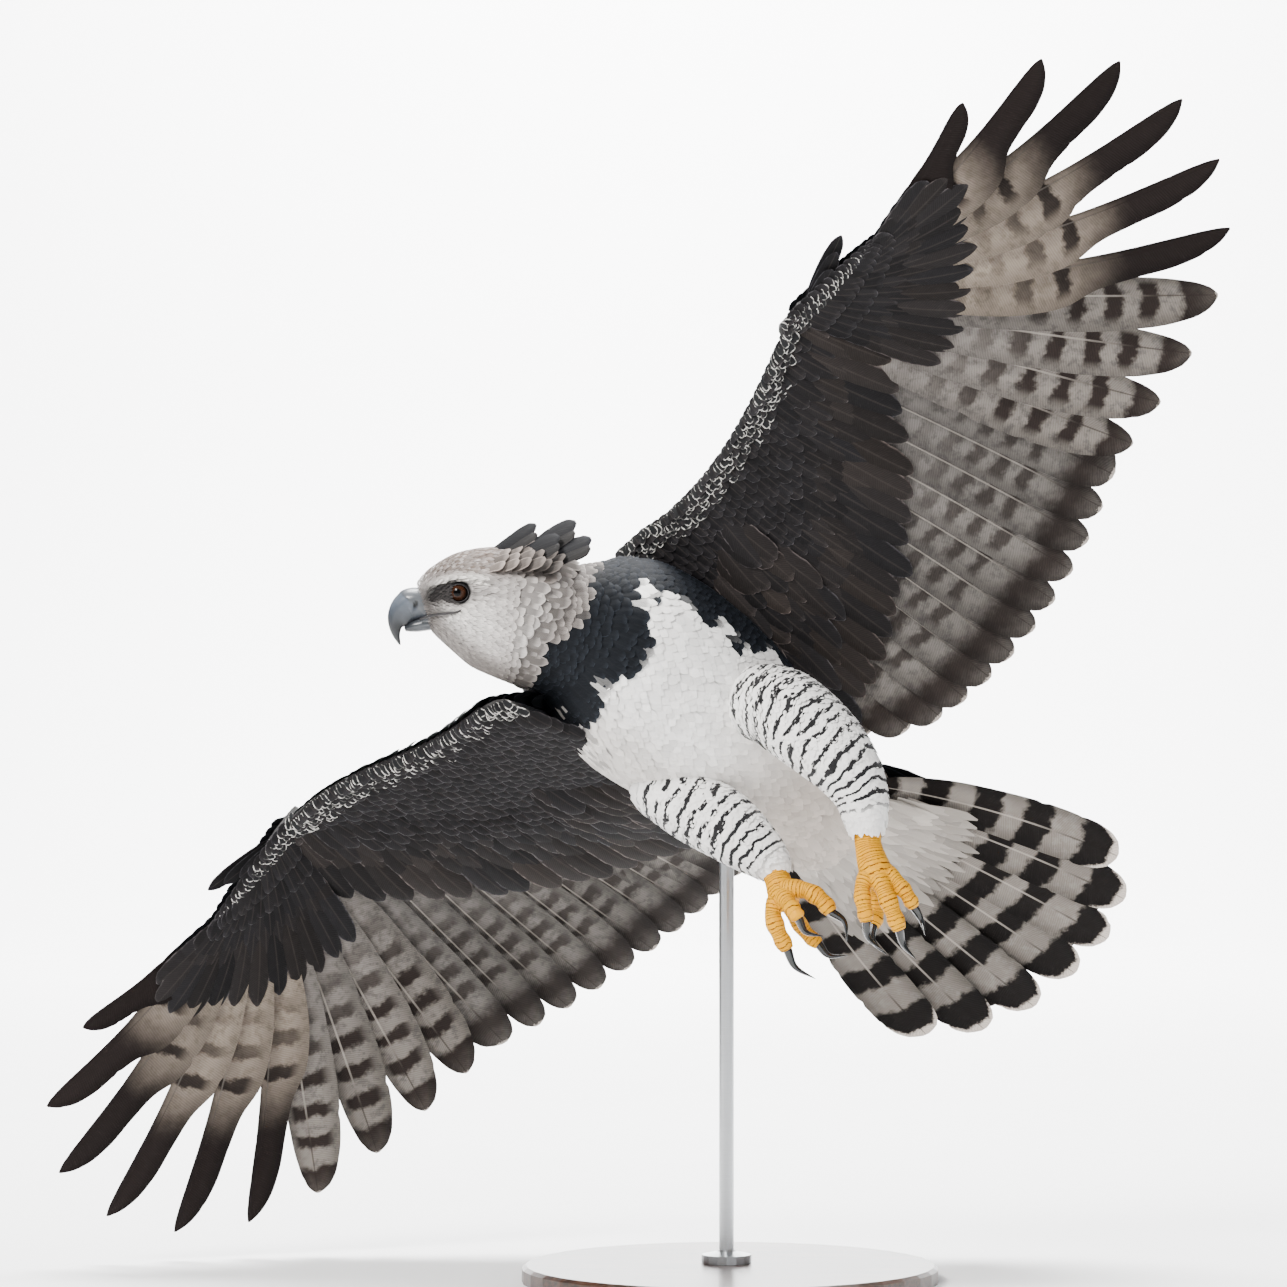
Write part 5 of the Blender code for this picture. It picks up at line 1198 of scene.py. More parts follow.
def tube(points, rows, sides, hint=(0.0, -1.0, 0.0), scale=1.0, flat=1.0):
    """Rings of a circle whose radius is the fourth column, carried along the cubic through the points."""
    curve = bend(points, np.linspace(0.0, 1.0, rows))
    first, second = frames_along(curve[:, :3], np.asarray(hint, float))
    angle = 2 * np.pi * np.arange(sides) / sides
    radius = (curve[:, 3] * scale)[:, None, None]
    circle = first[:, None] * np.cos(angle)[:, None] + flat * second[:, None] * np.sin(angle)[:, None]
    return curve[:, None, :3] + radius * circle


THIGH_RINGS = {side: tube(points, 14, 16) for side, points in THIGHS.items()}


# %% [markdown]
# Under the feathers is one skin for the whole bird. Each part is a closed shell a few millimetres inside
# its solid; the shells are fused by a voxel remesh and smoothed, so no seam shows where neck, legs and
# wings join. The eye sockets are pressed in afterwards.

# %% The skin
def grid_of(rings, rows, sides, depth, out, place=None):
    """Rings of a shell that lies the depth inside a ringed surface."""
    u, v = np.meshgrid(np.linspace(0.0, 1.0, rows), np.arange(sides) / sides, indexing="ij")
    p, n, _ = on_skin(rings, u, v, out) if place is None else place(u, v)
    return p - n * depth


def wing_shells(pose):
    """Arm and hand sections drawn in by 3 mm, from the armpit to the last quill."""
    angle = 2 * np.pi * np.arange(24) / 24
    s, face = (1 - np.cos(angle)) / 2, np.where(np.sin(angle) >= 0, 1.0, -1.0)
    arm = []
    for u in np.linspace(-0.05, 1.28, 16):
        front, back, up, thick = arm_chord(pose, np.array([u]))
        half = (thick - 0.003) * (4 * s * (1 - s))**0.35 * (1 - 0.5 * s)
        rise = face * half + 0.1 * np.linalg.norm(back - front) * s * (1 - s)
        centre, inset = (front + back) / 2, 0.94
        line = centre + (front + (back - front) * s[:, None] - centre) * inset
        arm.append(line + up * rise[:, None])
    hand = [hand_flesh_point(pose, np.full(24, out), 0.06 + 0.88 * s, face * 0.8)
            for out in np.linspace(-0.03, 0.15, 9)]
    return [to_world(pose, np.array(arm)), to_world(pose, np.array(hand))]


def shell_mesh(shells):
    """One mesh of many closed ring shells, each with its faces turned outwards."""
    work = bmesh.new()
    for rings in shells:
        rows, sides, _ = rings.shape
        quads, caps = ring_faces(rows, sides)
        piece = bpy.data.meshes.new("shell")
        piece.from_pydata(rings.reshape(-1, 3).tolist(), [], quads.tolist() + caps.tolist())
        work.from_mesh(piece)
        bpy.data.meshes.remove(piece)
    bmesh.ops.recalc_face_normals(work, faces=work.faces)
    mesh = bpy.data.meshes.new("shells")
    work.to_mesh(mesh)
    work.free()
    return mesh


SKIN_VOXEL, FOOT_VOXEL, SMOOTHINGS = 0.0042, 0.001, 5
SOCKET_DEPTH = 0.0095


def remeshed(mesh, voxel):
    """Voxel remesh, which fuses what overlaps, then each point smoothed towards its neighbours' mean."""
    thing = bpy.data.objects.new("remesh", mesh)
    bpy.context.scene.collection.objects.link(thing)
    fuse = thing.modifiers.new("fuse", "REMESH")
    fuse.mode, fuse.voxel_size = "VOXEL", voxel
    soften = thing.modifiers.new("soften", "SMOOTH")
    soften.factor, soften.iterations = 0.5, SMOOTHINGS
    bpy.context.view_layer.update()
    result = bpy.data.meshes.new_from_object(thing.evaluated_get(bpy.context.evaluated_depsgraph_get()))
    bpy.data.objects.remove(thing, do_unlink=True)
    bpy.data.meshes.remove(mesh)
    return result


def fused_piece(name, mesh, points, material, slot, replaced, **layers):
    """A remeshed skin as a finished piece: its moved points, its attributes, one smooth material."""
    mesh.vertices.foreach_set("co", points.astype(np.float32).ravel())
    for key, values in layers.items():
        add_layer(mesh, key, values)
    mesh.materials.clear()
    mesh.materials.append(material)
    mesh.polygons.foreach_set("use_smooth", np.ones(len(mesh.polygons), bool))
    mesh.name = name
    settle(bpy.data.objects.new(name, mesh), replaced)
    print(name, len(points), "points")


def mesh_arrays(mesh):
    """Point and normal arrays of a mesh."""
    both = np.empty((2, len(mesh.vertices) * 3), np.float32)
    mesh.vertices.foreach_get("co", both[0])
    mesh.vertices.foreach_get("normal", both[1])
    return both.reshape(2, -1, 3).astype(float)


def skin_colour(p):
    """Head's colours ahead of the neck, white legs, the wings' dark beside the body, else the trunk's."""
    q = to_body(p)
    colour = blend_colours(step(neck_share(p), -0.02, 0.04), head_colour(p), trunk_colour(p))
    leg = step(-q[:, 2], 0.118, 0.13) * step(0.16 - q[:, 0], 0.0, 0.02)
    far = step(np.abs(q[:, 1]), 0.15, 0.16)
    low = step(-0.5 * q[:, 1] - 0.85 * q[:, 2], 0.118, 0.126) * step(q[:, 0], 0.1, 0.115)
    wing = np.maximum.reduce([beside_trunk(q) * step(neck_share(p), 0.3, 0.5), far, low * (q[:, 1] < -0.03)])
    wing = wing * (1 - leg * (1 - far))
    return blend_colours(leg * (1 - wing), blend_colours(wing, colour, WING_BLACK), DOWN)


FLESH = ["torso", "neck", "head", "thigh_left", "thigh_right", "tail"]
FLESH += ["wing_" + side + part for side in ("left", "right") for part in ("_arm", "_hand")]
shells = [grid_of(HEAD, 34, 40, 0.0035, HEAD_OUT, head_place), grid_of(TRUNK, 60, 56, 0.006, TRUNK_OUT)]
shells += [tube(points, 16, 20, scale=0.88) for points in THIGHS.values()]
for pose in WING_POSES.values():
    shells += wing_shells(pose)
skin_mesh = remeshed(shell_mesh(shells), SKIN_VOXEL)
points, normals = mesh_arrays(skin_mesh)
near = (1 - step(eye_distance(points), 0.0105, 0.015)) * step(np.abs(in_head(points)[:, 1]), 0.018, 0.024)
points -= normals * (SOCKET_DEPTH * near)[:, None]
skin_material, add, shader = new_material("down over skin", 0.9, Sheen_Weight=0.1, Sheen_Roughness=0.5)
tint, place = tint_and_place(add)
fluff = add("TexNoise", place, 420.0, 4.0, 0.7)
shade = add("Math MULTIPLY_ADD", fluff, 0.7, 0.6)
colour = add("Mix RGBA MULTIPLY", 1.0, tint, shade)
connect(shader, Base_Color=colour, Normal=add("Bump", 0.5, 0.0015, None, fluff))
fused_piece("skin", skin_mesh, points, skin_material, "white_feather", FLESH, tint=rgba(skin_colour(points)))

# %% [markdown]
# Body feathers lie in staggered rows from bill to tail. Each is a leaf from a root just under the skin to
# a tip just above it, found on the same surface further along, so a coat of thousands follows every curve.

# %% Rows of roots on a ringed surface
def staggered(rings, gap_along, gap_around, first, last):
    """Places (u, v) in rows; a row's step is gap_along / path speed and its count the girth / gap_around.

    Both gaps are given at marks along u and read between them. Every second row is shifted by half a step.
    """
    middle = rings.mean(axis=1)
    pace = np.linalg.norm(np.gradient(middle, axis=0), axis=1) * (len(rings) - 1)
    girth = np.linalg.norm(rings - np.roll(rings, 1, axis=1), axis=2).sum(axis=1)
    at = np.linspace(0.0, 1.0, len(rings))
    us, vs, u, number = [], [], first, 0
    while u < last:
        along = np.interp(u, gap_along[0], gap_along[1])
        around = np.interp(u, gap_around[0], gap_around[1])
        count = max(int(np.interp(u, at, girth) / around), 6)
        v = (np.arange(count) + 0.5 * (number % 2) + rng.uniform(-0.18, 0.18, count)) / count
        step_u = along / np.interp(u, at, pace)
        us.append(u + rng.uniform(-0.2, 0.2, count) * step_u)
        vs.append(v)
        u += step_u
        number += 1
    return np.concatenate(us), np.mod(np.concatenate(vs), 1.0)


COLOUR_AT = 0.75


def coat(name, surface, u, v, length, half, sink, rise, bow, colour, material, replaced, slot, outline,
         keep=None, **more):
    """Leaves whose roots lie sink under a surface and whose tips lie rise above it, length further along it.

    Each takes its colour from the marking at the share COLOUR_AT of the way to its tip.
    """
    p, n, du = surface(u, v)
    ahead = length / np.linalg.norm(du, axis=1)
    tip, n_tip, _ = surface(np.minimum(u + ahead, 1.0), v)
    mask = np.ones(len(u), bool) if keep is None else keep(p)
    p, n, tip, n_tip, u, v = p[mask], n[mask], tip[mask], n_tip[mask], u[mask], v[mask]
    pick = lambda x: np.asarray(x)[mask] if np.ndim(x) else np.full(mask.sum(), float(x))
    tip = tip + n_tip * pick(rise)[:, None]
    root = p - n * pick(sink)[:, None]
    points, value = leaves(root, tip, n + n_tip, pick(half), outline=outline, bow=bow, **more)
    tint = colour(root * (1 - COLOUR_AT) + tip * COLOUR_AT)
    tint = tint * (1 + rng.uniform(-0.07, 0.05, (len(tint), 1)))
    place = np.stack([u, v], axis=1)
    return feather_piece(name, points, value, tint, material, replaced, slot, place)


# %% [markdown]
# The smallest feathers stand round the bill, and they grow towards the ruff and down the body. Where the
# marking is dark a feather is black and wider, so that the dark parts look tiled and the white ones soft.

# %% Coat of head, neck, trunk and rump
def trunk_surface(u, v):
    """The trunk's ringed surface with its outward side."""
    return on_skin(TRUNK, u, v, TRUNK_OUT)


def off_face(p):
    """True away from the eyes."""
    return (eye_distance(p) > 0.0142) | (np.abs(in_head(p)[:, 1]) < 0.018)


BODY_LEAF = outline_of(((0.0, 0.35), (0.3, 0.86), (0.62, 1.0), (0.86, 0.78), (1.0, 0.16)), 5)
SCALE_LEAF = outline_of(((0.0, 0.55), (0.35, 0.92), (0.65, 1.0), (0.85, 0.84), (0.96, 0.5), (1.0, 0.16)), 7)
u, v = staggered(HEAD, ((0.0, 0.25, 0.6), (0.0025, 0.0029, 0.0048)),
                 ((0.0, 0.25, 0.6), (0.0026, 0.0031, 0.0048)), 0.012, 0.6)
length = np.interp(u, (0.0, 0.25, 0.6), (0.006, 0.0095, 0.018)) * rng.uniform(0.85, 1.25, len(u))
half = np.interp(u, (0.0, 0.25, 0.6), (0.0012, 0.0017, 0.0032))
coat("face_coat", head_place, u, v, length, half, 0.002, np.interp(u, (0.0, 0.5), (0.0004, 0.0014)), 0.1,
     head_colour, fine_face, ["head"], "grey_feather", BODY_LEAF, off_face, cup=0.16, thick=0.0003,
     ragged=0.2)
u, v = staggered(HEAD, ((0.52, 0.66, 0.8), (0.0075, 0.0092, 0.0105)),
                 ((0.52, 0.66, 0.8), (0.01, 0.0125, 0.014)), 0.52, 0.8)
length = np.interp(u, (0.52, 0.66, 0.8), (0.016, 0.02, 0.024)) * rng.uniform(0.88, 1.12, len(u))
half = np.interp(u, (0.52, 0.66, 0.8), (0.006, 0.008, 0.0092)) * rng.uniform(0.82, 1.12, len(u))
coat("scalloped_coat", head_place, u, v, length, half, 0.0024, np.interp(u, (0.52, 0.66), (0.0018, 0.0036)),
     0.1, head_colour, grey_face, ["head"], "grey_feather", SCALE_LEAF, off_face, cup=0.34, thick=0.0004,
     ragged=0.06)

u, v = staggered(TRUNK, ((0.0, 0.25, 0.4, 1.0), (0.008, 0.0082, 0.0084, 0.008)),
                 ((0.0, 0.25, 0.4, 1.0), (0.009, 0.0098, 0.0096, 0.0088)), 0.045, 0.985)
length = np.interp(u, (0.0, 0.25, 0.5, 1.0), (0.022, 0.024, 0.027, 0.034)) * rng.uniform(0.82, 1.18, len(u))
half = np.interp(u, (0.0, 0.25, 0.5, 1.0), (0.008, 0.0082, 0.0084, 0.0078))
p, n, du = trunk_surface(u, v)
dark = trunk_black(p + unit(du) * (COLOUR_AT * length)[:, None]) > 0.5
for name, chosen, wide, rise, material, slot, leaf, more in (
        ("white_coat", ~dark, 0.9, 0.0014, white_down, "white_feather", BODY_LEAF,
         dict(cup=0.1, ragged=0.34)),
        ("black_coat", dark, 1.15, 0.0024, black_plume, "black_feather", SCALE_LEAF,
         dict(cup=0.3, ragged=0.08))):
    coat(name, trunk_surface, u[chosen], v[chosen], length[chosen], half[chosen] * wide, 0.004, rise, 0.06,
         trunk_colour, material, ["torso", "neck", "tail"], slot, leaf, thick=0.0005, **more)

# %% [markdown]
# The ruff is a rim of longer grey feathers round the face, which the harpy raises to hear. The crest is a
# double row of broad dark plumes that fan out from the back of the crown.

# %% Ruff and crest
# Columns: share along the head at root and tip, rise, half width, count, share of the nape's grey.
RUFF_ROWS = ((0.62, 0.8, 0.0048, 0.0092, 34, 0.05), (0.68, 0.87, 0.006, 0.01, 32, 0.35),
             (0.73, 0.92, 0.0062, 0.0105, 32, 0.75))
for number, (start, end, rise, half_width, count, grey) in enumerate(RUFF_ROWS):
    v = (np.arange(count) + 0.5 * (number % 2) + rng.uniform(-0.2, 0.2, count)) / count
    begin = np.full(count, start) + rng.uniform(-0.012, 0.012, count)
    root, n, _ = head_place(begin, v)
    tip, n_tip, _ = on_skin(HEAD, np.full(count, end) + rng.uniform(-0.018, 0.018, count), v, HEAD_OUT)
    points, value = leaves(root - n * 0.002, tip + n_tip * rise, n + n_tip, half_width, outline=SCALE_LEAF,
                           bow=0.08, cup=0.36, thick=0.0006, ragged=0.08)
    tint = blend_colours(np.full(count, grey), head_colour(root), NAPE)
    tint = tint * rng.uniform(0.82, 1.12, (count, 1))
    feather_piece("ruff_" + str(number + 1), points, value, tint, grey_face, ["head"], "grey_feather",
                  np.stack([begin, v], axis=1))

# Columns: root, tip, half width.
CREST = (((-0.016, 0.012, 0.066), (-0.066, 0.02, 0.101), 0.0085),
         ((-0.046, 0.014, 0.062), (-0.113, 0.026, 0.104), 0.0115),
         ((-0.066, 0.026, 0.054), (-0.131, 0.04, 0.084), 0.0105),
         ((-0.04, 0.026, 0.058), (-0.094, 0.04, 0.086), 0.011),
         ((-0.048, 0.0, 0.064), (-0.106, 0.0, 0.098), 0.012))
CREST_LEAF = outline_of(((0.0, 0.4), (0.3, 0.85), (0.6, 1.0), (0.82, 0.94), (0.93, 0.7), (1.0, 0.14)), 18)
FLIP = np.array([-1.0, -1.0, 1.0])


def crest_plumes():
    """The named plumes in pairs, each with two slighter ones beside it that end a little short of it."""
    rows = []
    for root, tip, half_width in CREST:
        for side in (1.0, -1.0) if tip[1] else (0.0,):
            mirror = np.array([1.0, side, 1.0])
            for back, aside, low, share, wide in ((0.0, 0.0, 0.0, 1.0, 1.0),
                                                  (0.008, 0.007, 0.006, 0.86, 0.9),
                                                  (-0.008, -0.005, 0.004, 0.8, 0.8)):
                shift = np.array([-back, aside, -low])
                start = (np.array(root) + shift) * mirror
                end = start + (np.array(tip) - np.array(root)) * mirror * share
                rows.append((start, end, np.array([0.35, 0.9, 0.55]) * mirror, half_width * wide, share))
    root, tip, up, half, share = (np.array(part) for part in zip(*rows))
    return from_head(root), from_head(tip), up * FLIP, half, share


def crown_scales():
    """Short broad feathers on the back of the crown, raised the more the nearer they stand to the crest."""
    rows = []
    place_count = 9
    for back, rise, reach, half_width in ((0.012, 22, 0.026, 0.008), (0.024, 27, 0.03, 0.0088),
                                          (0.036, 31, 0.034, 0.0095), (0.048, 31, 0.038, 0.0098),
                                          (0.06, 27, 0.036, 0.0098), (0.072, 22, 0.034, 0.0098)):
        place = np.linspace(-1.0, 1.0, place_count) + rng.uniform(-0.04, 0.04, place_count)
        a, fan = np.radians(rise * (1 - 0.45 * place**2)), np.radians(38.0 * place)
        low = 0.0185 * place**2 + 0.06 * max(back - 0.03, 0.0)
        root = np.stack([np.full(place_count, -back), 0.044 * place, 0.0655 - low], axis=1)
        along = np.stack([-np.cos(a) * np.cos(fan), np.cos(a) * np.sin(fan), np.sin(a)], axis=1)
        up = np.stack([np.sin(a), 1.1 * place, np.cos(a)], axis=1)
        reach = reach * rng.uniform(0.9, 1.1, (place_count, 1))
        rows.append((from_head(root), from_head(root + along * reach), up * FLIP, half_width, back))
    return joined(rows)


root, tip, up, half, share = crest_plumes()
points, value = leaves(root, tip, up, half, outline=CREST_LEAF, bow=0.04, cup=0.16, thick=0.0008,
                       shaft=0.0004, columns=COVERT_COLUMNS, ragged=0.1)
tint = blend_colours(step(share, 0.8, 1.0), paint("#2a2827"), paint("#1d1d20"))
tint = tint * rng.uniform(0.85, 1.15, (len(share), 1))
feather_piece("crest_plumes", points, value, tint, crest_plume, ["head"], "grey_feather",
              np.stack([0.7 + 0.02 * share, np.linspace(0.2, 0.3, len(share))], axis=1))
root, tip, up, half, back = crown_scales()
points, value = leaves(root, tip, up, half, outline=SCALE_LEAF, bow=0.05, cup=0.22, thick=0.0006, ragged=0.1)
tint = blend_colours(step(back, 0.01, 0.07), paint("#857b74"), paint("#544e4a"))
tint = tint * rng.uniform(0.8, 1.18, (len(back), 1))
feather_piece("crown_scales", points, value, tint, grey_face, ["head"], "grey_feather",
              np.stack([0.45 + 3.0 * back, np.linspace(0.2, 0.3, len(back))], axis=1))

# %% [markdown]
# The thighs wear white trousers of soft feathers with thin, broken black bars. The bars go round the leg,
# so each feather also carries its distance down the leg, and the shader draws the bars from that.

# %% Thighs
def barred_down(name, length):
    """White down with a bar in a third of each 13.5 mm down the leg, a distance that noise bends."""
    material, add, shader = new_material(name, 0.85, Sheen_Weight=0.15, Sheen_Roughness=0.5,
                                         Specular_IOR_Level=0.2)
    tint, place = tint_and_place(add)
    tip, size, _ = vane_sockets(add)
    normal, height = barbs(add, tip, size, place)
    down = add("SeparateXYZ", add("Attribute", attribute_name="lie", output="Vector"))
    cloud = add("Math SUBTRACT", add("TexNoise", place, 22.0, 2.0), 0.5)
    fine = add("Math SUBTRACT", add("TexNoise", place, 210.0, 3.0), 0.5)
    bent = add("Math MULTIPLY_ADD", fine, 0.0022, down)
    bent = add("Math MULTIPLY_ADD", cloud, 0.03, bent)
    phase = add("Math DIVIDE", bent, 0.0135)
    phase = add("Math SUBTRACT", add("Math FRACT", phase), 0.5)
    away = add("Math ABSOLUTE", phase)
    bar = add("MapRange SMOOTHSTEP", away, 0.185, 0.145)
    gaps = add("MapRange SMOOTHSTEP", add("TexNoise", place, 62.0, 2.0), 0.37, 0.42)
    begun = add("MapRange SMOOTHSTEP", down, 0.012, 0.03)
    ended = add("MapRange SMOOTHSTEP", down, length - 0.012, length - 0.04)
    bar = add("Math MULTIPLY", bar, gaps)
    bar = add("Math MULTIPLY", bar, begun)
    bar = add("Math MULTIPLY", bar, ended)
    shade = add("Math MULTIPLY_ADD", height, 0.06, 0.97)
    colour = add("Mix RGBA", bar, tint, "#1a191b")
    colour = add("Mix RGBA MULTIPLY", 1.0, colour, shade)
    connect(shader, Base_Color=colour, Normal=normal)
    return material


for side, rings in THIGH_RINGS.items():
    out = outwards(rings)
    surface = lambda u, v: on_skin(rings, u, v, out)
    path = float(np.linalg.norm(np.diff(rings.mean(axis=1), axis=0), axis=1).sum())
    u, v = staggered(rings, ((0.0, 1.0), (0.007, 0.005)), ((0.0, 1.0), (0.0072, 0.0052)), 0.02, 0.985)
    p, n, du = surface(u, v)
    length = np.interp(u, (0.0, 0.8, 1.0), (0.026, 0.019, 0.017)) * rng.uniform(0.75, 1.25, len(u))
    ahead = length / np.linalg.norm(du, axis=1)
    tip, n_tip, _ = surface(np.minimum(u + ahead, 1.0), v)
    beyond = np.maximum(u + ahead - 1.0, 0.0)
    root = p - n * 0.003
    tip = tip + n_tip * (0.0016 - 0.003 * beyond / 0.1)[:, None] + beyond[:, None] * du
    half = np.interp(u, (0.0, 1.0), (0.0078, 0.0052))
    points, value = leaves(root, tip, n + n_tip, half, outline=BODY_LEAF, bow=0.05, cup=0.22, thick=0.0005,
                           ragged=0.4)
    lie = np.zeros_like(value)
    lie[..., 0] = (u * path)[:, None, None] + length[:, None, None] - value[..., 0]
    tint = DOWN * rng.uniform(0.93, 1.04, (len(u), 1))
    feather_piece("thigh_coat_" + side, points, value, tint, barred_down("barred white down " + side, path),
                  ["thigh_" + side], "white_feather", np.stack([u, v], axis=1), lie=lie.reshape(-1, 3))

# %% [markdown]
# Under the tail the belly's down runs out in long grey fluff over the roots of the tail feathers, and on
# top dark coverts do the same. Each reaches a set distance along the tail's own quills.

# %% Coverts of the tail
RUMP_LOW = ((0.0, 0.05, 0.075, 0.1, 0.16, 0.26), (0.046, 0.034, 0.024, 0.013, 0.008, 0.006))
RUMP_HIGH = ((0.0, 0.05, 0.075, 0.1, 0.16, 0.26), (0.03, 0.018, 0.01, 0.004, 0.004, 0.004))


def tail_tier(place, end, length, face, number):
    """Root and tip on one face of the tail: the quill's point less or plus the rump's thickness there."""
    root, along, _, up, _ = tail_quills(place)
    marks = RUMP_LOW if face < 0 else RUMP_HIGH
    fan = -TAIL_STEP * 3 * np.abs(place)
    ends = []
    for d, extra in ((end - length, -0.004), (end, 0.002 + min(0.001 * number, 0.006))):
        off = fan * step(d, 0.05, 0.12) + face * (np.interp(d, *marks) + extra)
        ends.append(root + along * np.asarray(d)[:, None] + up * off[:, None])
    return ends[0], ends[1], up * face


# Columns: end, length, count, half width.
UNDERTAIL = ((0.225, 0.09, 21, 0.01), (0.205, 0.085, 22, 0.01), (0.185, 0.08, 23, 0.01),
             (0.165, 0.075, 23, 0.0098), (0.145, 0.07, 24, 0.0096), (0.125, 0.065, 24, 0.0094),
             (0.105, 0.06, 24, 0.0092), (0.085, 0.055, 24, 0.009), (0.065, 0.055, 24, 0.009),
             (0.045, 0.05, 24, 0.009))
UPPERTAIL = ((0.19, 0.12, 9, 0.023), (0.14, 0.1, 10, 0.021), (0.095, 0.08, 11, 0.019))
for name, tiers, face, material in (("undertail_fluff", UNDERTAIL, -1.0, white_down),
                                    ("uppertail_coverts", UPPERTAIL, 1.0, black_plume)):
    parts = []
    for number, (end, length, count, half) in enumerate(tiers):
        place = np.linspace(-1.0, 1.0, count) * (0.98 - 0.02 * number) + rng.uniform(-0.02, 0.02, count)
        ends = (end + rng.uniform(-0.014, 0.01, count)) * (1 - 0.12 * place**2)
        root, tip, up = tail_tier(place, ends, length, face, number)
        parts.append((root, tip, up, half, number))
    root, tip, up, half, row = joined(parts)
    points, value = leaves(root, tip, up, half, outline=BODY_LEAF if face < 0 else COVERT_LEAF, bow=0.05,
                           cup=0.18, thick=0.0006, ragged=0.55 if face < 0 else 0.08)
    if face < 0:
        tint = blend_colours(np.clip(row / 7, 0.0, 1.0), paint("#8f8982"), paint("#bdb6ae"))
    else:
        tint = np.tile(SLATE, (len(row), 1))
    feather_piece(name, points, value, tint * rng.uniform(0.8, 1.1, (len(row), 1)), material, ["tail"],
                  "tail_feather", row_places(row))

# %% [markdown]
# The bill is slate horn, polished by use, with a softer cere round the slit nostrils. Its rings follow the
# hooked centre line; towards the ridge the section narrows, so the culmen catches a line of light.

# %% Bill
BILL_UPPER = np.array(((0.061, 0.008, 0.0165, 0.0185, 0.0165), (0.08, 0.01, 0.0158, 0.024, 0.0155),
                       (0.089, 0.006, 0.0145, 0.0235, 0.0132), (0.0965, -0.003, 0.012, 0.019, 0.0105),
                       (0.1, -0.014, 0.0088, 0.0105, 0.0075), (0.0992, -0.027, 0.0052, 0.0052, 0.0045),
                       (0.0945, -0.0405, 0.0012, 0.0012, 0.0012)))
BILL_LOWER = np.array(((0.05, -0.014, 0.0085, 0.0085, 0.015), (0.072, -0.018, 0.008, 0.0078, 0.013),
                       (0.082, -0.0205, 0.006, 0.0056, 0.01), (0.0885, -0.0225, 0.0028, 0.0028, 0.0055)))
NOSTRIL = (0.0752, 0.0066)


def bill_surface(marks, rows, sides, ridge):
    """Rings square to the centre line: width * cos(a) * (1 - ridge * max(sin(a), 0)^3), height * sin(a).

    The columns are forward, up, height above the line, height below it and half width.
    """
    shares = np.linspace(0.0, 1.0, rows)
    curve = bend(marks, shares)
    centres = np.stack([curve[:, 0], np.zeros(rows), curve[:, 1]], axis=1)
    along = unit(np.gradient(centres, axis=0))
    up = np.cross(along, [0.0, 1.0, 0.0])
    a = 2 * np.pi * np.arange(sides) / sides
    wide = curve[:, 4:5] * np.cos(a) * (1 - ridge * np.maximum(np.sin(a), 0.0)**3)
    high = np.where(np.sin(a) > 0, curve[:, 2:3], curve[:, 3:4]) * np.sin(a)
    return centres[:, None] + wide[..., None] * np.array([0.0, 1.0, 0.0]) + high[..., None] * up[:, None], a


def cere_share(q):
    """1 on the cere, whose front edge slants back from the ridge to the gape."""
    return step(0.0885 - 1.1 * (0.0153 - q[..., 2]) - q[..., 0], -0.0008, 0.0008)


def ring_object(name, grids, material, replaced, slot, **attributes):
    """One smooth object from several closed ring grids, with attributes as lists of arrays."""
    quads, caps, start = [], [], 0
    for grid in grids:
        rows, sides, _ = grid.shape
        q, c = ring_faces(rows, sides, start)
        a, b, e = grid[rows // 2, 0], grid[rows // 2, 1], grid[rows // 2 + 1, 0]
        if np.cross(b - a, e - a) @ (a - grid[rows // 2].mean(axis=0)) < 0:
            q, c = q[:, ::-1], c[:, ::-1]
        quads.append(q)
        caps.append(c)
        start += rows * sides
    points = np.concatenate([grid.reshape(-1, 3) for grid in grids])
    layers = {key: np.concatenate([v.reshape(-1, v.shape[-1]) for v in value])
              for key, value in attributes.items()}
    mesh_object(name, points, quads + caps, material, slot, replaced, **layers)
    print(name, len(points), "points")


horn, add, shader = new_material("polished slate horn", 0.34, Coat_Weight=0.2, Coat_Roughness=0.18,
                                 Specular_IOR_Level=0.4)
tint, place = tint_and_place(add)
clouds = add("Math MULTIPLY_ADD", add("TexNoise", place, 140.0, 3.0), 0.5, 0.75)
colour = add("Mix RGBA MULTIPLY", 1.0, tint, clouds)
connect(shader, Base_Color=colour)
grain = add("TexNoise", place, 900.0, 3.0, 0.6)
connect(shader, Normal=add("Bump", 0.25, 0.0003, None, grain))

grid, a = bill_surface(BILL_UPPER, 60, 48, 0.3)
cere = cere_share(grid)
slant = (grid[..., 2] - NOSTRIL[1]) * 0.93 - (grid[..., 0] - NOSTRIL[0]) * 0.37
other = (grid[..., 0] - NOSTRIL[0]) * 0.93 + (grid[..., 2] - NOSTRIL[1]) * 0.37
hole = np.exp(-((slant / 0.0046)**2 + (other / 0.0025)**2)**2)
outward = unit(grid - grid.mean(axis=1, keepdims=True))
grid = grid + outward * (0.0007 * cere - 0.0034 * hole)[..., None]
edge = np.exp(-(((grid[..., 0] - 0.086) / 0.0062)**2)) * np.clip(-np.sin(a), 0.0, 1.0)**0.5
grid[..., 2] -= 0.0062 * edge
horn_colour = blend_colours(step(0.02 - grid[..., 2], 0.0, 0.042), paint("#565d67"), paint("#131519"))
colour = blend_colours(cere, horn_colour, paint("#4d5054"))
# The nostril's dent is painted near black: painted shade in its recess.
colour = blend_colours(step(hole, 0.25, 0.6), colour, paint("#08080a"))
seam = np.exp(-((cere - 0.5) / 0.3)**2) * 0.55
colour = blend_colours(seam, colour, paint("#242629"))
ring_object("bill_upper_horn", [from_head(grid)], horn, ["bill_upper"], "horn", tint=[rgba(colour)])
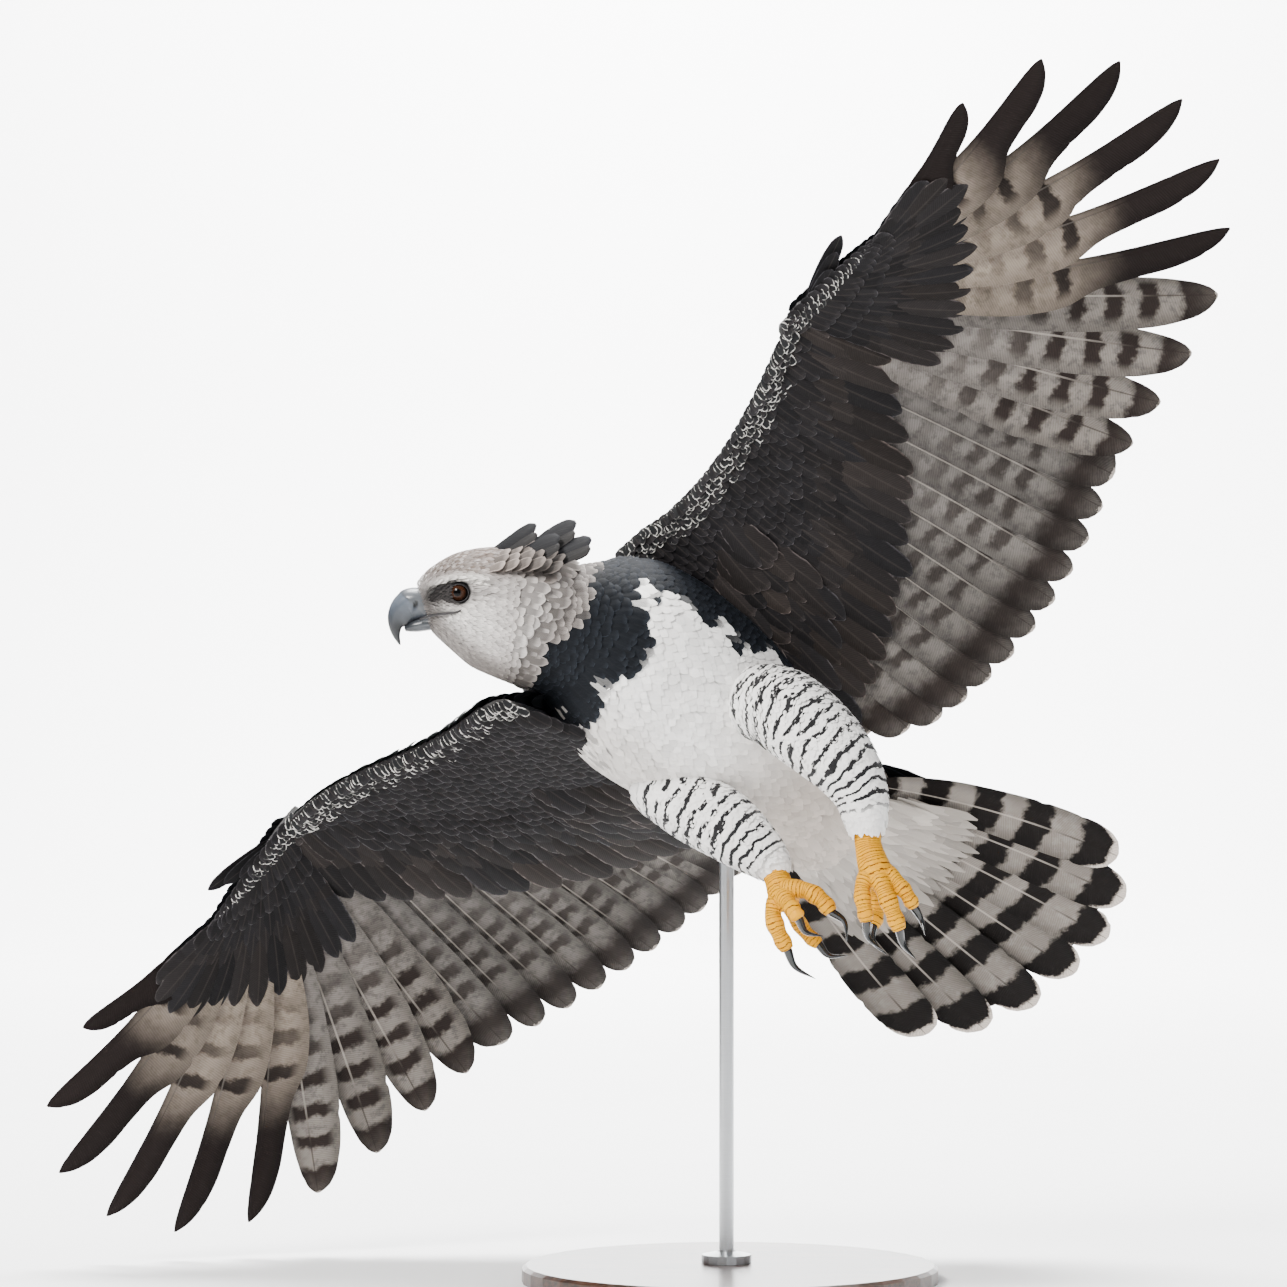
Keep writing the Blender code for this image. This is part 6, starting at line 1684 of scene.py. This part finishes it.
grid, a = bill_surface(BILL_LOWER, 36, 36, 0.0)
colour = blend_colours(step(grid[..., 0], 0.066, 0.086), paint("#44474b"), paint("#202327"))
ring_object("bill_lower_horn", [from_head(grid)], horn, ["bill_lower"], "horn", tint=[rgba(colour)])

# %% [markdown]
# The eye is a wet ball: black pupil, amber-brown iris with fine spokes, a dark rim. The angle from the
# line of sight is an attribute, so the shader draws every ring at its true size. Lids of bare dark skin
# hug it, and a heavy brow overhangs it.

# %% Eyes and lids
eye_material, add, shader = new_material("wet eye", 0.12, Coat_Weight=0.12, Coat_Roughness=0.02,
                                         Specular_IOR_Level=0.1)
gaze = add("Attribute", attribute_name="gaze", output="Vector")
angle_out, spoke, turned = add("SeparateXYZ", gaze, output="all")
spun = add("CombineXYZ", spoke, turned, add("Math MULTIPLY", angle_out, 0.02))
rays = add("MapRange SMOOTHSTEP", add("TexNoise", spun, 9.0, 4.0, 0.7), 0.35, 0.65)
iris = add("Mix RGBA", rays, "#1d0f09", "#482a1a")
inner = add("MapRange SMOOTHSTEP", angle_out, 36.0, 24.0, 0.0, 0.5)
iris = add("Mix RGBA", inner, iris, "#2a180d")
outer = add("MapRange SMOOTHSTEP", angle_out, 42.0, 52.0)
iris = add("Mix RGBA", outer, iris, "#1d0e08")
pupil = add("MapRange SMOOTHSTEP", angle_out, 21.5, 20.0)
colour = add("Mix RGBA", pupil, iris, "#020202")
white = add("MapRange SMOOTHSTEP", angle_out, 52.0, 54.0)
colour = add("Mix RGBA", white, colour, "#0b0908")
connect(shader, Base_Color=colour)

lid_material, add, shader = new_material("bare eyelid skin", 0.45, Specular_IOR_Level=0.3)
wrinkle = add("TexNoise", add("TexCoord", output="Object"), 700.0, 3.0, 0.7)
colour = add("Mix RGBA", wrinkle, "#121113", "#373435")
connect(shader, Base_Color=colour, Normal=add("Bump", 0.4, 0.0004, None, wrinkle))


def eye_piece(name, side):
    """Ball of rings about the line of sight: radius * (sin a * around, cos a along it)."""
    polar, around = np.radians(np.linspace(1.0, 172.0, 48)), 2 * np.pi * np.arange(64) / 64
    ahead = unit(np.array([0.12, side, 0.02]))
    first = unit(np.cross(ahead, [0.0, 0.0, 1.0]))
    second = np.cross(ahead, first)
    bulge = EYE_RADIUS * (1 + 0.05 * np.exp(-(polar / 0.6)**2))
    ring = np.cos(around)[:, None] * first + np.sin(around)[:, None] * second
    ball = (bulge * np.sin(polar))[:, None, None] * ring + (bulge * np.cos(polar))[:, None, None] * ahead
    gaze = np.stack(np.broadcast_arrays(np.degrees(polar)[:, None], np.cos(around)[None] * 2,
                                        np.sin(around)[None] * 2), axis=-1)
    centre = np.array([EYE_AT[0], side * EYE_SIDE, EYE_AT[1]])
    ring_object(name, [from_head(centre + ball)], eye_material, ["eye_left" if side > 0 else "eye_right"],
                "eye", gaze=[gaze])


def lid_rings(side, upper):
    """A tapered bow over the ball's front, from the outer corner of the eye to the inner one."""
    share = np.linspace(0.0, 1.0, 30)
    swing = np.radians(200.0 - 222.0 * share) if upper else np.radians(198.0 + 145.0 * share)
    reach = EYE_RADIUS * 0.9
    middle = np.stack([EYE_AT[0] + reach * np.cos(swing) * 1.06,
                       side * (EYE_SIDE + EYE_RADIUS * (0.56 + 0.05 * np.sin(np.pi * share))),
                       EYE_AT[1] + reach * np.sin(swing) * (0.93 if upper else 1.0)], axis=1)
    thick = (0.0022 if upper else 0.0017) * (0.5 + 0.5 * np.sin(np.pi * share))
    return tube(np.column_stack([from_head(middle), thick]), 30, 12, (0.0, -side, 0.0), 1.0, 0.75)


for name, side in (("eye_ball_left", 1), ("eye_ball_right", -1)):
    eye_piece(name, side)
ring_object("eyelids", [lid_rings(side, upper) for side in (1, -1) for upper in (True, False)], lid_material,
            ["head"], "grey_feather")


def gape_rings(side):
    """Soft dark edge of the mouth, from under the cere back below the eye, its end turned up."""
    line = np.array(((0.07, 0.0165, -0.0112), (0.059, 0.0265, -0.0074), (0.048, 0.034, -0.0052),
                     (0.036, 0.04, -0.004), (0.026, 0.044, -0.0028), (0.02, 0.0462, 0.0004)))
    q = line * np.array([1.0, side, 1.0])
    return tube(np.column_stack([from_head(q), [0.0016, 0.0017, 0.0016, 0.0015, 0.0013, 0.0006]]), 26, 8,
                (0.0, -side, 0.0))


ring_object("mouth_edges", [gape_rings(side) for side in (1, -1)], lid_material, ["head"], "grey_feather")

# %% [markdown]
# The feet are bare yellow skin: broad plates, the scutes, down the front of the leg and over the toes,
# pebbly skin between them. Lofted limbs are fused by a fine voxel remesh. Then every point is given its
# distance along the nearest limb's middle line, and a wave in that distance raises rings of plates.

# %% Feet
TARSI = {
    "left": ((0.1568, -0.1628, 0.555, 0.018), (0.159, -0.167, 0.53, 0.0165), (0.163, -0.173, 0.512, 0.019),
             (0.168, -0.179, 0.497, 0.02), (0.171, -0.182, 0.484, 0.013)),
    "right": ((0.0495, -0.0882, 0.502, 0.0175), (0.055, -0.095, 0.485, 0.0165),
              (0.059, -0.101, 0.474, 0.0185), (0.064, -0.107, 0.462, 0.019), (0.067, -0.111, 0.452, 0.012))}
TOES = {
    "left": (
        ((0.166, -0.16, 0.497), (0.172, -0.146, 0.474), (0.169, -0.146, 0.448), (0.165, -0.152, 0.434)),
        ((0.16, -0.18, 0.5), (0.151, -0.191, 0.48), (0.153, -0.196, 0.458), (0.156, -0.197, 0.441)),
        ((0.168, -0.184, 0.497), (0.177, -0.197, 0.476), (0.186, -0.201, 0.453), (0.194, -0.2, 0.432)),
        ((0.176, -0.18, 0.502), (0.192, -0.19, 0.487), (0.204, -0.193, 0.471), (0.211, -0.191, 0.458))),
    "right": (
        ((0.063, -0.11, 0.476), (0.088, -0.121, 0.474), (0.106, -0.129, 0.463), (0.117, -0.132, 0.449)),
        ((0.059, -0.111, 0.47), (0.068, -0.132, 0.458), (0.074, -0.141, 0.449), (0.079, -0.143, 0.442)),
        ((0.057, -0.104, 0.47), (0.049, -0.113, 0.446), (0.056, -0.117, 0.423), (0.066, -0.117, 0.404)),
        ((0.063, -0.098, 0.468), (0.074, -0.09, 0.444), (0.089, -0.087, 0.422), (0.104, -0.089, 0.409)))}
CLAW_TIPS = {
    "left": ((0.182, -0.166, 0.4), (0.175, -0.206, 0.408), (0.213, -0.207, 0.398), (0.224, -0.199, 0.425)),
    "right": ((0.135, -0.139, 0.414), (0.107, -0.154, 0.422), (0.099, -0.123, 0.37), (0.138, -0.092, 0.396))}
TOE_SHARE = np.array((1.0, 1.06, 0.88, 1.02, 0.84, 0.95, 0.7))
TOE_RADIUS = (0.0118, 0.0108, 0.0118, 0.0104)
CLAW_BOW, CLAW_RADIUS, CLAW_ROWS, CLAW_SIDES = 0.0085, 0.0064, 24, 16
SCUTE, SCUTE_HEIGHT = 0.0037, 0.0007


def toe_curve(points, radius):
    """Points of a toe's middle line with its radius, thick and thin in turn over the joints."""
    shares = np.linspace(0.0, 1.0, len(TOE_SHARE))
    return np.column_stack([bend(points, shares), radius * TOE_SHARE])


foot_skin, add, shader = new_material("yellow scaled skin", 0.45, Subsurface_Weight=0.05,
                                      Subsurface_Scale=0.002, Specular_IOR_Level=0.12)
place = add("TexCoord", output="Object")
lie = add("Attribute", attribute_name="lie", output="Vector")
along_limb, _, facing = add("SeparateXYZ", lie, output="all")
pebble = add("TexVoronoi DISTANCE_TO_EDGE", place, 420.0)
cracks = add("MapRange SMOOTHSTEP", pebble, 0.0, 0.2)
wander = add("Math MULTIPLY_ADD", add("TexNoise", place, 90.0, 2.0), 0.0035, along_limb)
phase = add("Math FRACT", add("Math DIVIDE", wander, SCUTE))
away = add("Math ABSOLUTE", add("Math SUBTRACT", phase, 0.5))
plate = add("MapRange SMOOTHSTEP", away, 0.49, 0.34)
raised = add("Mix", facing, cracks, plate)
colour = add("Mix RGBA", add("TexNoise", place, 60.0, 3.0), "#d78f00", "#e8a800")
# Painted shade: dark orange-brown in the creases between the raised plates and pebbles.
crease_painted_shade = add("MapRange SMOOTHSTEP", raised, 0.62, 0.1)
colour = add("Mix RGBA", crease_painted_shade, colour, "#6b3a04")
dirt = add("MapRange SMOOTHSTEP", add("TexNoise", place, 240.0, 4.0, 0.7), 0.6, 0.75)
colour = add("Mix RGBA", dirt, colour, "#b9760c")
connect(shader, Base_Color=colour, Normal=add("Bump", 0.9, 0.0011, None, raised))
claw_horn, add, shader = new_material("black claw horn", 0.18, Coat_Weight=0.4, Coat_Roughness=0.08)
tint, place = tint_and_place(add)
clouds = add("Math MULTIPLY_ADD", add("TexNoise", place, 300.0, 3.0), 0.6, 0.7)
colour = add("Mix RGBA MULTIPLY", 1.0, tint, clouds)
connect(shader, Base_Color=colour)


def claw_grid(toe, tip):
    """A claw: a curve from the toe's end through a bowed middle to the tip, radius R * (1 - 0.95 s^1.3)."""
    end, before, tip = np.asarray(toe[-1]), np.asarray(toe[-2]), np.asarray(tip)
    along = unit(end - before)
    start = end - along * 0.0015
    chord = tip - start
    middle = start + chord * 0.45 + unit(along - unit(chord) * (along @ unit(chord))) * CLAW_BOW
    shares = np.linspace(0.0, 1.0, CLAW_ROWS)
    curve = bend(np.array([start, middle, tip]), shares)
    return tube(np.column_stack([curve, CLAW_RADIUS * (1.0 - 0.95 * shares**1.3)]), CLAW_ROWS, CLAW_SIDES,
                flat=0.86)


for side in ("left", "right"):
    curves = [np.array(TARSI[side])] + [toe_curve(t, r) for t, r in zip(TOES[side], TOE_RADIUS)]
    grids = [tube(curve, 26, 20, flat=0.95) for curve in curves]
    mesh = remeshed(shell_mesh(grids), FOOT_VOXEL)
    points, normals = mesh_arrays(mesh)
    best, along_leg, radial = np.full(len(points), 9.0), np.zeros(len(points)), np.zeros((len(points), 3))
    for number, curve in enumerate(curves):
        line = bend(curve, np.linspace(0.0, 1.0, 80))
        far = np.concatenate([[0.0], np.cumsum(np.linalg.norm(np.diff(line[:, :3], axis=0), axis=1))])
        apart = np.linalg.norm(points[:, None] - line[None, :, :3], axis=2) - line[None, :, 3]
        pick = apart.argmin(axis=1)
        closer = apart.min(axis=1) < best
        best = np.where(closer, apart.min(axis=1), best)
        along_leg = np.where(closer, far[pick] + 0.1 * number, along_leg)
        radial = np.where(closer[:, None], points - line[pick, :3], radial)
    front = step(unit(radial) @ unit(np.array([-0.25, -0.85, 0.25])), -0.25, 0.35)
    wave = np.abs(np.sin(np.pi * along_leg / SCUTE))**0.6
    points += normals * (SCUTE_HEIGHT * front * (wave - 0.75))[:, None]
    lie = np.column_stack([along_leg, np.zeros_like(front), front])
    fused_piece("foot_skin_" + side, mesh, points, foot_skin, "scaled_skin", ["foot_" + side], lie=lie)
    grids = [claw_grid(toe, tip) for toe, tip in zip(TOES[side], CLAW_TIPS[side])]
    share = np.broadcast_to(np.linspace(0.0, 1.0, CLAW_ROWS)[:, None], (CLAW_ROWS, CLAW_SIDES))
    shade = [rgba(blend_colours(share, paint("#1a1b1b"), paint("#070809"))) for _ in grids]
    ring_object("claws_" + side, grids, claw_horn, ["claw_%s_%d" % (side, k) for k in (1, 2, 3, 4)], "claw",
                tint=shade)

# %% [markdown]
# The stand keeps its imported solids. The base is walnut stained dark and lacquered: long grain streaks made
# of noise stretched along the board. The rod is steel brushed round its length.

# %% Stand
walnut, add, shader = new_material("dark stained walnut", 0.38, Coat_Weight=0.3, Coat_Roughness=0.2)
place = add("TexCoord", output="Object")
stretched = add("Mapping", place, None, None, (4.0, 60.0, 60.0))
streak = add("MapRange SMOOTHSTEP", add("TexNoise", stretched, 2.2, 5.0, 0.65), 0.35, 0.65)
pores = add("TexNoise", stretched, 14.0, 3.0, 0.7)
colour = add("Mix RGBA", streak, "#2a1a12", "#4a2f20")
open_pores = add("MapRange SMOOTHSTEP", pores, 0.62, 0.72)
colour = add("Mix RGBA", open_pores, colour, "#1b110c")
connect(shader, Base_Color=colour, Normal=add("Bump", 0.2, 0.0004, None, pores))
steel, add, shader = new_material("brushed steel", 0.32, Metallic=1.0)
lines = add("Mapping", add("TexCoord", output="Object"), None, None, (1.0, 1.0, 60.0))
brushed = add("TexNoise", lines, 40.0, 3.0, 0.7)
colour = add("Mix RGBA", brushed, "#a9abad", "#c6c8ca")
connect(shader, Base_Color=colour)
rough = add("Math MULTIPLY_ADD", brushed, 0.2, 0.22)
connect(shader, Roughness=rough)
for name, material in (("stand_base", walnut), ("stand_rod", steel)):
    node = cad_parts[name]
    for index in range(len(node.data.materials)):
        node.data.materials[index] = material
print("stand finished")

# %% [markdown]
# The backdrop is one sheet that curves up behind the model, pale and matt, under large soft lights, so the
# whites of the belly keep their shading. It stands far enough off for a camera to pass behind the bird.
# The camera looks level, from the side that the bird banks towards.

# %% Floor, lights and camera
def sheet_piece(name, profile, half_width, material):
    """A sheet with this profile in depth and height, drawn out sideways."""
    profile = np.asarray(profile, float)
    left = np.column_stack([np.full(len(profile), -half_width), profile])
    right = left * np.array([-1.0, 1.0, 1.0])
    points = np.concatenate([left, right])
    n = len(profile)
    quads = np.stack([np.arange(n - 1), np.arange(n - 1) + n, np.arange(1, n) + n, np.arange(1, n)], axis=1)
    mesh = bpy.data.meshes.new(name)
    mesh.from_pydata(points.tolist(), [], quads.tolist())
    mesh.polygons.foreach_set("use_smooth", np.ones(len(quads), bool))
    thing = bpy.data.objects.new(name, mesh)
    mesh.materials.append(material)
    bpy.context.scene.collection.objects.link(thing)
    return thing


def soft_light(name, place, target, size, power, tint=(1.0, 1.0, 1.0)):
    """A square area light aimed from its place at the target."""
    light = bpy.data.lights.new(name, "AREA")
    light.size, light.energy, light.color = size, power, tint
    lamp = bpy.data.objects.new(name, light)
    away = unit(np.asarray(place, float) - np.asarray(target, float))
    lamp.location = place
    lamp.rotation_euler = (np.arccos(away[2]), 0.0, np.arctan2(away[0], -away[1]))
    bpy.context.scene.collection.objects.link(lamp)


paper, add, shader = new_material("matt studio paper", 0.95, Specular_IOR_Level=0.1)
clouds = add("TexNoise", add("TexCoord", output="Object"), 3.0, 2.0)
colour = add("Mix RGBA", clouds, "#f6f6f6", "#fafafa")
connect(shader, Base_Color=colour)
WALL_AT, WALL_HIGH, SWEEP, SHEET_HALF = 9.0, 7.0, 1.5, 9.0
BIRD_AT = (0.0, 0.0, 0.7)
turns = np.radians(np.linspace(0.0, 90.0, 13))
curve = np.column_stack([WALL_AT - SWEEP + SWEEP * np.sin(turns), SWEEP - SWEEP * np.cos(turns)])
sheet_piece("studio_sheet", np.vstack([[-SHEET_HALF, 0.0], curve, [WALL_AT, WALL_HIGH]]), SHEET_HALF, paper)
soft_light("key", (-3.0, -3.6, 4.4), BIRD_AT, 1.8, 640.0, (1.0, 0.985, 0.96))
soft_light("fill", (3.4, -4.2, 1.4), BIRD_AT, 3.2, 60.0, (0.96, 0.98, 1.0))
soft_light("top", (0.4, 0.8, 4.6), BIRD_AT, 3.0, 180.0)
soft_light("behind", (0.0, 1.5, 4.5), (0.0, 4.5, 1.2), 3.0, 1200.0)
soft_light("backdrop", (0.0, 6.0, 4.5), (0.0, WALL_AT, 1.2), 3.0, 1400.0)
world = bpy.data.worlds.new("studio")
world.use_nodes = True
world.node_tree.nodes["Background"].inputs["Color"].default_value = (0.93, 0.95, 1.0, 1.0)
world.node_tree.nodes["Background"].inputs["Strength"].default_value = 0.3
bpy.context.scene.world = world

CAMERA_AT, FRAME_WIDTH, SENSOR = (-0.1038, -6.5, 0.765), 1.5444, 36.0
lens = bpy.data.cameras.new("camera")
lens.sensor_width = SENSOR
lens.lens = SENSOR * -CAMERA_AT[1] / FRAME_WIDTH
camera = bpy.data.objects.new("camera", lens)
camera.location = CAMERA_AT
camera.rotation_euler = (np.pi / 2, 0.0, 0.0)
bpy.context.scene.collection.objects.link(camera)
bpy.context.scene.camera = camera
print("lens", round(lens.lens, 1), "mm")
